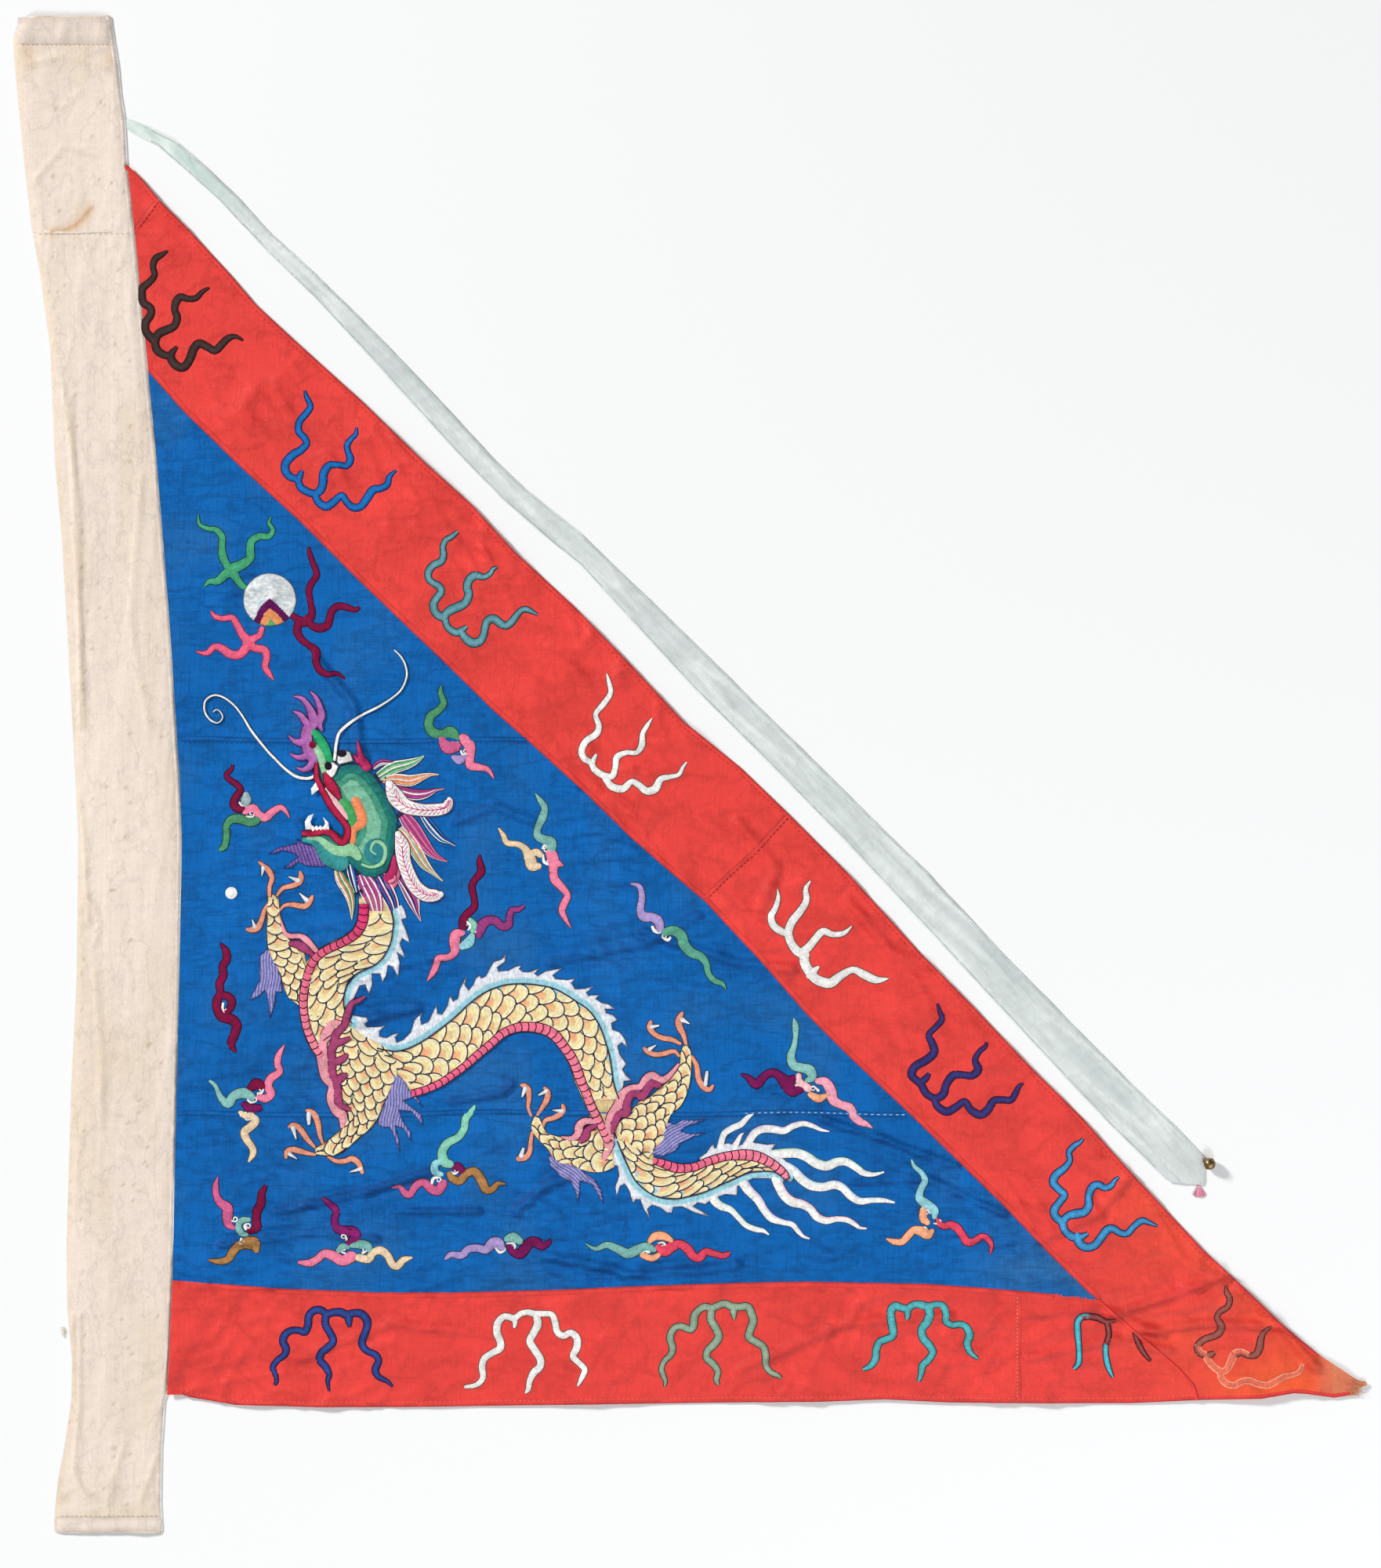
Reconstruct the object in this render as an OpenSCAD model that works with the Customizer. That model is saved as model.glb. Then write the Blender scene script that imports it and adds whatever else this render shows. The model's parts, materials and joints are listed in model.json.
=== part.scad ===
// Triangular embroidered dragon banner, lying flat: a cotton pole sleeve, a blue silk field with a
// red border, satin-stitch embroidery, and a silk streamer that ends in a bell and a tassel.
// X runs from the sleeve to the tip, Y runs up along the sleeve, and Z is up. The banner lies on Z = 0.

/* [Cloth] */
// Thickness of one layer of silk or cotton, with its folds, as it lies
cloth_t = 1.0; // [0.6:0.1:1.4]
// Thickness of the embroidery on top of the silk
stitch_t = 0.6; // [0.3:0.1:0.9]
// Thickness of the streamer's thin silk
streamer_t = 0.8; // [0.5:0.1:1.0]

/* [Sleeve] */
// Height of the flattened sleeve from its underside to its top
sleeve_h = 7.2; // [6.8:0.1:8.0]
// Width of the folded edge and of the sewn edge of the sleeve
edge_w = 2.5; // [1.5:0.5:3.5]
// Height in Y of the cross seam in the sleeve's front
cross_seam_y = 692; // [640:1:720]
// Depth of the hem round the sleeve's mouth
hem_depth = 18; // [10:1:30]

/* [Field] */
// Y of the upper seam between two widths of blue silk
upper_seam_y = 44; // [20:1:70]
// Y of the lower seam between two widths of blue silk
lower_seam_y = -432; // [-450:1:-410]
// X of the seam in the border along the foot
foot_seam_x = 419; // [380:1:430]
// X of the line along which the field folds over, at fold_y
fold_x = -644; // [-646:1:-640]
// Y at which fold_x is measured
fold_y = -80; // [-100:1:-60]
// Sideways lean of the fold line, in millimetres for each millimetre up
fold_lean = -0.0325; // [-0.035:0.0005:-0.03]

/* [Bell and tassel] */
// Outer radius of the bell
bell_r = 7.5; // [6.5:0.1:8.0]
// Thickness of the bell's brass
bell_t = 0.8; // [0.6:0.1:1.0]
// Width of the slot in the bell
bell_slot = 1.6; // [1.0:0.1:2.4]
// Radius of the pellet inside the bell
pellet_r = 2.0; // [1.5:0.1:2.5]
// Height of the tassel as it lies
tassel_h = 3.0; // [2:0.1:4]

/* [Hidden] */

stitch_z = cloth_t;
far = 1000;
// Gap between two pieces that fold against each other
fold_gap = 0.3;

// Edges of the sleeve and of the field, each as a list of corners
sleeve_left = [[-811,-966],[-811,-940],[-807,-900],[-799,-860],[-790,-800],[-789,-750],[-795,-680],
    [-796,-600],[-790,-400],[-783,-260],[-781,-80],[-785,0],[-795,180],[-802,300],[-811,400],
    [-817,545],[-830,640],[-840,693],[-850,780],[-858,860],[-863,915],[-864,937],[-860,950],
    [-853,959],[-843,968]];
hoist_seam = [[-668,-791],[-665,-740],[-661,-645],[-658,-500],[-653,-300],[-649,-80],[-652,0],
    [-665,200],[-681,400],[-692,515],[-706,660],[-716,755],[-719,778]];
sleeve_right = concat([[-674,-965],[-676,-930],[-675,-860],[-671,-800]], hoist_seam,
    [[-722,838],[-727,870],[-730,905],[-735,935],[-740,968]]);
sleeve_mouth = [[-811,-966],[-760,-967],[-715,-968],[-674,-965]];
fly_edge = [[-719,778],[-700,760],[-679,734],[-641,696],[-589,640],[-555,600],[-503,552],
    [-421,478],[-341,400],[-281,346],[-224,284],[-150,216],[-77,141],[-9,68],[64,9],[123,-48],
    [200,-125],[291,-225],[359,-294],[431,-370],[499,-437],[557,-502],[612,-561],[654,-606],
    [705,-653],[757,-703],[802,-740],[849,-771],[864,-779]];
tip_edge = [[855,-781],[850,-785],[853,-788],[841,-792],[821,-795],[786,-790],[770,-789],
    [728,-796]];
lap_edge = [[647,-798],[641,-779],[621,-757],[586,-727],[550,-697],[520,-670]];
foot_edge = [[560,-802],[431,-802],[330,-801],[247,-797],[170,-800],[52,-801],[-87,-803],
    [-239,-805],[-364,-807],[-475,-807],[-581,-804],[-640,-794],[-648,-791]];
fly_seam = [[-692,515],[-647,464],[-573,392],[-500,325],[-421,246],[-300,130],[-249,80],[-200,37],
    [-129,-28],[-76,-80],[-21,-128],[17,-160],[89,-237],[150,-307],[200,-357],[269,-422],
    [350,-501],[400,-550],[460,-613],[508,-660],[520,-670]];
foot_seam = [[463,-663],[399,-657],[299,-650],[150,-647],[50,-649],[-66,-653],[-176,-658],
    [-300,-661],[-401,-661],[-520,-656],[-600,-650]];
streamer_top = [[-711,834.5],[-700,830],[-657,808],[-621,777],[-581,740],[-541,696],[-481,641],
    [-421,582],[-361,520],[-301,456],[-249,400],[-213,366],[-141,308],[0,172],[100,73],[200,-25],
    [300,-123],[400,-230],[500,-332],[560,-392],[625,-455],[657,-489]];
streamer_end = [[657,-503],[653,-524],[610,-519]];
streamer_bottom = [[592,-502],[537,-448],[484,-392],[400,-302],[300,-194],[200,-87],[100,15],
    [0,115],[-141,268],[-181,300],[-241,352],[-301,414],[-361,480],[-421,546],[-481,610],
    [-541,668],[-601,732],[-641,768],[-681,803],[-706,815],[-714,820],
    [-718,826],[-717,832]];
// The short seam at the top of the border, and the long one half way down it
top_seam = [[-679,734],[-707,697]];
middle_seam = [[125,-50],[17,-160]];
// Middle of the line across the streamer along which it folds
streamer_fold = [-100,246];

// Lines of embroidery. Each is a list of [x, y, width].
black_hoist = [[[-667,668,1],[-675,663,5],[-683,658,7],[-686,648,6],[-684,637,6],[-691,628,7],
    [-699,621,8],[-700,612,8],[-698,602,8],[-689,595,8],[-689,586,8],[-695,577,8],[-695,566,8],
    [-689,558,9],[-683,552,8]]];
black_scroll = [[[-614,621,1],[-623,616,4],[-631,608,6],[-641,607,6],[-651,609,8],[-657,602,8],
    [-658,592,7],[-655,583,8],[-659,572,8],[-669,567,9],[-679,562,9],[-683,552,8],[-681,542,9],
    [-673,536,8],[-664,534,7]],
    [[-571,554,1],[-581,559,4],[-591,556,7],[-599,548,8],[-607,541,8],[-617,546,8],[-627,550,9],
    [-634,543,9],[-638,532,9],[-645,521,9],[-653,520,9],[-661,527,9],[-663,536,8],[-655,546,2]]];
blue_scroll = [[[-492,490,1],[-490,482,4],[-485,470,6],[-491,460,7],[-499,450,7],[-500,438,7],
    [-493,430,7],[-490,422,7],[-497,414,8],[-507,408,9],[-516,398,9],[-517,388,9],[-511,380,8],
    [-502,376,7],[-497,366,8],[-487,360,8],[-479,358,8]],
    [[-495,388,2],[-498,382,6],[-501,374,6]],
    [[-479,358,8],[-472,363,9],[-469,372,9],[-468,384,9],[-461,394,8],[-449,395,6],[-439,394,7],
    [-434,402,8],[-437,412,6],[-438,420,6],[-433,428,5],[-427,434,4],[-426,443,1]],
    [[-479,358,8],[-475,348,8],[-465,342,9],[-455,348,8],[-445,356,7],[-439,348,7],[-431,341,8],
    [-421,342,8],[-413,352,9],[-405,363,9],[-395,365,7],[-387,370,7],[-384,380,5],[-375,388,1]]];
teal_scroll = [[[-297,310,3],[-304,304,5],[-312,299,6],[-316,290,6],[-315,281,7],[-318,272,8],
    [-328,267,8],[-334,259,8],[-334,250,7],[-329,245,7],[-321,240,8],[-318,233,8],[-324,225,8],
    [-328,217,9],[-326,208,9],[-320,202,9],[-314,200,8],[-311,190,7],[-305,184,8],[-298,181,8],
    [-292,184,7],[-285,189,3]],
    [[-246,265,1],[-252,262,4],[-256,256,5],[-264,252,6],[-274,254,9],[-282,249,9],[-285,239,9],
    [-283,231,9],[-286,221,9],[-294,215,10],[-304,211,10],[-311,206,9],[-315,200,8]],
    [[-293,183,7],[-287,174,9],[-278,168,10],[-269,170,9],[-264,178,8],[-262,188,8],[-259,196,9],
    [-251,199,9],[-243,193,9],[-235,190,8],[-228,195,8],[-222,203,7],[-215,210,6],[-207,210,6],
    [-195,204,1]]];
white_scroll = [[[-107,129,1],[-104,118,5],[-102,104,6],[-111,90,7],[-121,77,6],[-117,63,7],
    [-120,52,8],[-133,43,8],[-139,31,8],[-136,21,8],[-127,15,7],[-122,6,8],[-111,-1,8],
    [-100,-2,8],[-96,9,7],[-94,22,8],[-82,28,6],[-69,28,6],[-62,38,8],[-61,52,6],[-55,63,5],
    [-49,72,1]],
    [[-120,26,3],[-124,18,6],[-125,12,6]],
    [[-111,-1,6],[-106,-9,8],[-99,-16,9],[-86,-18,9],[-75,-9,7],[-65,-14,8],[-56,-21,9],[-45,-18,10],
    [-38,-6,8],[-27,-3,6],[-15,0,5],[-10,9,4],[-5,16,2]]];
broad_white_scroll = [[[111,-146,1],[112,-157,5],[108,-171,7],[103,-180,8],[105,-191,9],
    [114,-199,9],[124,-203,8]],
    [[153,-136,2],[147,-146,6],[148,-160,8],[141,-173,9],[130,-187,10],[125,-201,10],
    [128,-214,10],[136,-225,11],[146,-230,12]],
    [[206,-193,1],[196,-202,6],[182,-204,7],[169,-200,9],[159,-210,9],[150,-221,10],[140,-228,10]],
    [[145,-229,12],[146,-241,12],[153,-253,12],[162,-262,12],[178,-266,12],[191,-257,10],
    [207,-249,8],[221,-255,10],[237,-262,9],[253,-260,1]],
    [[164,-245,3],[157,-251,9],[152,-256,9]]];
navy_scroll = [[[315,-292,1],[318,-302,4],[321,-312,6],[313,-322,6],[304,-332,6],[308,-342,8],
    [311,-354,9],[301,-364,9],[287,-372,9],[282,-382,9],[287,-389,8],[294,-395,8],[301,-407,8],
    [313,-413,8],[323,-407,9],[326,-396,8],[335,-384,9],[347,-383,7],[359,-384,8],[367,-376,9],
    [363,-364,6],[369,-353,5],[376,-347,4],[378,-341,1]],
    [[305,-381,3],[300,-388,7],[293,-393,6]],
    [[311,-413,6],[315,-423,8],[327,-430,9],[339,-424,8],[350,-417,7],[357,-427,8],[369,-434,9],
    [379,-428,9],[387,-416,8],[399,-415,7],[409,-415,7],[415,-406,6],[419,-398,4],[425,-394,1]]];
sky_scroll = [[[501,-464,1],[497,-469,4],[489,-474,6],[483,-482,6],[484,-493,6],[476,-503,8],
    [466,-511,9],[463,-521,9],[470,-529,8],[477,-536,8],[471,-545,8],[464,-555,9],[466,-564,9],
    [474,-571,9],[477,-581,8],[486,-589,9],[496,-590,8],[507,-585,3]],
    [[474,-572,8],[481,-563,8],[492,-560,10],[502,-558,9],[508,-550,9],[508,-539,8],[512,-527,9],
    [520,-523,8],[529,-527,7],[537,-524,6],[541,-518,4],[547,-513,1]],
    [[494,-588,8],[496,-597,10],[505,-603,9],[516,-600,9],[524,-590,9],[531,-581,9],[539,-579,8],
    [549,-585,7],[558,-585,7],[566,-576,7],[576,-569,7],[586,-572,4],[596,-576,1]]];
faded_scroll = [[[683,-652,1],[684,-660,5],[688,-669,6],[685,-679,6],[676,-685,6],[672,-693,6],
    [677,-703,8],[675,-712,8],[666,-717,7],[655,-721,7],[647,-729,7],[649,-737,7],[657,-741,7],
    [661,-748,6],[667,-755,6],[676,-761,6],[684,-759,6],[689,-750,7],[694,-740,8],[702,-737,7],
    [712,-741,6],[721,-740,7],[726,-731,8],[728,-719,7],[733,-710,5],[741,-704,1]],
    [[669,-737,3],[664,-740,7],[658,-742,6]],
    [[676,-760,5],[677,-769,6],[684,-777,6],[694,-779,6],[703,-774,6],[713,-773,6],[723,-777,6],
    [736,-779,6],[747,-774,6],[757,-768,5],[770,-765,4],[777,-761,4],[781,-751,2]]];
foot_blue = [[[-531,-779,2],[-528,-773,4],[-530,-764,5],[-533,-756,6],[-527,-747,6],[-518,-740,7],
    [-516,-732,8],[-520,-723,8],[-517,-714,8],[-509,-709,7],[-500,-709,7],[-492,-711,8],
    [-488,-702,8],[-487,-691,8],[-481,-684,8],[-472,-683,8],[-464,-688,8],[-456,-686,8],
    [-446,-686,9],[-439,-689,9],[-429,-687,8],[-420,-688,9],[-413,-696,9],[-413,-706,8],
    [-417,-717,8],[-419,-727,8],[-413,-735,7],[-402,-740,7],[-398,-748,7],[-402,-759,8],
    [-398,-768,6],[-387,-774,4],[-380,-781,1]],
    [[-465,-689,8],[-466,-701,8],[-460,-712,8],[-456,-723,8],[-463,-731,8],[-471,-738,8],
    [-473,-747,8],[-466,-755,8],[-461,-765,6],[-463,-774,4],[-461,-787,1]],
    [[-436,-690,8],[-436,-696,8],[-435,-705,2]]];
foot_white = [[[-287,-781,4],[-274,-779,6],[-265,-770,7],[-266,-756,8],[-263,-745,8],[-253,-738,8],
    [-243,-732,9],[-243,-723,9],[-247,-712,9],[-246,-700,9],[-239,-692,8],[-231,-692,8],
    [-225,-694,7],[-217,-688,7],[-207,-686,7],[-199,-688,8],[-187,-688,7],[-177,-689,7],
    [-173,-698,8],[-170,-711,8],[-162,-716,8],[-153,-712,8],[-145,-719,9],[-145,-731,9],
    [-150,-742,8],[-142,-751,7],[-135,-759,7],[-139,-770,6],[-144,-780,2]],
    [[-225,-693,7],[-224,-699,6],[-225,-706,3]],
    [[-197,-689,8],[-195,-701,10],[-200,-712,9],[-205,-723,9],[-199,-734,9],[-192,-745,9],
    [-192,-755,9],[-200,-763,9],[-205,-773,7],[-207,-784,6],[-211,-789,2]]];
foot_green = [[[-33,-781,2],[-32,-774,4],[-35,-766,6],[-37,-758,6],[-33,-748,6],[-25,-740,7],
    [-23,-731,8],[-26,-720,8],[-24,-711,8],[-17,-704,7],[-9,-705,8],[0,-708,8],[4,-702,9],
    [5,-691,9],[11,-683,8],[19,-679,8],[27,-681,8],[34,-678,8],[44,-675,8],[53,-679,9],
    [63,-679,8],[73,-679,9],[78,-688,9],[80,-698,9],[76,-709,9],[75,-718,9],[84,-724,8],
    [93,-730,8],[96,-742,8],[96,-753,7],[102,-762,6],[112,-767,5],[116,-771,1]],
    [[27,-682,8],[26,-695,9],[32,-706,9],[36,-717,9],[30,-727,9],[22,-735,8],[21,-745,8],
    [29,-752,8],[35,-762,7],[33,-772,6],[36,-779,2]],
    [[55,-680,8],[55,-687,7],[56,-695,2]]];
foot_teal = [[[220,-759,3],[230,-754,7],[236,-745,8],[237,-734,8],[241,-724,8],[250,-720,8],
    [258,-716,8],[258,-706,9],[256,-695,9],[256,-684,9],[261,-678,9],[269,-680,8],[277,-681,8],
    [286,-676,8],[296,-677,9],[304,-679,9],[313,-676,7],[322,-678,8],[326,-687,8],[326,-697,8],
    [334,-702,7],[344,-701,7],[352,-705,8],[356,-715,9],[353,-726,8],[357,-737,6],[367,-745,2]],
    [[277,-682,8],[277,-689,6],[276,-695,3]],
    [[304,-680,9],[305,-690,10],[301,-699,10],[295,-708,9],[297,-719,9],[304,-727,9],[309,-737,8],
    [303,-747,8],[296,-754,8],[294,-765,6],[291,-774,3]]];
foot_covered = [[[489,-758,3],[495,-751,6],[496,-739,6],[495,-724,6],[494,-711,7],[494,-699,7],
    [499,-692,7],[508,-691,7],[520,-693,7],[530,-698,6],[541,-697,4]],
    [[532,-700,6],[534,-714,6],[530,-727,6],[530,-740,6],[533,-755,6],[539,-769,2]]];

// The pearl, its flames and the star
pearl_centre = [-537, 223];
pearl_r = 35;
star = [-586, -151];
star_r = 8;
green_flame = [[[-628,332,1],[-627,320,4],[-617,314,5],[-605,312,7],[-598,303,8],[-598,290,8],
    [-597,279,10],[-592,268,9],[-586,260,12]],
    [[-535,329,1],[-538,321,4],[-533,312,5],[-538,304,7],[-550,304,8],[-560,298,9],[-562,286,10],
    [-562,276,10],[-572,268,12],[-585,261,13],[-579,250,9],[-574,243,8],[-569,239,7]],
    [[-621,239,1],[-614,246,6],[-603,247,9],[-594,255,11],[-586,260,11]]];
pink_flame = [[[-612,209,1],[-607,202,5],[-597,199,6],[-585,200,7],[-578,190,8],[-572,179,9],
    [-564,170,12]],
    [[-547,186,6],[-550,178,7],[-557,174,8],[-566,169,11]],
    [[-631,157,1],[-617,155,6],[-608,163,7],[-598,161,9],[-588,154,10],[-576,153,10],[-568,161,11],
    [-563,169,11]],
    [[-564,170,11],[-557,162,9],[-544,159,9],[-541,150,8],[-543,138,7],[-538,129,6],[-532,121,1]]];
crimson_flame = [[[-487,291,1],[-486,282,5],[-481,268,6],[-477,255,7],[-483,245,7],[-487,235,7],
    [-485,220,6],[-483,206,8],[-488,197,10],[-497,195,11],[-508,203,6]],
    [[-490,199,9],[-483,190,8],[-473,187,10],[-463,191,9],[-460,202,8],[-456,211,8],[-448,215,8],
    [-437,213,7],[-428,210,5],[-422,214,2]],
    [[-499,196,9],[-502,184,9],[-497,173,8],[-487,165,7],[-478,157,10],[-478,144,8],[-473,133,8],
    [-463,128,6],[-451,129,4],[-441,122,1]]];

// The clouds: tails first, then their white curls
cloud_lines = [
    [[-318,113,2],[-319,104,6],[-315,91,8],[-323,81,9],[-332,74,10],[-334,62,11],[-327,53,12],
    [-316,52,10],[-306,54,15],[-297,47,8]],
    [[-317,44,10],[-310,35,16],[-300,36,14]], [[-302,22,6],[-295,19,12],[-288,23,6]],
    [[-290,46,12],[-282,37,14],[-281,23,10],[-281,12,11],[-268,9,8],[-258,6,6],[-251,-5,1]],
    [[-584,13,2],[-586,6,4],[-592,1,5],[-590,-5,6],[-580,-12,7],[-574,-19,7],[-579,-27,8],
    [-583,-36,9],[-579,-43,9],[-570,-45,7]],
    [[-567,-26,8],[-567,-32,13],[-567,-38,8]],
    [[-599,-95,6],[-594,-90,8],[-592,-76,8],[-592,-65,8],[-585,-57,10],[-573,-57,11],[-562,-61,10],
    [-553,-58,9],[-552,-52,6]],
    [[-568,-47,8],[-558,-42,9],[-552,-50,10],[-543,-55,10],[-534,-48,9],[-524,-42,7],[-517,-46,5],
    [-512,-55,1]],
    [[-245,-68,1],[-239,-77,6],[-234,-87,7],[-220,-89,7],[-211,-95,9],[-205,-107,14],[-202,-116,14],
    [-194,-117,8]], [[-203,-101,8],[-197,-99,9],[-192,-102,8]],
    [[-198,-24,1],[-191,-34,7],[-186,-43,8],[-189,-55,10],[-195,-68,8],[-195,-78,10],[-187,-83,11],
    [-178,-86,13],[-178,-95,12]],
    [[-178,-101,14],[-175,-110,14],[-175,-124,10],[-173,-134,11],[-164,-144,9],[-157,-154,8],
    [-161,-164,9],[-164,-174,8],[-159,-185,5],[-153,-195,1]], [[-176,-110,10],[-168,-114,8],[-162,-116,1]],
    [[-269,-102,1],[-269,-112,7],[-267,-124,9],[-275,-134,7],[-279,-144,8],[-276,-158,7],
    [-276,-169,8],[-285,-178,9],[-290,-187,10],[-290,-194,9]], [[-281,-185,5],[-276,-192,8],[-278,-199,6]],
    [[-212,-167,3],[-219,-172,6],[-228,-173,7],[-231,-182,8],[-232,-192,9],[-241,-193,10],
    [-250,-186,10],[-260,-187,11],[-267,-194,13],[-270,-204,9]],
    [[-336,-263,1],[-329,-253,7],[-324,-242,8],[-321,-234,8],[-309,-233,8],[-301,-226,10],
    [-301,-214,13],[-299,-204,13],[-291,-202,7]], [[-291,-219,9],[-283,-214,13],[-279,-206,8]],
    [[-600,-215,1],[-593,-225,8],[-592,-236,9],[-597,-245,9],[-596,-256,9],[-601,-267,9],
    [-600,-278,8],[-604,-288,10],[-604,-299,10],[-598,-309,11],[-586,-312,12],[-579,-320,11],
    [-582,-332,10],[-586,-344,9],[-580,-354,2]],
    [[-600,-281,8],[-590,-283,9],[-585,-290,9],[-588,-299,8],[-592,-303,6]],
    [[-76,-139,3],[-65,-143,6],[-62,-157,8],[-64,-172,9],[-60,-181,12],[-49,-182,11],[-41,-187,12],
    [-39,-196,10]],
    [[-32,-201,10],[-22,-199,12],[-12,-205,13],[-8,-217,13],[1,-227,12],[13,-232,10],[20,-241,8],
    [23,-254,7],[31,-263,7],[41,-267,5],[45,-274,1]],
    [[-614,-390,3],[-606,-397,5],[-600,-411,7],[-590,-420,11],[-583,-410,11],[-570,-406,13],
    [-560,-411,10]],
    [[-562,-400,7],[-554,-395,14],[-546,-397,9]], [[-570,-420,6],[-561,-426,11],[-550,-425,8]],
    [[-518,-345,1],[-525,-357,7],[-527,-369,8],[-524,-379,8],[-535,-387,10],[-539,-397,10],
    [-535,-407,10],[-542,-413,10],[-550,-411,8]],
    [[-574,-432,7],[-567,-435,8],[-559,-435,9],[-555,-442,10],[-561,-449,10],[-569,-456,10],
    [-566,-466,9],[-560,-474,8],[-558,-483,8],[-564,-494,2]],
    [[-275,-422,2],[-279,-429,7],[-287,-439,9],[-289,-452,9],[-297,-463,9],[-310,-470,10],
    [-317,-482,11],[-314,-494,12],[-307,-497,10]], [[-319,-494,7],[-326,-497,9],[-326,-507,9],[-318,-510,6]],
    [[-381,-527,2],[-371,-526,5],[-365,-533,8],[-358,-536,8],[-351,-525,9],[-341,-520,9],
    [-331,-528,11],[-322,-531,11],[-316,-522,11]],
    [[-302,-502,6],[-297,-500,10],[-291,-506,8]],
    [[-307,-510,8],[-303,-516,9],[-294,-518,10],[-287,-510,9],[-276,-506,10],[-267,-517,11],
    [-261,-529,10],[-253,-529,8],[-246,-522,6],[-236,-522,1]],
    [[-603,-513,1],[-606,-525,7],[-605,-537,8],[-600,-546,10],[-591,-553,13],[-591,-564,12],
    [-590,-573,10],[-584,-578,6]],
    [[-541,-524,3],[-547,-534,8],[-548,-547,10],[-553,-557,10],[-554,-569,10],[-553,-578,9],
    [-562,-582,8]],
    [[-564,-568,6],[-573,-569,8],[-577,-577,8],[-573,-585,8],[-567,-587,5]],
    [[-615,-619,2],[-601,-621,7],[-590,-618,9],[-584,-609,10],[-578,-602,10],[-568,-598,14],
    [-557,-598,16],[-554,-606,8]],
    [[-470,-539,1],[-461,-547,7],[-452,-556,8],[-454,-567,8],[-452,-578,9],[-441,-582,11],
    [-430,-583,12],[-427,-591,11],[-436,-597,8]],
    [[-499,-622,4],[-486,-623,9],[-476,-618,9],[-467,-611,10],[-456,-614,12],[-444,-620,13],
    [-433,-615,14]], [[-449,-607,7],[-444,-602,8],[-437,-603,5]],
    [[-431,-600,8],[-423,-599,11],[-413,-601,11],[-409,-607,7]],
    [[-424,-616,9],[-411,-618,10],[-405,-610,9],[-395,-607,10],[-386,-614,9],[-381,-624,9],
    [-374,-627,9],[-366,-619,8],[-355,-616,2]],
    [[-312,-617,4],[-305,-612,7],[-292,-613,9],[-283,-605,9],[-271,-604,9],[-261,-606,10],
    [-253,-598,13],[-245,-598,14],[-240,-604,7]],
    [[-234,-592,8],[-226,-590,12],[-218,-595,9]],
    [[-231,-602,7],[-226,-609,9],[-217,-611,12],[-210,-603,12],[-204,-596,11],[-196,-597,12],
    [-189,-601,10],[-181,-597,6],[-178,-592,1]],
    [[-134,-598,1],[-121,-605,5],[-107,-600,8],[-93,-605,10],[-80,-611,12],[-68,-606,12],
    [-56,-602,10],[-47,-606,7]],
    [[-52,-595,6],[-45,-589,10],[-34,-589,10],[-25,-594,6]], [[-61,-613,7],[-49,-617,8],[-41,-613,6]],
    [[-41,-603,8],[-34,-608,13],[-25,-603,13],[-14,-599,10],[-4,-605,11],[4,-615,10],[12,-616,10],
    [19,-609,9],[29,-611,8],[40,-614,7],[47,-612,6],[51,-609,1]],
    [[132,-311,2],[134,-321,8],[134,-334,6],[132,-347,7],[128,-360,10],[132,-371,11],[142,-374,11],
    [152,-377,13],[155,-386,11],[149,-390,6]],
    [[64,-382,1],[73,-386,6],[84,-395,11],[95,-384,9],[105,-380,9],[114,-385,11],[123,-394,17],
    [131,-403,15],[141,-401,8]], [[124,-391,9],[131,-388,9]],
    [[138,-384,7],[139,-392,9],[150,-400,10]], [[153,-408,7],[163,-413,10],[172,-410,6]],
    [[163,-391,8],[172,-392,11],[179,-403,13],[182,-415,12],[192,-421,10],[203,-425,11],
    [209,-436,11],[217,-443,9],[225,-446,6],[232,-451,1]],
    [[282,-491,2],[286,-500,5],[295,-508,6],[299,-518,8],[294,-529,8],[292,-540,10],[301,-548,12],
    [311,-556,11],[311,-564,6]], [[297,-556,9],[297,-566,10],[302,-571,7]],
    [[250,-592,2],[260,-596,7],[270,-596,8],[277,-589,9],[285,-581,9],[296,-583,13],[303,-587,11],
    [308,-582,6]],
    [[315,-567,4],[318,-573,7],[324,-576,8],[331,-574,9],[340,-578,10],[346,-586,9],
    [353,-596,10],[362,-595,8],[371,-589,7],[379,-592,7],[384,-601,5],[382,-612,1]]];
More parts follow.
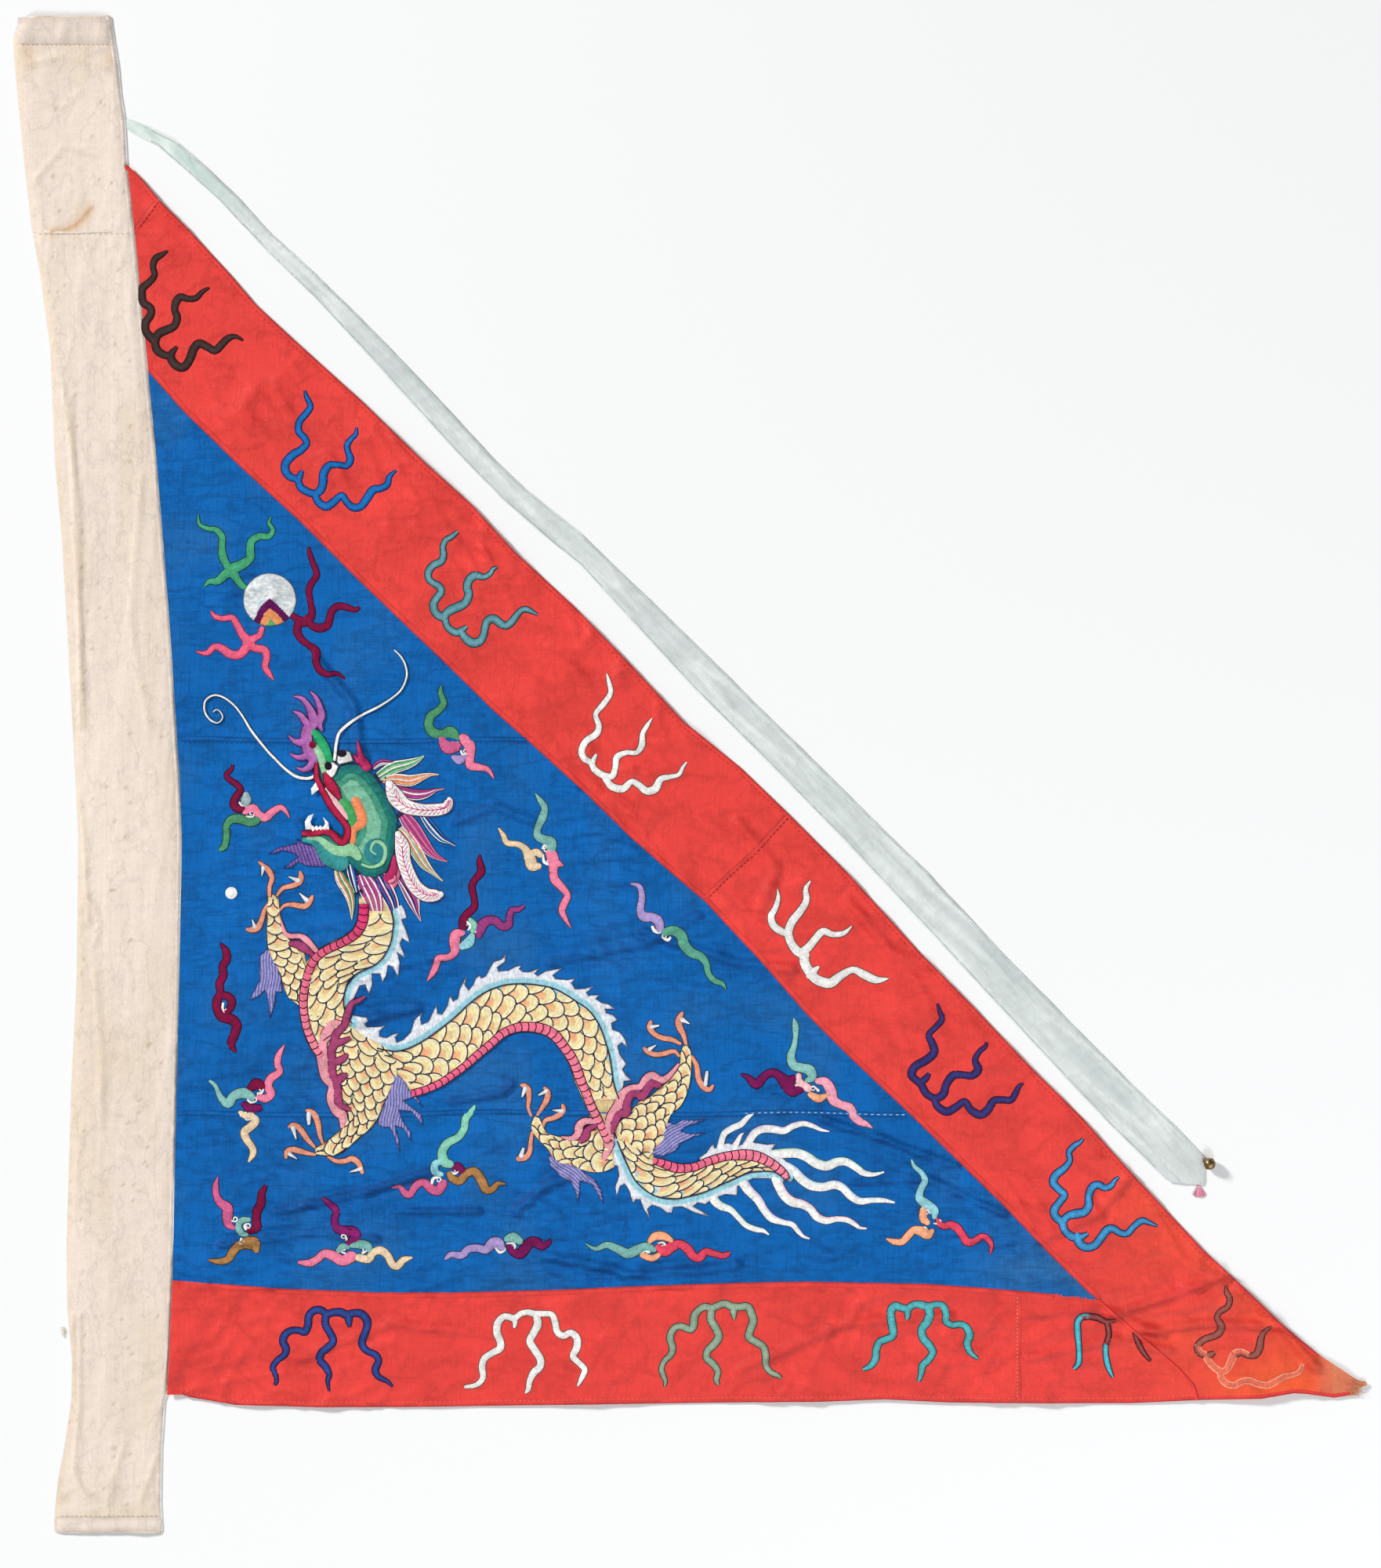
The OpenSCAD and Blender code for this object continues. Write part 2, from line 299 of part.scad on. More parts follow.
curl_lines = [[[-305,40,3],[-302,44,3],[-298,43,3],[-295,38,2]], [[-293,31,4],[-291,26,5],[-286,27,4]],
    [[-567,-53,4],[-559,-54,4],[-557,-50,2]], [[-576,-35,4],[-573,-39,4]],
    [[-189,-95,5],[-186,-90,5],[-182,-94,3]],
    [[-188,-102,4],[-187,-111,6],[-182,-114,6]], [[-284,-199,3],[-281,-193,6],[-285,-188,5]],
    [[-275,-202,3],[-271,-196,5]], [[-596,-291,5],[-597,-297,5],[-595,-303,2]],
    [[-49,-193,5],[-46,-199,7],[-41,-202,3]], [[-25,-207,4],[-29,-211,7],[-35,-208,4]],
    [[-553,-407,5],[-548,-406,6],[-545,-402,3]], [[-565,-414,5],[-561,-418,5],[-555,-417,3]],
    [[-567,-430,4],[-567,-439,5],[-562,-440,3]], [[-330,-521,6],[-328,-515,6],[-321,-514,3]],
    [[-306,-507,4],[-301,-509,5],[-297,-507,3]], [[-586,-569,4],[-581,-570,3]],
    [[-567,-581,5],[-569,-575,5],[-565,-573,3]], [[-573,-591,4],[-574,-597,6]],
    [[-439,-593,6],[-440,-588,3]], [[-440,-611,4],[-445,-609,3],[-446,-605,2]],
    [[-418,-610,6],[-414,-608,3]], [[-250,-602,3],[-244,-609,6],[-238,-608,3]],
    [[-235,-598,3],[-226,-598,5],[-224,-602,5]], [[-42,-598,3],[-35,-597,4],[-32,-601,4]],
    [[-53,-609,6],[-58,-608,3]], [[133,-397,6],[139,-395,4]], [[163,-403,6],[158,-398,3]],
    [[306,-560,4],[303,-556,4]], [[310,-572,3],[317,-573,4]], [[302,-582,4],[300,-578,4]]];

// The dragon's body: back and belly lines of each stretch, from the neck to the tail
neck_outline = [[-408,-150],[-423,-156],[-423,-174],[-425,-187],[-431,-199],[-442,-207],[-456,-213],
    [-469,-220],[-480,-227],[-489,-238],[-493,-252],[-497,-267],[-498,-285],[-497,-303],[-495,-321],
    [-490,-338],[-483,-351],[-472,-364],[-440,-372],[-400,-380],[-379,-352],[-394,-351],[-408,-344],
    [-421,-331],[-432,-317],[-442,-296],[-442,-283],[-439,-270],[-433,-260],[-424,-253],[-413,-248],
    [-400,-241],[-390,-230],[-383,-216],[-380,-201],[-379,-187],[-382,-174],[-386,-155]];
arch_outline = [[-409,-344],[-394,-351],[-379,-353],[-365,-351],[-350,-345],[-332,-334],[-317,-323],
    [-301,-310],[-285,-295],[-270,-283],[-254,-274],[-234,-268],[-210,-267],[-192,-269],[-174,-273],
    [-150,-286],[-134,-297],[-123,-310],[-114,-325],[-108,-343],[-103,-361],[-100,-381],[-97,-398],
    [-91,-414],[-92,-460],[-104,-476],[-112,-472],[-122,-450],[-130,-432],[-139,-410],[-147,-392],
    [-154,-370],[-163,-354],[-174,-340],[-188,-331],[-203,-328],[-221,-328],[-237,-334],[-252,-347],
    [-270,-362],[-285,-375],[-301,-386],[-319,-397],[-337,-406],[-354,-411],[-380,-400],[-400,-380]];
tail_outline = [[-96,-457],[-89,-479],[-80,-499],[-71,-517],[-59,-529],[-46,-537],[-31,-541],[-16,-541],
    [-1,-538],[14,-534],[29,-528],[44,-521],[59,-514],[74,-508],[89,-506],[101,-506],[110,-508],
    [119,-513],[125,-516],[124,-509],[116,-499],[106,-489],[94,-483],[79,-479],[64,-478],[46,-481],
    [31,-486],[16,-492],[1,-497],[-11,-498],[-24,-495],[-36,-491],[-48,-488],[-40,-470],[-60,-450]];
front_leg_left = [[-532,-153],[-525,-160],[-524,-178],[-518,-198],[-513,-210],[-493,-227],[-486,-262],
    [-490,-298],[-498,-294],[-512,-285],[-519,-270],[-522,-256],[-528,-245],[-535,-232],[-539,-218],
    [-540,-200],[-540,-176],[-539,-158]];
front_leg_right = [[-448,-331],[-455,-345],[-455,-400],[-445,-413],[-437,-426],[-440,-442],[-448,-455],
    [-461,-466],[-479,-477],[-477,-484],[-461,-487],[-445,-482],[-432,-471],[-419,-460],[-405,-448],
    [-398,-436],[-388,-411],[-381,-397],[-370,-370],[-400,-340]];
rear_leg_left = [[-199,-436],[-203,-447],[-201,-456],[-194,-465],[-183,-476],[-172,-492],[-157,-498],
    [-141,-503],[-125,-507],[-110,-506],[-99,-500],[-97,-470],[-104,-452],[-119,-454],[-132,-462],
    [-145,-467],[-168,-462],[-183,-458],[-188,-449],[-193,-438]];
rear_leg_right = [[-8,-343],[-12,-354],[-13,-367],[-17,-378],[-25,-388],[-36,-398],[-51,-411],[-66,-418],
    [-78,-432],[-92,-445],[-97,-460],[-88,-482],[-60,-500],[-48,-488],[-49,-482],[-36,-467],
    [-31,-454],[-29,-442],[-24,-432],[-14,-424],[-7,-412],[-2,-397],[0,-382],[1,-369],[0,-354],
    [-3,-345]];
belly_lines = [[[-417,-165,11],[-418,-185,12],[-424,-199,11],[-435,-209,10],[-450,-217,9],[-463,-223,9],
    [-476,-232,9],[-484,-244,9],[-489,-258,9],[-492,-272,9],[-494,-287,9],[-493,-304,9],
    [-490,-321,9],[-485,-335,9],[-478,-349,9],[-470,-359,8]],
    [[-356,-407,8],[-338,-402,8],[-320,-394,8],[-303,-383,8],[-288,-372,8],[-272,-358,9],
    [-254,-343,9],[-239,-330,9],[-222,-323,10],[-204,-322,11],[-187,-325,12],[-173,-333,12],
    [-160,-349,11],[-149,-366,11],[-142,-385,11],[-134,-404,10],[-126,-425,10],[-117,-442,9],
    [-110,-457,9],[-104,-470,8]],
    [[-47,-492,7],[-35,-496,9],[-21,-501,11],[-8,-502,10],[6,-500,9],[21,-494,9],[36,-489,9],
    [52,-486,10],[68,-485,12],[84,-487,12],[98,-493,11],[109,-500,10],[119,-509,9],[125,-516,3]]];
crest_outlines = [
    [[-380,-170],[-369,-166],[-365,-172],[-362,-183],[-369,-185],[-364,-196],[-358,-215],[-368,-209],
    [-371,-216],[-368,-223],[-364,-234],[-374,-227],[-371,-240],[-373,-258],[-380,-245],[-386,-243],
    [-388,-255],[-393,-265],[-396,-254],[-407,-254],[-406,-267],[-410,-280],[-415,-268],[-422,-269],
    [-428,-282],[-431,-290],[-439,-299],[-445,-296],[-445,-280],[-420,-245],[-390,-220]],
    [[-431,-307],[-413,-310],[-411,-314],[-416,-318],[-413,-322],[-399,-322],[-389,-320],[-397,-327],
    [-397,-334],[-388,-336],[-379,-331],[-372,-330],[-377,-335],[-375,-342],[-366,-338],[-357,-329],
    [-352,-313],[-343,-304],[-345,-312],[-343,-319],[-334,-315],[-328,-302],[-324,-293],[-323,-305],
    [-317,-306],[-310,-295],[-307,-281],[-303,-289],[-297,-286],[-294,-273],[-286,-257],[-288,-269],
    [-283,-275],[-277,-268],[-274,-260],[-269,-256],[-267,-260],[-261,-257],[-256,-247],[-251,-239],
    [-241,-236],[-235,-228],[-237,-239],[-247,-246],[-245,-251],[-232,-250],[-223,-245],[-215,-243],
    [-219,-248],[-213,-252],[-205,-252],[-193,-247],[-199,-254],[-195,-257],[-185,-251],[-164,-247],
    [-176,-256],[-172,-261],[-157,-262],[-147,-260],[-152,-266],[-147,-274],[-134,-273],[-123,-270],
    [-133,-278],[-130,-282],[-116,-281],[-121,-286],[-114,-291],[-105,-293],[-96,-299],[-109,-299],
    [-108,-304],[-99,-307],[-93,-313],[-101,-317],[-100,-325],[-90,-329],[-84,-337],[-80,-348],
    [-88,-342],[-93,-346],[-91,-356],[-82,-369],[-87,-376],[-82,-384],[-75,-390],[-85,-391],
    [-86,-397],[-87,-410],[-95,-420],[-110,-380],[-130,-310],[-200,-275],[-260,-285],[-340,-345],
    [-379,-360],[-425,-340],[-436,-320]],
    [[-96,-455],[-99,-472],[-101,-498],[-93,-499],[-91,-512],[-96,-526],[-94,-538],[-90,-525],
    [-84,-522],[-79,-529],[-73,-547],[-70,-542],[-64,-542],[-60,-553],[-52,-567],[-55,-554],
    [-49,-549],[-39,-552],[-30,-559],[-24,-559],[-22,-552],[-11,-551],[-4,-554],[6,-559],[24,-564],
    [14,-557],[3,-551],[9,-546],[19,-548],[29,-541],[45,-535],[59,-537],[60,-525],[80,-515],[100,-515],
    [120,-520],[110,-500],[60,-505],[-20,-530],[-70,-500],[-85,-470]],
    [[11,-489],[21,-482],[25,-475],[29,-471],[31,-477],[38,-473],[48,-470],[60,-474],[75,-468],
    [85,-470],[98,-472],[109,-471],[104,-478],[112,-485],[128,-498],[136,-508],[128,-520],
    [118,-516],[112,-500],[90,-490],[60,-484],[30,-492],[15,-497]]];
plume_lines = [[[37,-482,10],[39,-470,8],[43,-458,8],[53,-451,8],[64,-446,8],[73,-437,6],[80,-432,4],
    [90,-431,2]],
    [[56,-475,8],[61,-466,6],[64,-460,4],[68,-457,1]],
    [[69,-478,11],[75,-467,10],[82,-457,10],[92,-452,10],[105,-452,10],[119,-454,9],[131,-448,8],
    [144,-445,7],[156,-448,6],[167,-453,4],[177,-455,2]],
    [[104,-485,12],[121,-483,12],[136,-483,12],[149,-488,12],[161,-496,12],[174,-499,12],
    [187,-494,11],[199,-494,10],[211,-501,9],[221,-508,8],[234,-510,5],[247,-507,2]],
    [[122,-500,12],[132,-506,12],[142,-516,12],[154,-524,12],[169,-526,11],[183,-523,11],
    [194,-527,10],[204,-537,10],[216,-544,9],[231,-543,7],[246,-543,6],[261,-546,2]],
    [[108,-512,12],[113,-525,12],[120,-537,12],[130,-545,12],[142,-548,11],[153,-554,10],
    [161,-564,10],[173,-569,9],[186,-567,7],[199,-568,7],[209,-573,6],[216,-578,4],[225,-579,2]],
    [[66,-518,13],[74,-530,12],[86,-542,11],[94,-555,10],[104,-566,10],[118,-571,7],[130,-574,7],
    [137,-582,6],[144,-589,4],[152,-592,2]],
    [[26,-534,12],[32,-545,11],[40,-551,10],[51,-555,8],[61,-565,7],[71,-575,7],[83,-580,7],
    [93,-582,5],[100,-587,2]]];

// Head, mane, legs and feet
head_outline = [[-453,4],[-449,10],[-440,14],[-431,15],[-416,10],[-404,-1],[-389,-21],[-380,-41],[-373,-57],
    [-375,-76],[-379,-103],[-387,-123],[-402,-132],[-417,-130],[-427,-121],[-435,-114],[-446,-120],
    [-458,-116],[-466,-103],[-476,-91],[-488,-88],[-497,-79],[-490,-76],[-470,-70],[-455,-72],
    [-440,-80],[-434,-70],[-444,-54],[-458,-40],[-470,-14],[-478,10],[-484,35],[-484,52],[-478,57],
    [-469,50],[-462,38],[-457,20]];
mouth_lines = [[[-477,13,4],[-477,-3,6],[-472,-16,7],[-465,-29,7],[-458,-41,8],[-450,-51,8],[-443,-60,7],
    [-438,-68,7],[-438,-78,8],[-443,-86,8],[-450,-83,8],[-458,-75,8],[-469,-72,8],[-482,-75,8],
    [-493,-75,6]], [[-467,3,3],[-462,-8,11],[-454,-20,11],[-447,-31,3]]];
teeth = [[[-491,-70],[-492,-60],[-488,-53],[-481,-50],[-485,-60],[-482,-70]],
    [[-482,-70],[-480,-67],[-468,-67],[-466,-62],[-469,-54],[-462,-61],[-461,-70]],
    [[-478,-10],[-484,-18],[-483,-26],[-474,-19]]];
eye_shapes = [[[-452,17],[-450,28],[-442,31],[-434,30],[-429,17],[-440,14],[-449,12]],
    [[-465,16],[-456,17],[-448,11],[-453,-1],[-458,-6],[-466,2]]];
horn_lines = [[[-384,-12,10],[-377,-27,20],[-364,-40,18],[-344,-45,15],[-325,-45,15],[-312,-42,13],
    [-308,-34,10],[-308,-31,5]],
    [[-373,-76,8],[-368,-91,18],[-366,-109,17],[-360,-127,17],[-351,-143,17],[-338,-153,17],
    [-325,-154,14],[-319,-153,8]]];
mane_lines = [[[-405,8,5],[-395,15,8],[-384,15,6],[-377,14,2]],
    [[-398,-3,12],[-380,8,16],[-362,13,13],[-349,18,8],[-340,24,1]],
    [[-393,-7,8],[-376,-6,14],[-358,-8,15],[-342,-3,9],[-331,0,4],[-321,0,1]],
    [[-386,-14,8],[-371,-21,12],[-353,-26,14],[-338,-25,11],[-325,-20,4],[-314,-18,1]],
    [[-342,-52,8],[-331,-67,12],[-318,-81,10],[-309,-86,4],[-300,-91,1]],
    [[-367,-52,14],[-356,-67,20],[-342,-87,17],[-327,-103,9],[-310,-111,1]],
    [[-371,-68,6],[-360,-81,14],[-350,-98,16],[-340,-114,13],[-329,-125,6],[-316,-136,1]],
    [[-371,-134,8],[-362,-147,14],[-354,-161,16],[-349,-176,7],[-344,-187,1]],
    [[-377,-105,5],[-376,-118,11],[-377,-132,11],[-381,-142,9],[-387,-140,6],[-389,-131,4]],
    [[-451,-120,8],[-446,-134,15],[-438,-147,15],[-433,-163,10],[-432,-185,1]],
    [[-435,-114,10],[-431,-131,12],[-426,-150,6]],
    [[-420,-127,15],[-412,-143,25],[-405,-158,25],[-401,-175,18],[-399,-190,8],[-398,-202,1]],
    [[-398,-130,18],[-389,-147,20],[-381,-163,17],[-377,-180,9],[-378,-195,1]]];
whisker_lines = [[[-609,80,2],[-605,83,2],[-600,80,2],[-597,73,2],[-603,66,2],[-613,70,3],[-620,81,3],
    [-619,94,3],[-609,101,3],[-597,99,3],[-583,89,3],[-572,75,3],[-561,57,4],[-548,40,4],
    [-537,27,4],[-531,21,4],[-518,8,4],[-504,-2,5],[-491,-5,5],[-482,-3,5],[-478,2,4]],
    [[-378,159,2],[-370,151,3],[-364,140,3],[-362,126,3],[-368,110,3],[-379,99,3],[-399,86,4],
    [-419,76,4],[-437,64,5],[-448,53,5],[-452,39,5],[-453,28,5],[-454,19,5]]];
nose_lines = [[[-507,100,1],[-496,97,5],[-488,88,7],[-483,77,10],[-481,66,12],[-489,57,13],[-490,44,14],
    [-487,30,14],[-481,17,10],[-479,8,3]],
    [[-485,106,1],[-478,98,5],[-473,86,7],[-471,75,9],[-474,66,8],[-470,56,2]],
    [[-507,81,1],[-498,76,6],[-491,67,8],[-486,60,6]], [[-513,50,1],[-506,43,5],[-497,41,9],[-489,44,9]],
    [[-511,27,1],[-502,22,5],[-492,23,8],[-486,29,8]], [[-503,9,1],[-494,6,5],[-486,10,8],[-481,18,8]]];
beard_outline = [[-540,-103],[-528,-94],[-518,-91],[-502,-88],[-502,-81],[-493,-89],[-475,-91],[-460,-98],
    [-458,-114],[-469,-118],[-489,-117],[-500,-112],[-509,-118],[-519,-121],[-511,-112],[-500,-105],
    [-509,-100],[-520,-97]];
flame_lines = [[[-524,-183,2],[-519,-198,6],[-511,-206,7],[-498,-206,8],[-488,-213,8],[-479,-224,5]],
    [[-513,-215,4],[-504,-216,7],[-494,-220,9],[-482,-229,4]],
    [[-444,-318,8],[-456,-322,12],[-464,-331,14],[-468,-342,12],[-468,-355,14],[-466,-371,14],
    [-462,-386,12],[-456,-398,12],[-456,-413,12],[-451,-427,12],[-445,-436,10],[-444,-448,7]],
    [[-416,-283,2],[-423,-288,5],[-432,-292,6],[-437,-304,8],[-442,-319,9],[-450,-331,9]],
    [[-458,-344,9],[-443,-340,7],[-434,-336,2]], [[-456,-366,9],[-444,-363,8],[-437,-356,2]],
    [[-454,-390,9],[-445,-386,8],[-438,-382,2]], [[-450,-424,8],[-436,-427,4]],
    [[-112,-437,3],[-123,-440,7],[-134,-443,9],[-139,-450,12],[-139,-459,12],[-152,-464,6],
    [-165,-462,2]],
    [[-111,-489,6],[-104,-473,12],[-103,-457,13],[-98,-438,16],[-90,-424,17],[-83,-411,17],
    [-74,-405,15],[-64,-405,13],[-56,-396,14],[-48,-391,16],[-39,-393,13],[-30,-389,7],[-23,-381,5],
    [-15,-369,2]]];
hair_outlines = [[[-539,-221],[-550,-232],[-550,-263],[-558,-278],[-563,-288],[-551,-283],[-543,-275],
    [-539,-288],[-537,-312],[-531,-294],[-529,-277],[-521,-278],[-522,-260],[-527,-243],[-534,-230]],
    [[-379,-379],[-384,-402],[-394,-428],[-400,-446],[-392,-450],[-384,-450],[-378,-462],[-371,-483],
    [-372,-466],[-377,-448],[-366,-452],[-357,-468],[-357,-456],[-368,-440],[-372,-428],[-356,-430],
    [-342,-447],[-343,-434],[-356,-424],[-366,-416],[-354,-412],[-341,-425],[-350,-410],[-357,-405],
    [-366,-388]],
    [[-182,-484],[-179,-500],[-165,-513],[-153,-519],[-147,-531],[-144,-546],[-141,-531],[-141,-518],
    [-133,-520],[-124,-525],[-118,-536],[-111,-548],[-114,-530],[-122,-517],[-135,-507],[-145,-499],
    [-165,-492]],
    [[-30,-442],[-20,-446],[-10,-440],[5,-441],[22,-438],[6,-445],[-8,-450],[-12,-455],[0,-458],
    [22,-457],[2,-463],[-12,-470],[-20,-480],[-35,-487],[-52,-484],[-40,-468]]];
toe_lines = [[[-537,-155,4],[-537,-143,5],[-534,-132,6],[-538,-123,7],[-544,-117,6],[-551,-111,2]],
    [[-528,-155,3],[-520,-145,5],[-509,-142,6],[-500,-138,7],[-497,-131,7],[-498,-125,4]],
    [[-525,-174,3],[-518,-167,4],[-507,-166,6],[-493,-168,7],[-486,-162,7],[-482,-154,3]],
    [[-539,-165,3],[-544,-174,5],[-547,-185,6],[-552,-195,8],[-560,-198,7],[-567,-197,3]],
    [[-469,-471,3],[-473,-460,5],[-475,-446,7],[-479,-435,7],[-484,-430,6],[-491,-428,3]],
    [[-479,-476,3],[-488,-466,6],[-495,-456,7],[-501,-449,7],[-508,-447,6],[-513,-450,3]],
    [[-478,-485,3],[-488,-483,5],[-499,-480,7],[-508,-478,7],[-515,-481,6],[-516,-488,4]],
    [[-463,-487,3],[-452,-493,5],[-441,-493,6],[-432,-490,7],[-424,-495,7],[-419,-507,5]],
    [[-203,-436,3],[-207,-425,4],[-206,-412,6],[-207,-402,7],[-212,-397,6],[-217,-396,3]],
    [[-196,-435,3],[-190,-426,5],[-184,-416,7],[-182,-406,7],[-186,-400,4]],
    [[-188,-449,3],[-185,-441,5],[-175,-438,6],[-166,-433,7],[-162,-427,6],[-163,-422,4]],
    [[-202,-457,4],[-204,-469,5],[-205,-480,6],[-210,-488,7],[-219,-490,7]],
    [[-6,-343,4],[-9,-332,6],[-14,-322,8],[-15,-313,8],[-11,-305,5]],
    [[-12,-344,3],[-24,-338,6],[-36,-336,6],[-46,-331,6],[-52,-323,7],[-51,-316,5]],
    [[-14,-360,3],[-21,-353,5],[-34,-356,6],[-46,-357,6],[-55,-353,6],[-60,-348,3]],
    [[2,-360,4],[8,-372,6],[10,-387,7],[16,-398,7],[24,-402,6],[29,-396,3]]];
talon_lines = [[[-545,-119,5],[-547,-129,1]],[[-501,-135,6],[-513,-130,1]],[[-490,-160,6],[-499,-151,1]],
    [[-556,-194,5],[-559,-185,1]],[[-487,-433,6],[-487,-445,4]],[[-507,-451,6],[-503,-465,1]],
    [[-511,-484,5],[-502,-490,1]],[[-421,-503,5],[-435,-507,1]],[[-211,-401,6],[-215,-411,2]],
    [[-184,-404,5],[-194,-409,2]],[[-164,-429,5],[-176,-428,1]],[[-216,-486,6],[-213,-476,3]],
    [[-10,-313,6],[-1,-318,1]],[[-50,-322,5],[-40,-320,2]],[[-52,-350,5],[-44,-345,1]],
    [[19,-395,5],[21,-380,4]]];

// The bell hangs from a thread across the streamer's corner, and lies on its side
thread_r = 0.45;
thread_half = 2.8;
thread_z = streamer_t + 2.4;
bell_hang = [655, -491.5];
ring_r = 1.6;
ring_wire = 0.5;
hang_length = bell_r + ring_r + ring_wire;
bell_direction = -35;
bell_rise = bell_r - thread_z;
bell_reach = sqrt(pow(hang_length, 2) - pow(bell_rise, 2));
bell_centre = [bell_hang[0] + bell_reach * cos(bell_direction),
    bell_hang[1] + bell_reach * sin(bell_direction), bell_r];
bell_tilt = 90 + asin(bell_rise / hang_length);
flange_r = bell_r + 0.5;
flange_t = 0.5;
pellet_gap = 0.4;
// The tassel turns on one stitch through the streamer's corner
tassel_pin = [650.5, -521];
tassel_pin_r = 0.4;
tassel_pin_fit = 0.06;
tassel_neck = 4.5;
tassel_lift = 0.3;
tassel_head_h = tassel_h - streamer_t - tassel_lift - 0.2;
skirt = [[-2,-tassel_neck],[2,-tassel_neck],[6,-7],[7,-11],[7,-16],[3,-18],[0,-16.5],[-4,-18.5],
    [-8,-16],[-9,-11],[-6,-7]];

// Catmull-Rom curve through a list of points
function blend(a, b, c, d, t) = 0.5 * ((2 * b) + (c - a) * t + (2 * a - 5 * b + 4 * c - d) * t * t
    + (3 * b - a - 3 * c + d) * t * t * t);
function curve(p, n = 2) = let (last = len(p) - 1) concat([for (i = [0:last - 1]) for (k = [0:n - 1])
    blend(p[max(i - 1, 0)], p[i], p[i + 1], p[min(i + 2, last)], k / n)], [p[last]]);
// Unit vector to the left of the curve at point i
function left_of(s, i) = let (last = len(s) - 1, d = s[min(i + 1, last)] - s[max(i - 1, 0)])
    [-d[1], d[0]] / norm([d[0], d[1]]);
function side(s, i, way) = [s[i][0], s[i][1]] + way * left_of(s, i) * s[i][2] / 2;
function reversed(p) = [for (i = [len(p) - 1:-1:0]) p[i]];
// Outline moved sideways by w, for a strip along an edge
function beside(p, w) = [for (i = [0:len(p) - 1]) p[i] + left_of(p, i) * w];
function fold_at(y) = fold_x + fold_lean * (y - fold_y);

module stroke(p) {
    s = curve(p);
    last = len(s) - 1;
    polygon(concat([for (i = [0:last]) side(s, i, 1)], [for (i = [last:-1:0]) side(s, i, -1)]));
}
module strokes(list) {
    for (p = list) stroke(p);
}
module shapes(list) {
    for (p = list) polygon(p);
}
module slab(z, t) {
    translate([0, 0, z]) linear_extrude(t) children();
}
module stitched() {
    slab(stitch_z, stitch_t) children();
}
module above(y) {
    translate([-far, y]) square(2 * far);
}
module right_of_fold() {
    translate([fold_gap / 2, 0])
        polygon([[fold_at(-far), -far], [far, -far], [far, far], [fold_at(far), far]]);
}
module left_of_fold() {
    translate([-fold_gap / 2, 0])
        polygon([[fold_at(-far), -far], [-far, -far], [-far, far], [fold_at(far), far]]);
}
// Everything above and to the left of a seam that slopes down to the left
module up_from(seam) {
    run = seam[0] - seam[1];
    polygon([seam[0] + run, seam[1] - 3 * run, [-far, seam[1][1] - 3 * run[1]], [-far, far],
        [seam[0][0] + run[0], far]]);
}

// Whole pieces of cloth, before they are divided along their seams
module sleeve_outline() {
    polygon(concat(sleeve_left, reversed(sleeve_right), reversed(sleeve_mouth)));
}
module field_outline() {
    polygon(concat(fly_edge, tip_edge, [lap_edge[0]], foot_edge, hoist_seam));
}
module blue_outline() {
    polygon(concat(fly_seam, foot_seam, [for (p = hoist_seam) if (p[1] > -646 && p[1] < 516) p]));
}
module foot_outline() {
    polygon(concat(lap_edge, foot_seam, [[-661,-645],[-665,-740],[-668,-791]], reversed(foot_edge)));
}
module fly_outline() {
    difference() {
        field_outline();
        blue_outline();
        foot_outline();
    }
}

module sleeve_back() {
    color("antiquewhite") slab(0, cloth_t) sleeve_outline();
}
module sleeve_front_upper() {
    color("antiquewhite") slab(sleeve_h - cloth_t, cloth_t) intersection() {
        sleeve_outline();
        above(cross_seam_y);
    }
}
module sleeve_front_lower() {
    color("wheat") slab(sleeve_h - cloth_t, cloth_t) difference() {
        sleeve_outline();
        above(cross_seam_y);
    }
}
module sleeve_wall_z() {
    slab(cloth_t, sleeve_h - 2 * cloth_t) children();
}
module sleeve_top_strip() {
    intersection() {
        sleeve_outline();
        above(968 - edge_w);
    }
}
module sleeve_fold_edge() {
    color("tan") sleeve_wall_z() difference() {
        polygon(concat(sleeve_left, reversed(beside(sleeve_left, -edge_w))));
        sleeve_top_strip();
    }
}
module sleeve_seam_edge() {
    color("tan") sleeve_wall_z() difference() {
        polygon(concat(sleeve_right, reversed(beside(sleeve_right, edge_w))));
        sleeve_top_strip();
    }
}
module sleeve_top_hem() {
    color("burlywood") sleeve_wall_z() sleeve_top_strip();
}
module sleeve_bottom_hem() {
    color("burlywood") slab(sleeve_h, cloth_t / 2) difference() {
        sleeve_outline();
        above(hem_depth - 966);
    }
}
module red_cloth() {
    color("orangered") slab(0, cloth_t) children();
}
module blue_cloth() {
    color("royalblue") slab(0, cloth_t) children();
}
module border_fly_top() {
    red_cloth() intersection() {
        fly_outline();
        up_from(top_seam);
    }
}
module hoist_strip_red() {
    red_cloth() intersection() {
        left_of_fold();
        difference() {
            union() {
                fly_outline();
                foot_outline();
            }
            up_from(top_seam);
        }
    }
}
module hoist_strip_blue() {
    blue_cloth() intersection() {
        left_of_fold();
        blue_outline();
    }
}
module hoist_scroll() {
    color("black") stitched() intersection() {
        left_of_fold();
        field_outline();
        union() {
            strokes(black_hoist);
            strokes(black_scroll);
        }
    }
}
module blue_panel_top() {
    blue_cloth() intersection() {
        blue_outline();
        right_of_fold();
        above(upper_seam_y);
    }
}
module blue_panel_middle() {
    blue_cloth() intersection() {
        blue_outline();
        right_of_fold();
        difference() {
            above(lower_seam_y);
            above(upper_seam_y);
        }
    }
}
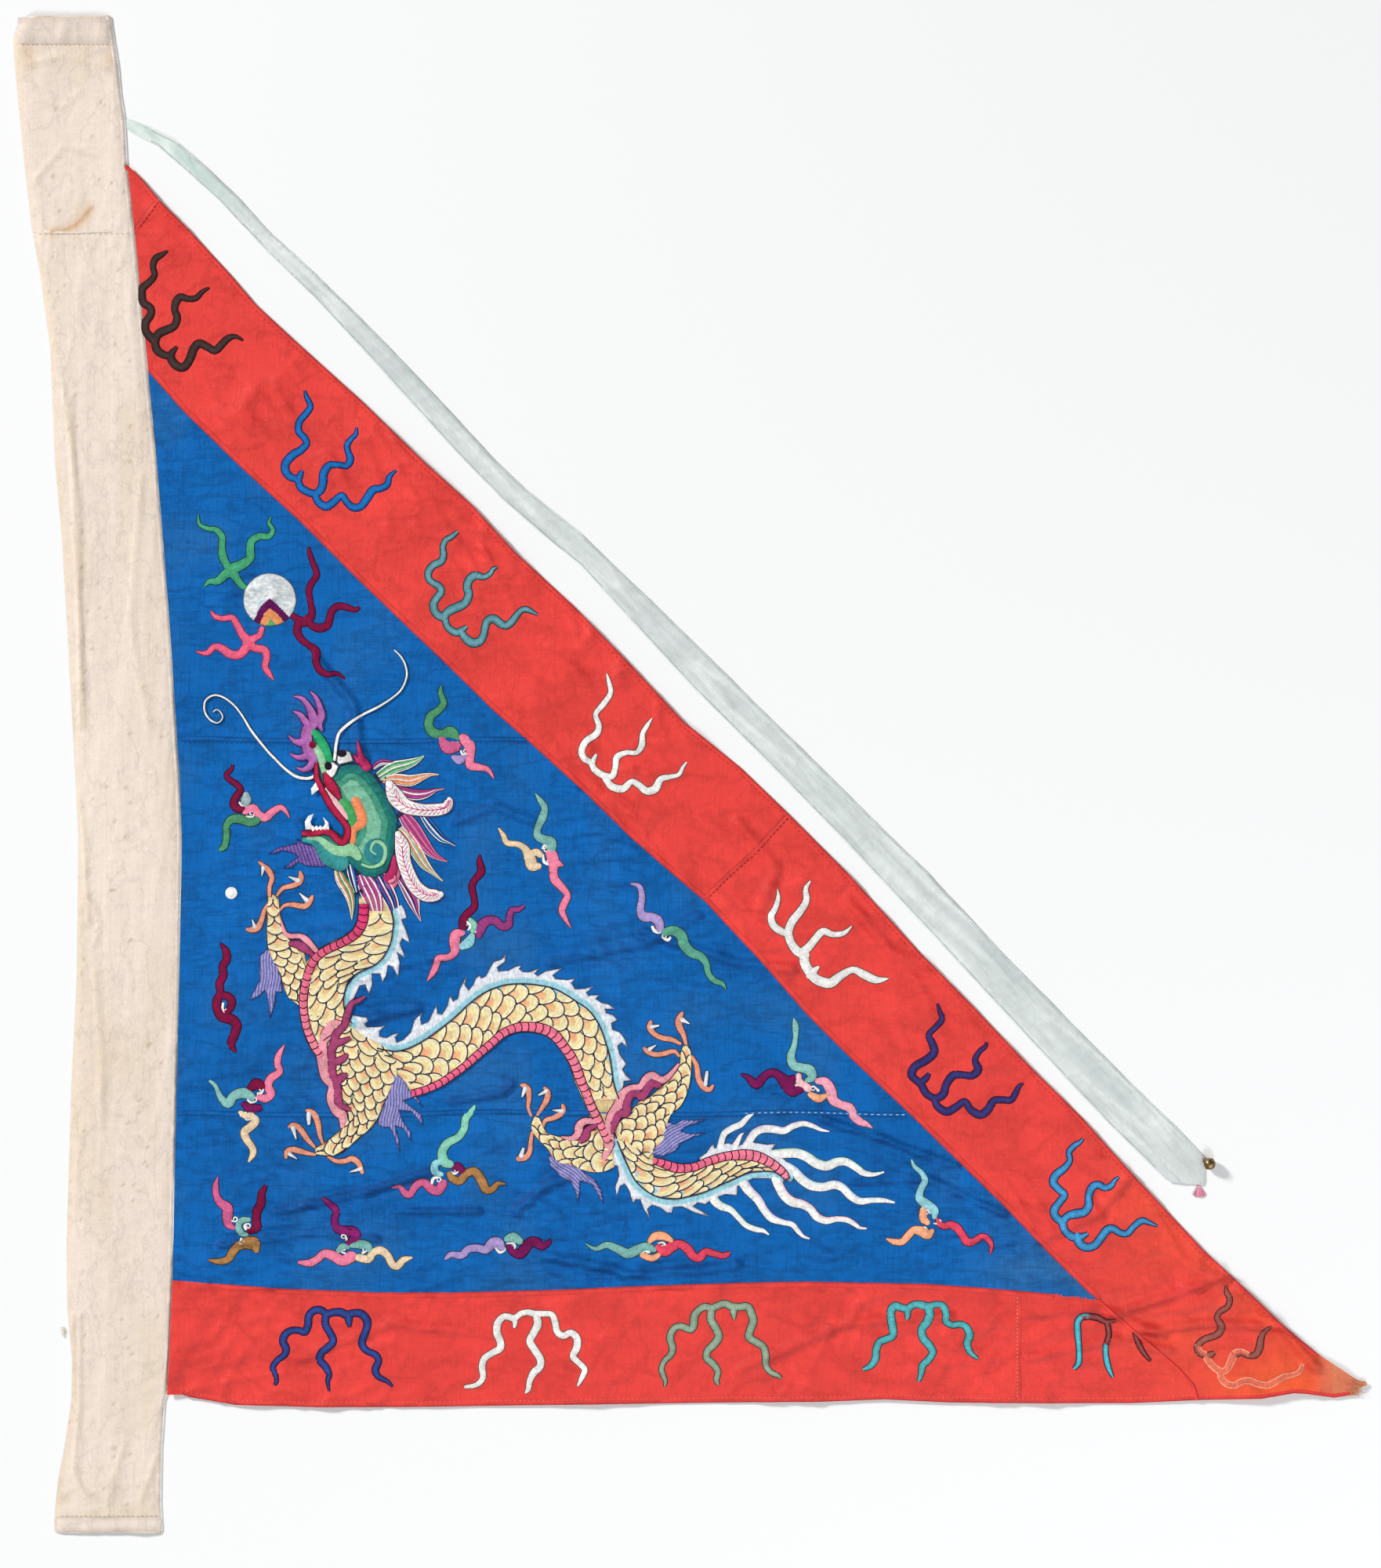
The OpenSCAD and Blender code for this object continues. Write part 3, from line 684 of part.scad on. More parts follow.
module blue_panel_bottom() {
    blue_cloth() intersection() {
        right_of_fold();
        difference() {
            blue_outline();
            above(lower_seam_y);
        }
    }
}
module border_fly_upper() {
    red_cloth() intersection() {
        fly_outline();
        right_of_fold();
        up_from(middle_seam);
    }
}
module border_fly_lower() {
    red_cloth() intersection() {
        right_of_fold();
        difference() {
            fly_outline();
            up_from(middle_seam);
        }
    }
}
module foot_seam_mask() {
    translate([-far, -far]) square([far + foot_seam_x, far]);
}
module border_foot_inner() {
    red_cloth() intersection() {
        foot_outline();
        right_of_fold();
        foot_seam_mask();
    }
}
module border_foot_outer() {
    red_cloth() difference() {
        foot_outline();
        foot_seam_mask();
    }
}

// The dragon, built up from the top layer of stitches down
module dragon_eyes() {
    color("white") stitched() shapes(eye_shapes);
}
module dragon_teeth() {
    color("ivory") stitched() shapes(teeth);
}
module face_details() {
    shapes(eye_shapes);
    shapes(teeth);
}
module dragon_mouth() {
    color("crimson") stitched() difference() {
        strokes(mouth_lines);
        face_details();
    }
}
module dragon_whiskers() {
    color("white") stitched() difference() {
        strokes(whisker_lines);
        face_details();
        strokes(mouth_lines);
    }
}
module whole_face() {
    face_details();
    strokes(mouth_lines);
    strokes(whisker_lines);
}
module dragon_head() {
    color("teal") stitched() difference() {
        polygon(head_outline);
        whole_face();
    }
}
module dragon_nose_crest() {
    color("plum") stitched() difference() {
        strokes(nose_lines);
        whole_face();
        polygon(head_outline);
    }
}
module dragon_beard() {
    color("mediumpurple") stitched() difference() {
        polygon(beard_outline);
        polygon(head_outline);
        strokes(mouth_lines);
    }
}
module dragon_horns() {
    color("mistyrose") stitched() difference() {
        strokes(horn_lines);
        polygon(head_outline);
    }
}
module dragon_mane() {
    color("hotpink") stitched() difference() {
        strokes(mane_lines);
        strokes(horn_lines);
        polygon(head_outline);
    }
}
module dragon_leg_flames() {
    color("palevioletred") stitched() difference() {
        strokes(flame_lines);
        strokes(mane_lines);
    }
}
module dragon_belly() {
    color("lightpink") stitched() difference() {
        strokes(belly_lines);
        strokes(flame_lines);
        strokes(mane_lines);
    }
}
module whole_body() {
    polygon(neck_outline);
    polygon(arch_outline);
    polygon(tail_outline);
    polygon(front_leg_left);
    polygon(front_leg_right);
    polygon(rear_leg_left);
    polygon(rear_leg_right);
}
module dragon_body() {
    color("moccasin") stitched() difference() {
        whole_body();
        strokes(belly_lines);
        strokes(flame_lines);
        strokes(mane_lines);
        strokes(horn_lines);
        polygon(head_outline);
    }
}
module body_and_trim() {
    whole_body();
    strokes(belly_lines);
    strokes(flame_lines);
}
module dragon_crest() {
    color("azure") stitched() difference() {
        shapes(crest_outlines);
        body_and_trim();
        strokes(mane_lines);
        strokes(horn_lines);
    }
}
module dragon_tail_plumes() {
    color("ghostwhite") stitched() difference() {
        strokes(plume_lines);
        shapes(crest_outlines);
        body_and_trim();
    }
}
module dragon_leg_hair() {
    color("slateblue") stitched() difference() {
        shapes(hair_outlines);
        body_and_trim();
    }
}
module dragon_toes() {
    color("coral") stitched() difference() {
        strokes(toe_lines);
        body_and_trim();
    }
}
module dragon_talons() {
    color("white") stitched() difference() {
        strokes(talon_lines);
        strokes(toe_lines);
    }
}

// Pearl, star, clouds and border scrolls
module pearl_disc() {
    translate(pearl_centre) circle(pearl_r, $fn = 48);
}
module pearl() {
    color("whitesmoke") stitched() pearl_disc();
}
module pearl_flames() {
    color("mediumseagreen") stitched() difference() {
        strokes(concat(green_flame, pink_flame, crimson_flame));
        pearl_disc();
    }
}
module white_star() {
    color("white") stitched() translate(star) circle(star_r, $fn = 32);
}
module cloud_tails() {
    color("aquamarine") stitched() difference() {
        strokes(cloud_lines);
        strokes(curl_lines);
    }
}
module cloud_curls() {
    color("white") stitched() strokes(curl_lines);
}
module fly_border_scrolls() {
    color("steelblue") stitched() {
        intersection() {
            right_of_fold();
            strokes(black_scroll);
        }
        strokes(concat(blue_scroll, teal_scroll, white_scroll, broad_white_scroll, navy_scroll,
            sky_scroll, faded_scroll));
    }
}
module foot_border_scrolls() {
    color("cadetblue") stitched() strokes(concat(foot_blue, foot_white, foot_green, foot_teal,
        foot_covered));
}

// Streamer, divided where it folds
module streamer_outline() {
    polygon(concat(streamer_top, streamer_end, streamer_bottom));
}
// Everything on the sleeve's side of the streamer's fold, moved by d along the streamer
module streamer_top_half(d) {
    c = streamer_fold + [d, -d];
    polygon([c + [far, far], c - [far, far], [-2 * far, -far], [-2 * far, 2 * far]]);
}
module streamer_upper() {
    color("honeydew") slab(0, streamer_t) intersection() {
        streamer_outline();
        streamer_top_half(-fold_gap / 2);
    }
}
module streamer_lower() {
    color("honeydew") slab(0, streamer_t) difference() {
        streamer_outline();
        streamer_top_half(fold_gap / 2);
    }
}

// Bell: two pressed brass halves, a soldered ring, the thread that holds it and a loose pellet
module at_bell() {
    translate(bell_centre) rotate([0, bell_tilt, 180 + bell_direction]) children();
}
module half_bell(way) {
    mirror([0, 0, way < 0 ? 1 : 0]) rotate_extrude($fn = 64) difference() {
        union() {
            circle(bell_r, $fn = 64);
            square([flange_r, flange_t]);
        }
        circle(bell_r - bell_t, $fn = 64);
        translate([-far, -far]) square([far, 2 * far]);
        translate([0, -far]) square([far, far]);
    }
}
module bell_cap() {
    color("goldenrod") at_bell() half_bell(1);
}
module bell_bowl() {
    color("darkgoldenrod") at_bell() difference() {
        half_bell(-1);
        translate([-bell_slot / 2, -far, -bell_r - 1]) cube([bell_slot, 2 * far, bell_r - 1]);
    }
}
module bell_loop() {
    color("peru") at_bell() translate([0, 0, hang_length]) rotate([90, 0, 0])
        rotate_extrude($fn = 32) translate([ring_r, 0]) circle(ring_wire, $fn = 24);
}
module bell_thread() {
    color("rosybrown") translate([bell_hang[0], bell_hang[1], thread_z]) rotate([0, 0, bell_direction]) {
        rotate([90, 0, 0]) cylinder(h = 2 * thread_half, r = thread_r, center = true, $fn = 24);
        for (way = [-1, 1]) translate([0, way * thread_half, streamer_t - thread_z])
            cylinder(h = thread_z - streamer_t, r = thread_r, $fn = 24);
    }
}
module bell_pellet() {
    color("dimgray") translate([bell_centre[0], bell_centre[1], bell_t + pellet_r + pellet_gap])
        sphere(pellet_r, $fn = 32);
}

// Tassel: a knot on a stitch, and a flat skirt of floss
module tassel_thread() {
    color("indianred") translate([tassel_pin[0], tassel_pin[1], streamer_t])
        cylinder(h = tassel_h - streamer_t, r = tassel_pin_r, $fn = 24);
}
module tassel_head() {
    color("lightcoral") translate([tassel_pin[0], tassel_pin[1], streamer_t + tassel_lift]) difference() {
        union() {
            cylinder(h = tassel_head_h, r = 2, $fn = 32);
            translate([-1, -tassel_neck, 0]) cube([2, tassel_neck, tassel_head_h]);
        }
        translate([0, 0, -1]) cylinder(h = far, r = tassel_pin_r + tassel_pin_fit, $fn = 24);
    }
}
module tassel_skirt() {
    color("pink") slab(0, tassel_h) translate(tassel_pin) polygon(skirt);
}

sleeve_back();
sleeve_front_upper();
sleeve_front_lower();
sleeve_fold_edge();
sleeve_seam_edge();
sleeve_top_hem();
sleeve_bottom_hem();
border_fly_top();
hoist_strip_red();
hoist_strip_blue();
hoist_scroll();
blue_panel_top();
blue_panel_middle();
blue_panel_bottom();
border_fly_upper();
border_fly_lower();
border_foot_inner();
border_foot_outer();
dragon_body();
dragon_belly();
dragon_crest();
dragon_head();
dragon_mouth();
dragon_eyes();
dragon_teeth();
dragon_horns();
dragon_mane();
dragon_whiskers();
dragon_nose_crest();
dragon_beard();
dragon_leg_flames();
dragon_leg_hair();
dragon_toes();
dragon_talons();
dragon_tail_plumes();
pearl();
pearl_flames();
white_star();
cloud_tails();
cloud_curls();
fly_border_scrolls();
foot_border_scrolls();
streamer_upper();
streamer_lower();
bell_thread();
bell_cap();
bell_bowl();
bell_loop();
bell_pellet();
tassel_thread();
tassel_head();
tassel_skirt();
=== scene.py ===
# Triangular embroidered dragon banner, laid flat: a cotton pole sleeve, a blue silk field with a red
# border, satin-stitch embroidery, and a silk streamer with a bell and a tassel. Lengths are in mm here.
import bpy
import json
import math
import numpy as np
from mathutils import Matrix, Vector
from mathutils.geometry import delaunay_2d_cdt

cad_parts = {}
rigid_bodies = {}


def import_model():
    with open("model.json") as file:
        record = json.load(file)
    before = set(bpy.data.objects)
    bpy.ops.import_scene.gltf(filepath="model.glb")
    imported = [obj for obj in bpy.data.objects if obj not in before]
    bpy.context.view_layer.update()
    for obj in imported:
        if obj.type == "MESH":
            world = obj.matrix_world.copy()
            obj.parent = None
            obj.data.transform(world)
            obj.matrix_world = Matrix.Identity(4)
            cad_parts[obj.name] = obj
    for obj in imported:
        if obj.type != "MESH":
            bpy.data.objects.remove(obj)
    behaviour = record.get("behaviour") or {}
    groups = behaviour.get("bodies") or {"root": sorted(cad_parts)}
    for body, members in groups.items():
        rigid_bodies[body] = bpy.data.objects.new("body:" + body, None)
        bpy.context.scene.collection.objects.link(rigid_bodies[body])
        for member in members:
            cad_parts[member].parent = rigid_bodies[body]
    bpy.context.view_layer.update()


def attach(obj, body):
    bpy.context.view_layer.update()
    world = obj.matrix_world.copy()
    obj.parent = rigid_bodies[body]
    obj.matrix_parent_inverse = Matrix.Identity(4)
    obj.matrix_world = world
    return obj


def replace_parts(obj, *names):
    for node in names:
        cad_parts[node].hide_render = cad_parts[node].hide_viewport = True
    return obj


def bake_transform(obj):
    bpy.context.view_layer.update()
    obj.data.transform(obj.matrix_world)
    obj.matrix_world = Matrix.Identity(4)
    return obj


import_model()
RNG = np.random.default_rng(11)
MM = 1000
SILK_MESH = 4.2
STREAMER_MESH = 3.6
SLEEVE_TOP = 968
SLEEVE_FOOT = -967
BACK_HEIGHT = 0.25
# How far in from its rim a filled shape of stitches rises
PATCH_SHOULDER = 3.0
# Blotches of worn floss to a metre
MOTTLE = 480
# Rows of an even triangle mesh, and how near a line a free point may lie, both as a share of its step
ROW_SPACING = 0.866
CLEARANCE = 0.55

# Outlines as [x, y], and lines of embroidery as [x, y, width], as the CAD model has them
SLEEVE_LEFT = [[-811,-966],[-811,-940],[-807,-900],[-799,-860],[-790,-800],[-789,-750],[-795,-680],
    [-796,-600],[-790,-400],[-783,-260],[-781,-80],[-785,0],[-795,180],[-802,300],[-811,400],
    [-817,545],[-830,640],[-840,693],[-850,780],[-858,860],[-863,915],[-864,937],[-860,950],
    [-853,959],[-843,968]]
HOIST_SEAM = [[-668,-791],[-665,-740],[-661,-645],[-658,-500],[-653,-300],[-649,-80],[-652,0],
    [-665,200],[-681,400],[-692,515],[-706,660],[-716,755],[-719,778]]
FLY_EDGE = [[-719,778],[-700,760],[-679,734],[-641,696],[-589,640],[-555,600],[-503,552],
    [-421,478],[-341,400],[-281,346],[-224,284],[-150,216],[-77,141],[-9,68],[64,9],[123,-48],
    [200,-125],[291,-225],[359,-294],[431,-370],[499,-437],[557,-502],[612,-561],[654,-606],
    [705,-653],[757,-703],[802,-740],[849,-771],[864,-779]]
TIP_EDGE = [[855,-781],[850,-785],[853,-788],[841,-792],[821,-795],[786,-790],[770,-789],
    [728,-796]]
LAP_EDGE = [[647,-798],[641,-779],[621,-757],[586,-727],[550,-697],[520,-670]]
FOOT_EDGE = [[560,-802],[431,-802],[330,-801],[247,-797],[170,-800],[52,-801],[-87,-803],
    [-239,-805],[-364,-807],[-475,-807],[-581,-804],[-640,-794],[-648,-791]]
FLY_SEAM = [[-692,515],[-647,464],[-573,392],[-500,325],[-421,246],[-300,130],[-249,80],[-200,37],
    [-129,-28],[-76,-80],[-21,-128],[17,-160],[89,-237],[150,-307],[200,-357],[269,-422],
    [350,-501],[400,-550],[460,-613],[508,-660],[520,-670]]
FOOT_SEAM = [[463,-663],[399,-657],[299,-650],[150,-647],[50,-649],[-66,-653],[-176,-658],
    [-300,-661],[-401,-661],[-520,-656],[-600,-650]]
STREAMER_TOP = [[-711,834.5],[-700,830],[-657,808],[-621,777],[-581,740],[-541,696],[-481,641],
    [-421,582],[-361,520],[-301,456],[-249,400],[-213,366],[-141,308],[0,172],[100,73],[200,-25],
    [300,-123],[400,-230],[500,-332],[560,-392],[625,-455],[657,-489]]
STREAMER_END = [[657,-503],[653,-524],[610,-519]]
STREAMER_BOTTOM = [[592,-502],[537,-448],[484,-392],[400,-302],[300,-194],[200,-87],[100,15],
    [0,115],[-141,268],[-181,300],[-241,352],[-301,414],[-361,480],[-421,546],[-481,610],
    [-541,668],[-601,732],[-641,768],[-681,803],[-706,815],[-714,820],
    [-718,826],[-717,832]]
BLACK_HOIST = [[[-667,668,1],[-675,663,5],[-683,658,7],[-686,648,6],[-684,637,6],[-691,628,7],
    [-699,621,8],[-700,612,8],[-698,602,8],[-689,595,8],[-689,586,8],[-695,577,8],[-695,566,8],
    [-689,558,9],[-683,552,8]]]
BLACK_SCROLL = [[[-614,621,1],[-623,616,4],[-631,608,6],[-641,607,6],[-651,609,8],[-657,602,8],
    [-658,592,7],[-655,583,8],[-659,572,8],[-669,567,9],[-679,562,9],[-683,552,8],[-681,542,9],
    [-673,536,8],[-664,534,7]],
    [[-571,554,1],[-581,559,4],[-591,556,7],[-599,548,8],[-607,541,8],[-617,546,8],[-627,550,9],
    [-634,543,9],[-638,532,9],[-645,521,9],[-653,520,9],[-661,527,9],[-663,536,8],[-655,546,2]]]
BLUE_SCROLL = [[[-492,490,1],[-490,482,4],[-485,470,6],[-491,460,7],[-499,450,7],[-500,438,7],
    [-493,430,7],[-490,422,7],[-497,414,8],[-507,408,9],[-516,398,9],[-517,388,9],[-511,380,8],
    [-502,376,7],[-497,366,8],[-487,360,8],[-479,358,8]],
    [[-495,388,2],[-498,382,6],[-501,374,6]],
    [[-479,358,8],[-472,363,9],[-469,372,9],[-468,384,9],[-461,394,8],[-449,395,6],[-439,394,7],
    [-434,402,8],[-437,412,6],[-438,420,6],[-433,428,5],[-427,434,4],[-426,443,1]],
    [[-479,358,8],[-475,348,8],[-465,342,9],[-455,348,8],[-445,356,7],[-439,348,7],[-431,341,8],
    [-421,342,8],[-413,352,9],[-405,363,9],[-395,365,7],[-387,370,7],[-384,380,5],[-375,388,1]]]
TEAL_SCROLL = [[[-297,310,3],[-304,304,5],[-312,299,6],[-316,290,6],[-315,281,7],[-318,272,8],
    [-328,267,8],[-334,259,8],[-334,250,7],[-329,245,7],[-321,240,8],[-318,233,8],[-324,225,8],
    [-328,217,9],[-326,208,9],[-320,202,9],[-314,200,8],[-311,190,7],[-305,184,8],[-298,181,8],
    [-292,184,7],[-285,189,3]],
    [[-246,265,1],[-252,262,4],[-256,256,5],[-264,252,6],[-274,254,9],[-282,249,9],[-285,239,9],
    [-283,231,9],[-286,221,9],[-294,215,10],[-304,211,10],[-311,206,9],[-315,200,8]],
    [[-293,183,7],[-287,174,9],[-278,168,10],[-269,170,9],[-264,178,8],[-262,188,8],[-259,196,9],
    [-251,199,9],[-243,193,9],[-235,190,8],[-228,195,8],[-222,203,7],[-215,210,6],[-207,210,6],
    [-195,204,1]]]
WHITE_SCROLL = [[[-107,129,1],[-104,118,5],[-102,104,6],[-111,90,7],[-121,77,6],[-117,63,7],
    [-120,52,8],[-133,43,8],[-139,31,8],[-136,21,8],[-127,15,7],[-122,6,8],[-111,-1,8],
    [-100,-2,8],[-96,9,7],[-94,22,8],[-82,28,6],[-69,28,6],[-62,38,8],[-61,52,6],[-55,63,5],
    [-49,72,1]],
    [[-120,26,3],[-124,18,6],[-125,12,6]],
    [[-111,-1,6],[-106,-9,8],[-99,-16,9],[-86,-18,9],[-75,-9,7],[-65,-14,8],[-56,-21,9],[-45,-18,10],
    [-38,-6,8],[-27,-3,6],[-15,0,5],[-10,9,4],[-5,16,2]]]
BROAD_WHITE_SCROLL = [[[111,-146,1],[112,-157,5],[108,-171,7],[103,-180,8],[105,-191,9],
    [114,-199,9],[124,-203,8]],
    [[153,-136,2],[147,-146,6],[148,-160,8],[141,-173,9],[130,-187,10],[125,-201,10],
    [128,-214,10],[136,-225,11],[146,-230,12]],
    [[206,-193,1],[196,-202,6],[182,-204,7],[169,-200,9],[159,-210,9],[150,-221,10],[140,-228,10]],
    [[145,-229,12],[146,-241,12],[153,-253,12],[162,-262,12],[178,-266,12],[191,-257,10],
    [207,-249,8],[221,-255,10],[237,-262,9],[253,-260,1]],
    [[164,-245,3],[157,-251,9],[152,-256,9]]]
NAVY_SCROLL = [[[315,-292,1],[318,-302,4],[321,-312,6],[313,-322,6],[304,-332,6],[308,-342,8],
    [311,-354,9],[301,-364,9],[287,-372,9],[282,-382,9],[287,-389,8],[294,-395,8],[301,-407,8],
    [313,-413,8],[323,-407,9],[326,-396,8],[335,-384,9],[347,-383,7],[359,-384,8],[367,-376,9],
    [363,-364,6],[369,-353,5],[376,-347,4],[378,-341,1]],
    [[305,-381,3],[300,-388,7],[293,-393,6]],
    [[311,-413,6],[315,-423,8],[327,-430,9],[339,-424,8],[350,-417,7],[357,-427,8],[369,-434,9],
    [379,-428,9],[387,-416,8],[399,-415,7],[409,-415,7],[415,-406,6],[419,-398,4],[425,-394,1]]]
SKY_SCROLL = [[[501,-464,1],[497,-469,4],[489,-474,6],[483,-482,6],[484,-493,6],[476,-503,8],
    [466,-511,9],[463,-521,9],[470,-529,8],[477,-536,8],[471,-545,8],[464,-555,9],[466,-564,9],
    [474,-571,9],[477,-581,8],[486,-589,9],[496,-590,8],[507,-585,3]],
    [[474,-572,8],[481,-563,8],[492,-560,10],[502,-558,9],[508,-550,9],[508,-539,8],[512,-527,9],
    [520,-523,8],[529,-527,7],[537,-524,6],[541,-518,4],[547,-513,1]],
    [[494,-588,8],[496,-597,10],[505,-603,9],[516,-600,9],[524,-590,9],[531,-581,9],[539,-579,8],
    [549,-585,7],[558,-585,7],[566,-576,7],[576,-569,7],[586,-572,4],[596,-576,1]]]
FADED_SCROLL = [[[683,-652,1],[684,-660,5],[688,-669,6],[685,-679,6],[676,-685,6],[672,-693,6],
    [677,-703,8],[675,-712,8],[666,-717,7],[655,-721,7],[647,-729,7],[649,-737,7],[657,-741,7],
    [661,-748,6],[667,-755,6],[676,-761,6],[684,-759,6],[689,-750,7],[694,-740,8],[702,-737,7],
    [712,-741,6],[721,-740,7],[726,-731,8],[728,-719,7],[733,-710,5],[741,-704,1]],
    [[669,-737,3],[664,-740,7],[658,-742,6]],
    [[676,-760,5],[677,-769,6],[684,-777,6],[694,-779,6],[703,-774,6],[713,-773,6],[723,-777,6],
    [736,-779,6],[747,-774,6],[757,-768,5],[770,-765,4],[777,-761,4],[781,-751,2]]]
FOOT_BLUE = [[[-531,-779,2],[-528,-773,4],[-530,-764,5],[-533,-756,6],[-527,-747,6],[-518,-740,7],
    [-516,-732,8],[-520,-723,8],[-517,-714,8],[-509,-709,7],[-500,-709,7],[-492,-711,8],
    [-488,-702,8],[-487,-691,8],[-481,-684,8],[-472,-683,8],[-464,-688,8],[-456,-686,8],
    [-446,-686,9],[-439,-689,9],[-429,-687,8],[-420,-688,9],[-413,-696,9],[-413,-706,8],
    [-417,-717,8],[-419,-727,8],[-413,-735,7],[-402,-740,7],[-398,-748,7],[-402,-759,8],
    [-398,-768,6],[-387,-774,4],[-380,-781,1]],
    [[-465,-689,8],[-466,-701,8],[-460,-712,8],[-456,-723,8],[-463,-731,8],[-471,-738,8],
    [-473,-747,8],[-466,-755,8],[-461,-765,6],[-463,-774,4],[-461,-787,1]],
    [[-436,-690,8],[-436,-696,8],[-435,-705,2]]]
FOOT_WHITE = [[[-287,-781,4],[-274,-779,6],[-265,-770,7],[-266,-756,8],[-263,-745,8],[-253,-738,8],
    [-243,-732,9],[-243,-723,9],[-247,-712,9],[-246,-700,9],[-239,-692,8],[-231,-692,8],
    [-225,-694,7],[-217,-688,7],[-207,-686,7],[-199,-688,8],[-187,-688,7],[-177,-689,7],
    [-173,-698,8],[-170,-711,8],[-162,-716,8],[-153,-712,8],[-145,-719,9],[-145,-731,9],
    [-150,-742,8],[-142,-751,7],[-135,-759,7],[-139,-770,6],[-144,-780,2]],
    [[-225,-693,7],[-224,-699,6],[-225,-706,3]],
    [[-197,-689,8],[-195,-701,10],[-200,-712,9],[-205,-723,9],[-199,-734,9],[-192,-745,9],
    [-192,-755,9],[-200,-763,9],[-205,-773,7],[-207,-784,6],[-211,-789,2]]]
FOOT_GREEN = [[[-33,-781,2],[-32,-774,4],[-35,-766,6],[-37,-758,6],[-33,-748,6],[-25,-740,7],
    [-23,-731,8],[-26,-720,8],[-24,-711,8],[-17,-704,7],[-9,-705,8],[0,-708,8],[4,-702,9],
    [5,-691,9],[11,-683,8],[19,-679,8],[27,-681,8],[34,-678,8],[44,-675,8],[53,-679,9],
    [63,-679,8],[73,-679,9],[78,-688,9],[80,-698,9],[76,-709,9],[75,-718,9],[84,-724,8],
    [93,-730,8],[96,-742,8],[96,-753,7],[102,-762,6],[112,-767,5],[116,-771,1]],
    [[27,-682,8],[26,-695,9],[32,-706,9],[36,-717,9],[30,-727,9],[22,-735,8],[21,-745,8],
    [29,-752,8],[35,-762,7],[33,-772,6],[36,-779,2]],
    [[55,-680,8],[55,-687,7],[56,-695,2]]]
FOOT_TEAL = [[[220,-759,3],[230,-754,7],[236,-745,8],[237,-734,8],[241,-724,8],[250,-720,8],
    [258,-716,8],[258,-706,9],[256,-695,9],[256,-684,9],[261,-678,9],[269,-680,8],[277,-681,8],
    [286,-676,8],[296,-677,9],[304,-679,9],[313,-676,7],[322,-678,8],[326,-687,8],[326,-697,8],
    [334,-702,7],[344,-701,7],[352,-705,8],[356,-715,9],[353,-726,8],[357,-737,6],[367,-745,2]],
    [[277,-682,8],[277,-689,6],[276,-695,3]],
    [[304,-680,9],[305,-690,10],[301,-699,10],[295,-708,9],[297,-719,9],[304,-727,9],[309,-737,8],
    [303,-747,8],[296,-754,8],[294,-765,6],[291,-774,3]]]
FOOT_COVERED = [[[489,-758,3],[495,-751,6],[496,-739,6],[495,-724,6],[494,-711,7],[494,-699,7],
    [499,-692,7],[508,-691,7],[520,-693,7],[530,-698,6],[541,-697,4]],
    [[532,-700,6],[534,-714,6],[530,-727,6],[530,-740,6],[533,-755,6],[539,-769,2]]]
GREEN_FLAME = [[[-628,332,1],[-627,320,4],[-617,314,5],[-605,312,7],[-598,303,8],[-598,290,8],
    [-597,279,10],[-592,268,9],[-586,260,12]],
    [[-535,329,1],[-538,321,4],[-533,312,5],[-538,304,7],[-550,304,8],[-560,298,9],[-562,286,10],
    [-562,276,10],[-572,268,12],[-585,261,13],[-579,250,9],[-574,243,8],[-569,239,7]],
    [[-621,239,1],[-614,246,6],[-603,247,9],[-594,255,11],[-586,260,11]]]
PINK_FLAME = [[[-612,209,1],[-607,202,5],[-597,199,6],[-585,200,7],[-578,190,8],[-572,179,9],
    [-564,170,12]],
    [[-547,186,6],[-550,178,7],[-557,174,8],[-566,169,11]],
    [[-631,157,1],[-617,155,6],[-608,163,7],[-598,161,9],[-588,154,10],[-576,153,10],[-568,161,11],
    [-563,169,11]],
    [[-564,170,11],[-557,162,9],[-544,159,9],[-541,150,8],[-543,138,7],[-538,129,6],[-532,121,1]]]
CRIMSON_FLAME = [[[-487,291,1],[-486,282,5],[-481,268,6],[-477,255,7],[-483,245,7],[-487,235,7],
    [-485,220,6],[-483,206,8],[-488,197,10],[-497,195,11],[-508,203,6]],
    [[-490,199,9],[-483,190,8],[-473,187,10],[-463,191,9],[-460,202,8],[-456,211,8],[-448,215,8],
    [-437,213,7],[-428,210,5],[-422,214,2]],
    [[-499,196,9],[-502,184,9],[-497,173,8],[-487,165,7],[-478,157,10],[-478,144,8],[-473,133,8],
    [-463,128,6],[-451,129,4],[-441,122,1]]]
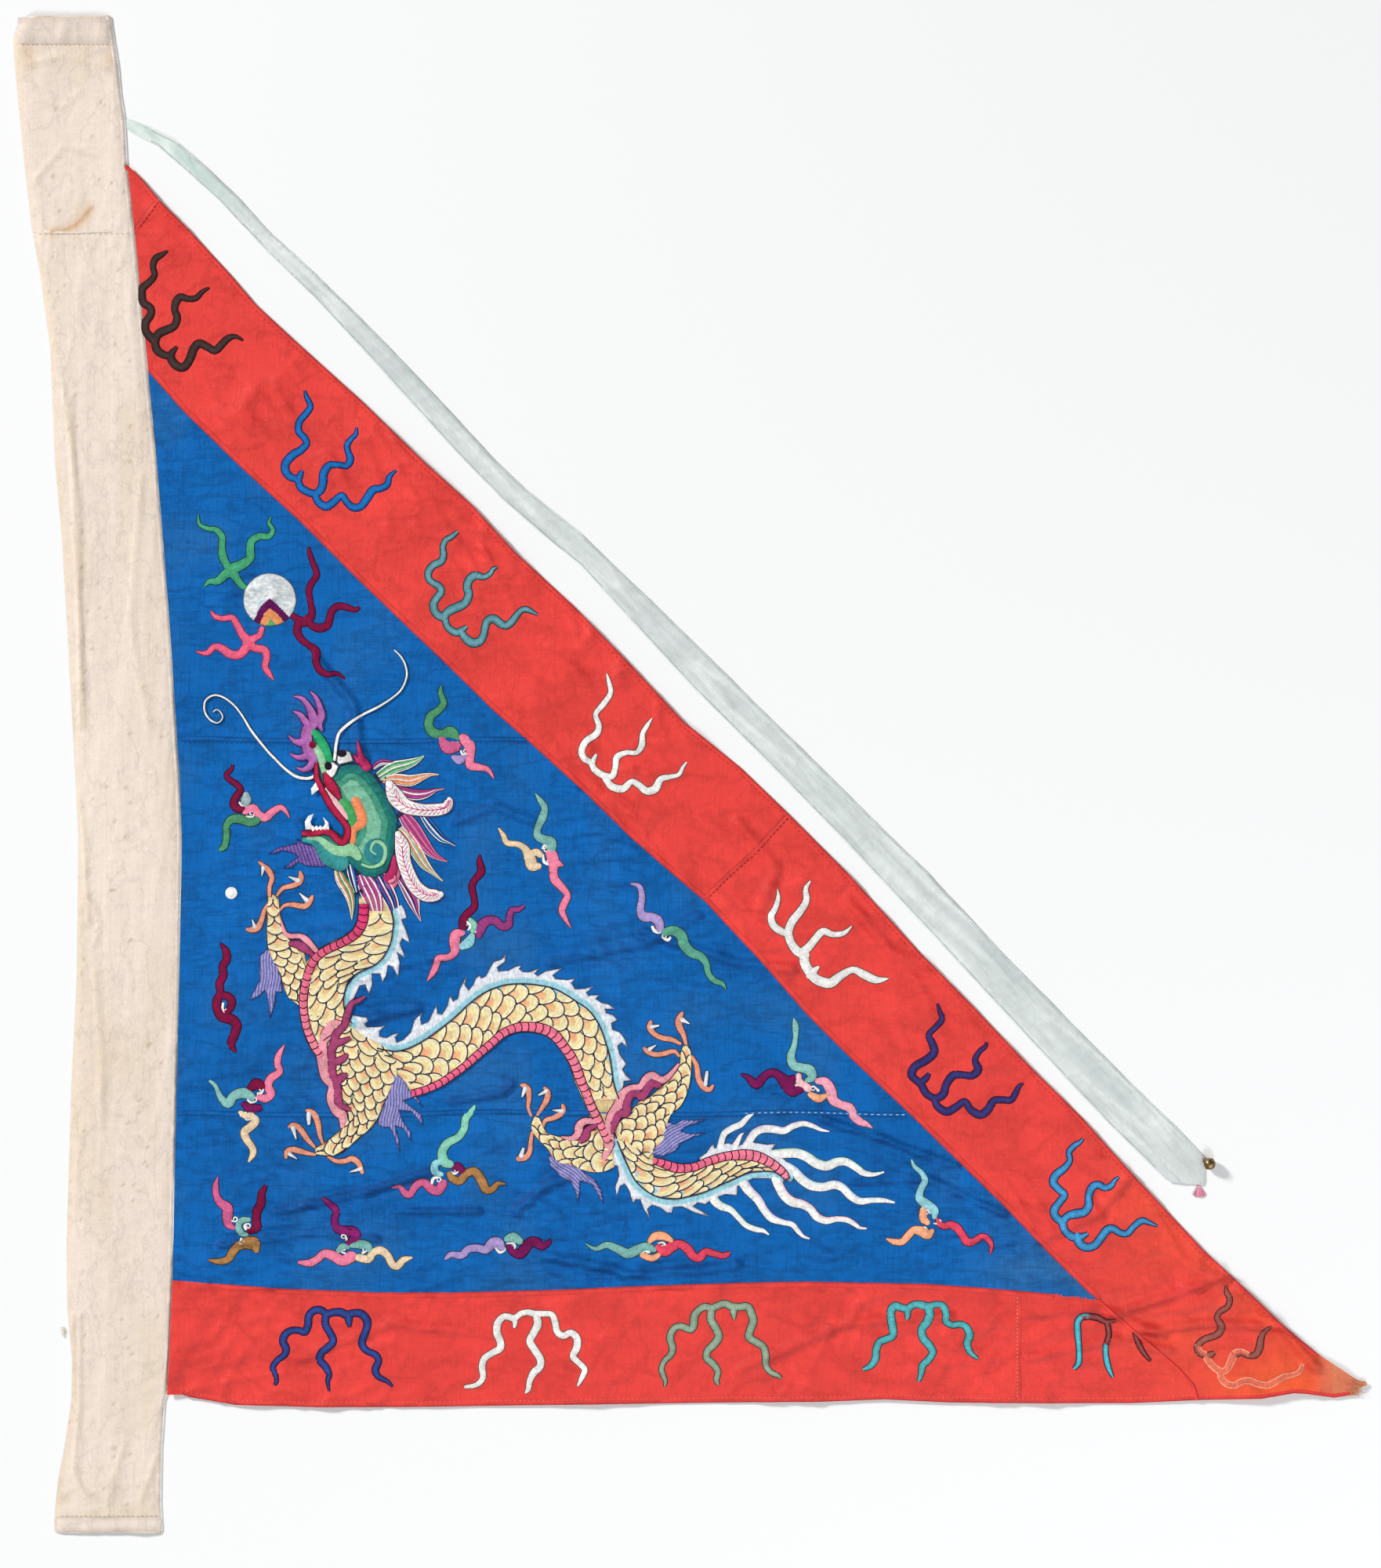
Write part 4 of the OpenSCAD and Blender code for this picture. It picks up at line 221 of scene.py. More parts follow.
CLOUD_LINES = [
    [[-318,113,2],[-319,104,6],[-315,91,8],[-323,81,9],[-332,74,10],[-334,62,11],[-327,53,12],
    [-316,52,10],[-306,54,15],[-297,47,8]],
    [[-317,44,10],[-310,35,16],[-300,36,14]], [[-302,22,6],[-295,19,12],[-288,23,6]],
    [[-290,46,12],[-282,37,14],[-281,23,10],[-281,12,11],[-268,9,8],[-258,6,6],[-251,-5,1]],
    [[-584,13,2],[-586,6,4],[-592,1,5],[-590,-5,6],[-580,-12,7],[-574,-19,7],[-579,-27,8],
    [-583,-36,9],[-579,-43,9],[-570,-45,7]],
    [[-567,-26,8],[-567,-32,13],[-567,-38,8]],
    [[-599,-95,6],[-594,-90,8],[-592,-76,8],[-592,-65,8],[-585,-57,10],[-573,-57,11],[-562,-61,10],
    [-553,-58,9],[-552,-52,6]],
    [[-568,-47,8],[-558,-42,9],[-552,-50,10],[-543,-55,10],[-534,-48,9],[-524,-42,7],[-517,-46,5],
    [-512,-55,1]],
    [[-245,-68,1],[-239,-77,6],[-234,-87,7],[-220,-89,7],[-211,-95,9],[-205,-107,14],[-202,-116,14],
    [-194,-117,8]], [[-203,-101,8],[-197,-99,9],[-192,-102,8]],
    [[-198,-24,1],[-191,-34,7],[-186,-43,8],[-189,-55,10],[-195,-68,8],[-195,-78,10],[-187,-83,11],
    [-178,-86,13],[-178,-95,12]],
    [[-178,-101,14],[-175,-110,14],[-175,-124,10],[-173,-134,11],[-164,-144,9],[-157,-154,8],
    [-161,-164,9],[-164,-174,8],[-159,-185,5],[-153,-195,1]], [[-176,-110,10],[-168,-114,8],[-162,-116,1]],
    [[-269,-102,1],[-269,-112,7],[-267,-124,9],[-275,-134,7],[-279,-144,8],[-276,-158,7],
    [-276,-169,8],[-285,-178,9],[-290,-187,10],[-290,-194,9]], [[-281,-185,5],[-276,-192,8],[-278,-199,6]],
    [[-212,-167,3],[-219,-172,6],[-228,-173,7],[-231,-182,8],[-232,-192,9],[-241,-193,10],
    [-250,-186,10],[-260,-187,11],[-267,-194,13],[-270,-204,9]],
    [[-336,-263,1],[-329,-253,7],[-324,-242,8],[-321,-234,8],[-309,-233,8],[-301,-226,10],
    [-301,-214,13],[-299,-204,13],[-291,-202,7]], [[-291,-219,9],[-283,-214,13],[-279,-206,8]],
    [[-600,-215,1],[-593,-225,8],[-592,-236,9],[-597,-245,9],[-596,-256,9],[-601,-267,9],
    [-600,-278,8],[-604,-288,10],[-604,-299,10],[-598,-309,11],[-586,-312,12],[-579,-320,11],
    [-582,-332,10],[-586,-344,9],[-580,-354,2]],
    [[-600,-281,8],[-590,-283,9],[-585,-290,9],[-588,-299,8],[-592,-303,6]],
    [[-76,-139,3],[-65,-143,6],[-62,-157,8],[-64,-172,9],[-60,-181,12],[-49,-182,11],[-41,-187,12],
    [-39,-196,10]],
    [[-32,-201,10],[-22,-199,12],[-12,-205,13],[-8,-217,13],[1,-227,12],[13,-232,10],[20,-241,8],
    [23,-254,7],[31,-263,7],[41,-267,5],[45,-274,1]],
    [[-614,-390,3],[-606,-397,5],[-600,-411,7],[-590,-420,11],[-583,-410,11],[-570,-406,13],
    [-560,-411,10]],
    [[-562,-400,7],[-554,-395,14],[-546,-397,9]], [[-570,-420,6],[-561,-426,11],[-550,-425,8]],
    [[-518,-345,1],[-525,-357,7],[-527,-369,8],[-524,-379,8],[-535,-387,10],[-539,-397,10],
    [-535,-407,10],[-542,-413,10],[-550,-411,8]],
    [[-574,-432,7],[-567,-435,8],[-559,-435,9],[-555,-442,10],[-561,-449,10],[-569,-456,10],
    [-566,-466,9],[-560,-474,8],[-558,-483,8],[-564,-494,2]],
    [[-275,-422,2],[-279,-429,7],[-287,-439,9],[-289,-452,9],[-297,-463,9],[-310,-470,10],
    [-317,-482,11],[-314,-494,12],[-307,-497,10]],
    [[-319,-494,7],[-326,-497,9],[-326,-507,9],[-318,-510,6]],
    [[-381,-527,2],[-371,-526,5],[-365,-533,8],[-358,-536,8],[-351,-525,9],[-341,-520,9],
    [-331,-528,11],[-322,-531,11],[-316,-522,11]],
    [[-302,-502,6],[-297,-500,10],[-291,-506,8]],
    [[-307,-510,8],[-303,-516,9],[-294,-518,10],[-287,-510,9],[-276,-506,10],[-267,-517,11],
    [-261,-529,10],[-253,-529,8],[-246,-522,6],[-236,-522,1]],
    [[-603,-513,1],[-606,-525,7],[-605,-537,8],[-600,-546,10],[-591,-553,13],[-591,-564,12],
    [-590,-573,10],[-584,-578,6]],
    [[-541,-524,3],[-547,-534,8],[-548,-547,10],[-553,-557,10],[-554,-569,10],[-553,-578,9],
    [-562,-582,8]],
    [[-564,-568,6],[-573,-569,8],[-577,-577,8],[-573,-585,8],[-567,-587,5]],
    [[-615,-619,2],[-601,-621,7],[-590,-618,9],[-584,-609,10],[-578,-602,10],[-568,-598,14],
    [-557,-598,16],[-554,-606,8]],
    [[-470,-539,1],[-461,-547,7],[-452,-556,8],[-454,-567,8],[-452,-578,9],[-441,-582,11],
    [-430,-583,12],[-427,-591,11],[-436,-597,8]],
    [[-499,-622,4],[-486,-623,9],[-476,-618,9],[-467,-611,10],[-456,-614,12],[-444,-620,13],
    [-433,-615,14]], [[-449,-607,7],[-444,-602,8],[-437,-603,5]],
    [[-431,-600,8],[-423,-599,11],[-413,-601,11],[-409,-607,7]],
    [[-424,-616,9],[-411,-618,10],[-405,-610,9],[-395,-607,10],[-386,-614,9],[-381,-624,9],
    [-374,-627,9],[-366,-619,8],[-355,-616,2]],
    [[-312,-617,4],[-305,-612,7],[-292,-613,9],[-283,-605,9],[-271,-604,9],[-261,-606,10],
    [-253,-598,13],[-245,-598,14],[-240,-604,7]],
    [[-234,-592,8],[-226,-590,12],[-218,-595,9]],
    [[-231,-602,7],[-226,-609,9],[-217,-611,12],[-210,-603,12],[-204,-596,11],[-196,-597,12],
    [-189,-601,10],[-181,-597,6],[-178,-592,1]],
    [[-134,-598,1],[-121,-605,5],[-107,-600,8],[-93,-605,10],[-80,-611,12],[-68,-606,12],
    [-56,-602,10],[-47,-606,7]],
    [[-52,-595,6],[-45,-589,10],[-34,-589,10],[-25,-594,6]], [[-61,-613,7],[-49,-617,8],[-41,-613,6]],
    [[-41,-603,8],[-34,-608,13],[-25,-603,13],[-14,-599,10],[-4,-605,11],[4,-615,10],[12,-616,10],
    [19,-609,9],[29,-611,8],[40,-614,7],[47,-612,6],[51,-609,1]],
    [[132,-311,2],[134,-321,8],[134,-334,6],[132,-347,7],[128,-360,10],[132,-371,11],[142,-374,11],
    [152,-377,13],[155,-386,11],[149,-390,6]],
    [[64,-382,1],[73,-386,6],[84,-395,11],[95,-384,9],[105,-380,9],[114,-385,11],[123,-394,17],
    [131,-403,15],[141,-401,8]], [[124,-391,9],[131,-388,9]],
    [[138,-384,7],[139,-392,9],[150,-400,10]], [[153,-408,7],[163,-413,10],[172,-410,6]],
    [[163,-391,8],[172,-392,11],[179,-403,13],[182,-415,12],[192,-421,10],[203,-425,11],
    [209,-436,11],[217,-443,9],[225,-446,6],[232,-451,1]],
    [[282,-491,2],[286,-500,5],[295,-508,6],[299,-518,8],[294,-529,8],[292,-540,10],[301,-548,12],
    [311,-556,11],[311,-564,6]], [[297,-556,9],[297,-566,10],[302,-571,7]],
    [[250,-592,2],[260,-596,7],[270,-596,8],[277,-589,9],[285,-581,9],[296,-583,13],[303,-587,11],
    [308,-582,6]],
    [[315,-567,4],[318,-573,7],[324,-576,8],[331,-574,9],[340,-578,10],[346,-586,9],
    [353,-596,10],[362,-595,8],[371,-589,7],[379,-592,7],[384,-601,5],[382,-612,1]]]
CURL_LINES = [[[-305,40,3],[-302,44,3],[-298,43,3],[-295,38,2]], [[-293,31,4],[-291,26,5],[-286,27,4]],
    [[-567,-53,4],[-559,-54,4],[-557,-50,2]], [[-576,-35,4],[-573,-39,4]],
    [[-189,-95,5],[-186,-90,5],[-182,-94,3]],
    [[-188,-102,4],[-187,-111,6],[-182,-114,6]], [[-284,-199,3],[-281,-193,6],[-285,-188,5]],
    [[-275,-202,3],[-271,-196,5]], [[-596,-291,5],[-597,-297,5],[-595,-303,2]],
    [[-49,-193,5],[-46,-199,7],[-41,-202,3]], [[-25,-207,4],[-29,-211,7],[-35,-208,4]],
    [[-553,-407,5],[-548,-406,6],[-545,-402,3]], [[-565,-414,5],[-561,-418,5],[-555,-417,3]],
    [[-567,-430,4],[-567,-439,5],[-562,-440,3]], [[-330,-521,6],[-328,-515,6],[-321,-514,3]],
    [[-306,-507,4],[-301,-509,5],[-297,-507,3]], [[-586,-569,4],[-581,-570,3]],
    [[-567,-581,5],[-569,-575,5],[-565,-573,3]], [[-573,-591,4],[-574,-597,6]],
    [[-439,-593,6],[-440,-588,3]], [[-440,-611,4],[-445,-609,3],[-446,-605,2]],
    [[-418,-610,6],[-414,-608,3]], [[-250,-602,3],[-244,-609,6],[-238,-608,3]],
    [[-235,-598,3],[-226,-598,5],[-224,-602,5]], [[-42,-598,3],[-35,-597,4],[-32,-601,4]],
    [[-53,-609,6],[-58,-608,3]], [[133,-397,6],[139,-395,4]], [[163,-403,6],[158,-398,3]],
    [[306,-560,4],[303,-556,4]], [[310,-572,3],[317,-573,4]], [[302,-582,4],[300,-578,4]]]
NECK_OUTLINE = [[-408,-150],[-423,-156],[-423,-174],[-425,-187],[-431,-199],[-442,-207],[-456,-213],
    [-469,-220],[-480,-227],[-489,-238],[-493,-252],[-497,-267],[-498,-285],[-497,-303],[-495,-321],
    [-490,-338],[-483,-351],[-472,-364],[-440,-372],[-400,-380],[-379,-352],[-394,-351],[-408,-344],
    [-421,-331],[-432,-317],[-442,-296],[-442,-283],[-439,-270],[-433,-260],[-424,-253],[-413,-248],
    [-400,-241],[-390,-230],[-383,-216],[-380,-201],[-379,-187],[-382,-174],[-386,-155]]
ARCH_OUTLINE = [[-409,-344],[-394,-351],[-379,-353],[-365,-351],[-350,-345],[-332,-334],[-317,-323],
    [-301,-310],[-285,-295],[-270,-283],[-254,-274],[-234,-268],[-210,-267],[-192,-269],[-174,-273],
    [-150,-286],[-134,-297],[-123,-310],[-114,-325],[-108,-343],[-103,-361],[-100,-381],[-97,-398],
    [-91,-414],[-92,-460],[-104,-476],[-112,-472],[-122,-450],[-130,-432],[-139,-410],[-147,-392],
    [-154,-370],[-163,-354],[-174,-340],[-188,-331],[-203,-328],[-221,-328],[-237,-334],[-252,-347],
    [-270,-362],[-285,-375],[-301,-386],[-319,-397],[-337,-406],[-354,-411],[-380,-400],[-400,-380]]
TAIL_OUTLINE = [[-96,-457],[-89,-479],[-80,-499],[-71,-517],[-59,-529],[-46,-537],[-31,-541],[-16,-541],
    [-1,-538],[14,-534],[29,-528],[44,-521],[59,-514],[74,-508],[89,-506],[101,-506],[110,-508],
    [119,-513],[125,-516],[124,-509],[116,-499],[106,-489],[94,-483],[79,-479],[64,-478],[46,-481],
    [31,-486],[16,-492],[1,-497],[-11,-498],[-24,-495],[-36,-491],[-48,-488],[-40,-470],[-60,-450]]
FRONT_LEG_LEFT = [[-532,-153],[-525,-160],[-524,-178],[-518,-198],[-513,-210],[-493,-227],[-486,-262],
    [-490,-298],[-498,-294],[-512,-285],[-519,-270],[-522,-256],[-528,-245],[-535,-232],[-539,-218],
    [-540,-200],[-540,-176],[-539,-158]]
FRONT_LEG_RIGHT = [[-448,-331],[-455,-345],[-455,-400],[-445,-413],[-437,-426],[-440,-442],[-448,-455],
    [-461,-466],[-479,-477],[-477,-484],[-461,-487],[-445,-482],[-432,-471],[-419,-460],[-405,-448],
    [-398,-436],[-388,-411],[-381,-397],[-370,-370],[-400,-340]]
REAR_LEG_LEFT = [[-199,-436],[-203,-447],[-201,-456],[-194,-465],[-183,-476],[-172,-492],[-157,-498],
    [-141,-503],[-125,-507],[-110,-506],[-99,-500],[-97,-470],[-104,-452],[-119,-454],[-132,-462],
    [-145,-467],[-168,-462],[-183,-458],[-188,-449],[-193,-438]]
REAR_LEG_RIGHT = [[-8,-343],[-12,-354],[-13,-367],[-17,-378],[-25,-388],[-36,-398],[-51,-411],[-66,-418],
    [-78,-432],[-92,-445],[-97,-460],[-88,-482],[-60,-500],[-48,-488],[-49,-482],[-36,-467],
    [-31,-454],[-29,-442],[-24,-432],[-14,-424],[-7,-412],[-2,-397],[0,-382],[1,-369],[0,-354],
    [-3,-345]]
BELLY_LINES = [[[-417,-165,11],[-418,-185,12],[-424,-199,11],[-435,-209,10],[-450,-217,9],[-463,-223,9],
    [-476,-232,9],[-484,-244,9],[-489,-258,9],[-492,-272,9],[-494,-287,9],[-493,-304,9],
    [-490,-321,9],[-485,-335,9],[-478,-349,9],[-470,-359,8]],
    [[-356,-407,8],[-338,-402,8],[-320,-394,8],[-303,-383,8],[-288,-372,8],[-272,-358,9],
    [-254,-343,9],[-239,-330,9],[-222,-323,10],[-204,-322,11],[-187,-325,12],[-173,-333,12],
    [-160,-349,11],[-149,-366,11],[-142,-385,11],[-134,-404,10],[-126,-425,10],[-117,-442,9],
    [-110,-457,9],[-104,-470,8]],
    [[-47,-492,7],[-35,-496,9],[-21,-501,11],[-8,-502,10],[6,-500,9],[21,-494,9],[36,-489,9],
    [52,-486,10],[68,-485,12],[84,-487,12],[98,-493,11],[109,-500,10],[119,-509,9],[125,-516,3]]]
CREST_OUTLINES = [
    [[-380,-170],[-369,-166],[-365,-172],[-362,-183],[-369,-185],[-364,-196],[-358,-215],[-368,-209],
    [-371,-216],[-368,-223],[-364,-234],[-374,-227],[-371,-240],[-373,-258],[-380,-245],[-386,-243],
    [-388,-255],[-393,-265],[-396,-254],[-407,-254],[-406,-267],[-410,-280],[-415,-268],[-422,-269],
    [-428,-282],[-431,-290],[-439,-299],[-445,-296],[-445,-280],[-420,-245],[-390,-220]],
    [[-431,-307],[-413,-310],[-411,-314],[-416,-318],[-413,-322],[-399,-322],[-389,-320],[-397,-327],
    [-397,-334],[-388,-336],[-379,-331],[-372,-330],[-377,-335],[-375,-342],[-366,-338],[-357,-329],
    [-352,-313],[-343,-304],[-345,-312],[-343,-319],[-334,-315],[-328,-302],[-324,-293],[-323,-305],
    [-317,-306],[-310,-295],[-307,-281],[-303,-289],[-297,-286],[-294,-273],[-286,-257],[-288,-269],
    [-283,-275],[-277,-268],[-274,-260],[-269,-256],[-267,-260],[-261,-257],[-256,-247],[-251,-239],
    [-241,-236],[-235,-228],[-237,-239],[-247,-246],[-245,-251],[-232,-250],[-223,-245],[-215,-243],
    [-219,-248],[-213,-252],[-205,-252],[-193,-247],[-199,-254],[-195,-257],[-185,-251],[-164,-247],
    [-176,-256],[-172,-261],[-157,-262],[-147,-260],[-152,-266],[-147,-274],[-134,-273],[-123,-270],
    [-133,-278],[-130,-282],[-116,-281],[-121,-286],[-114,-291],[-105,-293],[-96,-299],[-109,-299],
    [-108,-304],[-99,-307],[-93,-313],[-101,-317],[-100,-325],[-90,-329],[-84,-337],[-80,-348],
    [-88,-342],[-93,-346],[-91,-356],[-82,-369],[-87,-376],[-82,-384],[-75,-390],[-85,-391],
    [-86,-397],[-87,-410],[-95,-420],[-110,-380],[-130,-310],[-200,-275],[-260,-285],[-340,-345],
    [-379,-360],[-425,-340],[-436,-320]],
    [[-96,-455],[-99,-472],[-101,-498],[-93,-499],[-91,-512],[-96,-526],[-94,-538],[-90,-525],
    [-84,-522],[-79,-529],[-73,-547],[-70,-542],[-64,-542],[-60,-553],[-52,-567],[-55,-554],
    [-49,-549],[-39,-552],[-30,-559],[-24,-559],[-22,-552],[-11,-551],[-4,-554],[6,-559],[24,-564],
    [14,-557],[3,-551],[9,-546],[19,-548],[29,-541],[45,-535],[59,-537],[60,-525],[80,-515],[100,-515],
    [120,-520],[110,-500],[60,-505],[-20,-530],[-70,-500],[-85,-470]],
    [[11,-489],[21,-482],[25,-475],[29,-471],[31,-477],[38,-473],[48,-470],[60,-474],[75,-468],
    [85,-470],[98,-472],[109,-471],[104,-478],[112,-485],[128,-498],[136,-508],[128,-520],
    [118,-516],[112,-500],[90,-490],[60,-484],[30,-492],[15,-497]]]
PLUME_LINES = [[[37,-482,10],[39,-470,8],[43,-458,8],[53,-451,8],[64,-446,8],[73,-437,6],[80,-432,4],
    [90,-431,2]],
    [[56,-475,8],[61,-466,6],[64,-460,4],[68,-457,1]],
    [[69,-478,11],[75,-467,10],[82,-457,10],[92,-452,10],[105,-452,10],[119,-454,9],[131,-448,8],
    [144,-445,7],[156,-448,6],[167,-453,4],[177,-455,2]],
    [[104,-485,12],[121,-483,12],[136,-483,12],[149,-488,12],[161,-496,12],[174,-499,12],
    [187,-494,11],[199,-494,10],[211,-501,9],[221,-508,8],[234,-510,5],[247,-507,2]],
    [[122,-500,12],[132,-506,12],[142,-516,12],[154,-524,12],[169,-526,11],[183,-523,11],
    [194,-527,10],[204,-537,10],[216,-544,9],[231,-543,7],[246,-543,6],[261,-546,2]],
    [[108,-512,12],[113,-525,12],[120,-537,12],[130,-545,12],[142,-548,11],[153,-554,10],
    [161,-564,10],[173,-569,9],[186,-567,7],[199,-568,7],[209,-573,6],[216,-578,4],[225,-579,2]],
    [[66,-518,13],[74,-530,12],[86,-542,11],[94,-555,10],[104,-566,10],[118,-571,7],[130,-574,7],
    [137,-582,6],[144,-589,4],[152,-592,2]],
    [[26,-534,12],[32,-545,11],[40,-551,10],[51,-555,8],[61,-565,7],[71,-575,7],[83,-580,7],
    [93,-582,5],[100,-587,2]]]
HEAD_OUTLINE = [[-453,4],[-449,10],[-440,14],[-431,15],[-416,10],[-404,-1],[-389,-21],[-380,-41],[-373,-57],
    [-375,-76],[-379,-103],[-387,-123],[-402,-132],[-417,-130],[-427,-121],[-435,-114],[-446,-120],
    [-458,-116],[-466,-103],[-476,-91],[-488,-88],[-497,-79],[-490,-76],[-470,-70],[-455,-72],
    [-440,-80],[-434,-70],[-444,-54],[-458,-40],[-470,-14],[-478,10],[-484,35],[-484,52],[-478,57],
    [-469,50],[-462,38],[-457,20]]
MOUTH_LINES = [[[-477,13,4],[-477,-3,6],[-472,-16,7],[-465,-29,7],[-458,-41,8],[-450,-51,8],[-443,-60,7],
    [-438,-68,7],[-438,-78,8],[-443,-86,8],[-450,-83,8],[-458,-75,8],[-469,-72,8],[-482,-75,8],
    [-493,-75,6]], [[-467,3,3],[-462,-8,11],[-454,-20,11],[-447,-31,3]]]
TEETH = [[[-491,-70],[-492,-60],[-488,-53],[-481,-50],[-485,-60],[-482,-70]],
    [[-482,-70],[-480,-67],[-468,-67],[-466,-62],[-469,-54],[-462,-61],[-461,-70]],
    [[-478,-10],[-484,-18],[-483,-26],[-474,-19]]]
EYE_SHAPES = [[[-452,17],[-450,28],[-442,31],[-434,30],[-429,17],[-440,14],[-449,12]],
    [[-465,16],[-456,17],[-448,11],[-453,-1],[-458,-6],[-466,2]]]
HORN_LINES = [[[-384,-12,10],[-377,-27,20],[-364,-40,18],[-344,-45,15],[-325,-45,15],[-312,-42,13],
    [-308,-34,10],[-308,-31,5]],
    [[-373,-76,8],[-368,-91,18],[-366,-109,17],[-360,-127,17],[-351,-143,17],[-338,-153,17],
    [-325,-154,14],[-319,-153,8]]]
MANE_LINES = [[[-405,8,5],[-395,15,8],[-384,15,6],[-377,14,2]],
    [[-398,-3,12],[-380,8,16],[-362,13,13],[-349,18,8],[-340,24,1]],
    [[-393,-7,8],[-376,-6,14],[-358,-8,15],[-342,-3,9],[-331,0,4],[-321,0,1]],
    [[-386,-14,8],[-371,-21,12],[-353,-26,14],[-338,-25,11],[-325,-20,4],[-314,-18,1]],
    [[-342,-52,8],[-331,-67,12],[-318,-81,10],[-309,-86,4],[-300,-91,1]],
    [[-367,-52,14],[-356,-67,20],[-342,-87,17],[-327,-103,9],[-310,-111,1]],
    [[-371,-68,6],[-360,-81,14],[-350,-98,16],[-340,-114,13],[-329,-125,6],[-316,-136,1]],
    [[-371,-134,8],[-362,-147,14],[-354,-161,16],[-349,-176,7],[-344,-187,1]],
    [[-377,-105,5],[-376,-118,11],[-377,-132,11],[-381,-142,9],[-387,-140,6],[-389,-131,4]],
    [[-451,-120,8],[-446,-134,15],[-438,-147,15],[-433,-163,10],[-432,-185,1]],
    [[-435,-114,10],[-431,-131,12],[-426,-150,6]],
    [[-420,-127,15],[-412,-143,25],[-405,-158,25],[-401,-175,18],[-399,-190,8],[-398,-202,1]],
    [[-398,-130,18],[-389,-147,20],[-381,-163,17],[-377,-180,9],[-378,-195,1]]]
WHISKER_LINES = [[[-609,80,2],[-605,83,2],[-600,80,2],[-597,73,2],[-603,66,2],[-613,70,3],[-620,81,3],
    [-619,94,3],[-609,101,3],[-597,99,3],[-583,89,3],[-572,75,3],[-561,57,4],[-548,40,4],
    [-537,27,4],[-531,21,4],[-518,8,4],[-504,-2,5],[-491,-5,5],[-482,-3,5],[-478,2,4]],
    [[-378,159,2],[-370,151,3],[-364,140,3],[-362,126,3],[-368,110,3],[-379,99,3],[-399,86,4],
    [-419,76,4],[-437,64,5],[-448,53,5],[-452,39,5],[-453,28,5],[-454,19,5]]]
NOSE_LINES = [[[-507,100,1],[-496,97,5],[-488,88,7],[-483,77,10],[-481,66,12],[-489,57,13],[-490,44,14],
    [-487,30,14],[-481,17,10],[-479,8,3]],
    [[-485,106,1],[-478,98,5],[-473,86,7],[-471,75,9],[-474,66,8],[-470,56,2]],
    [[-507,81,1],[-498,76,6],[-491,67,8],[-486,60,6]], [[-513,50,1],[-506,43,5],[-497,41,9],[-489,44,9]],
    [[-511,27,1],[-502,22,5],[-492,23,8],[-486,29,8]], [[-503,9,1],[-494,6,5],[-486,10,8],[-481,18,8]]]
BEARD_OUTLINE = [[-540,-103],[-528,-94],[-518,-91],[-502,-88],[-502,-81],[-493,-89],[-475,-91],[-460,-98],
    [-458,-114],[-469,-118],[-489,-117],[-500,-112],[-509,-118],[-519,-121],[-511,-112],[-500,-105],
    [-509,-100],[-520,-97]]
HAIR_OUTLINES = [[[-539,-221],[-550,-232],[-550,-263],[-558,-278],[-563,-288],[-551,-283],[-543,-275],
    [-539,-288],[-537,-312],[-531,-294],[-529,-277],[-521,-278],[-522,-260],[-527,-243],[-534,-230]],
    [[-379,-379],[-384,-402],[-394,-428],[-400,-446],[-392,-450],[-384,-450],[-378,-462],[-371,-483],
    [-372,-466],[-377,-448],[-366,-452],[-357,-468],[-357,-456],[-368,-440],[-372,-428],[-356,-430],
    [-342,-447],[-343,-434],[-356,-424],[-366,-416],[-354,-412],[-341,-425],[-350,-410],[-357,-405],
    [-366,-388]],
    [[-182,-484],[-179,-500],[-165,-513],[-153,-519],[-147,-531],[-144,-546],[-141,-531],[-141,-518],
    [-133,-520],[-124,-525],[-118,-536],[-111,-548],[-114,-530],[-122,-517],[-135,-507],[-145,-499],
    [-165,-492]],
    [[-30,-442],[-20,-446],[-10,-440],[5,-441],[22,-438],[6,-445],[-8,-450],[-12,-455],[0,-458],
    [22,-457],[2,-463],[-12,-470],[-20,-480],[-35,-487],[-52,-484],[-40,-468]]]
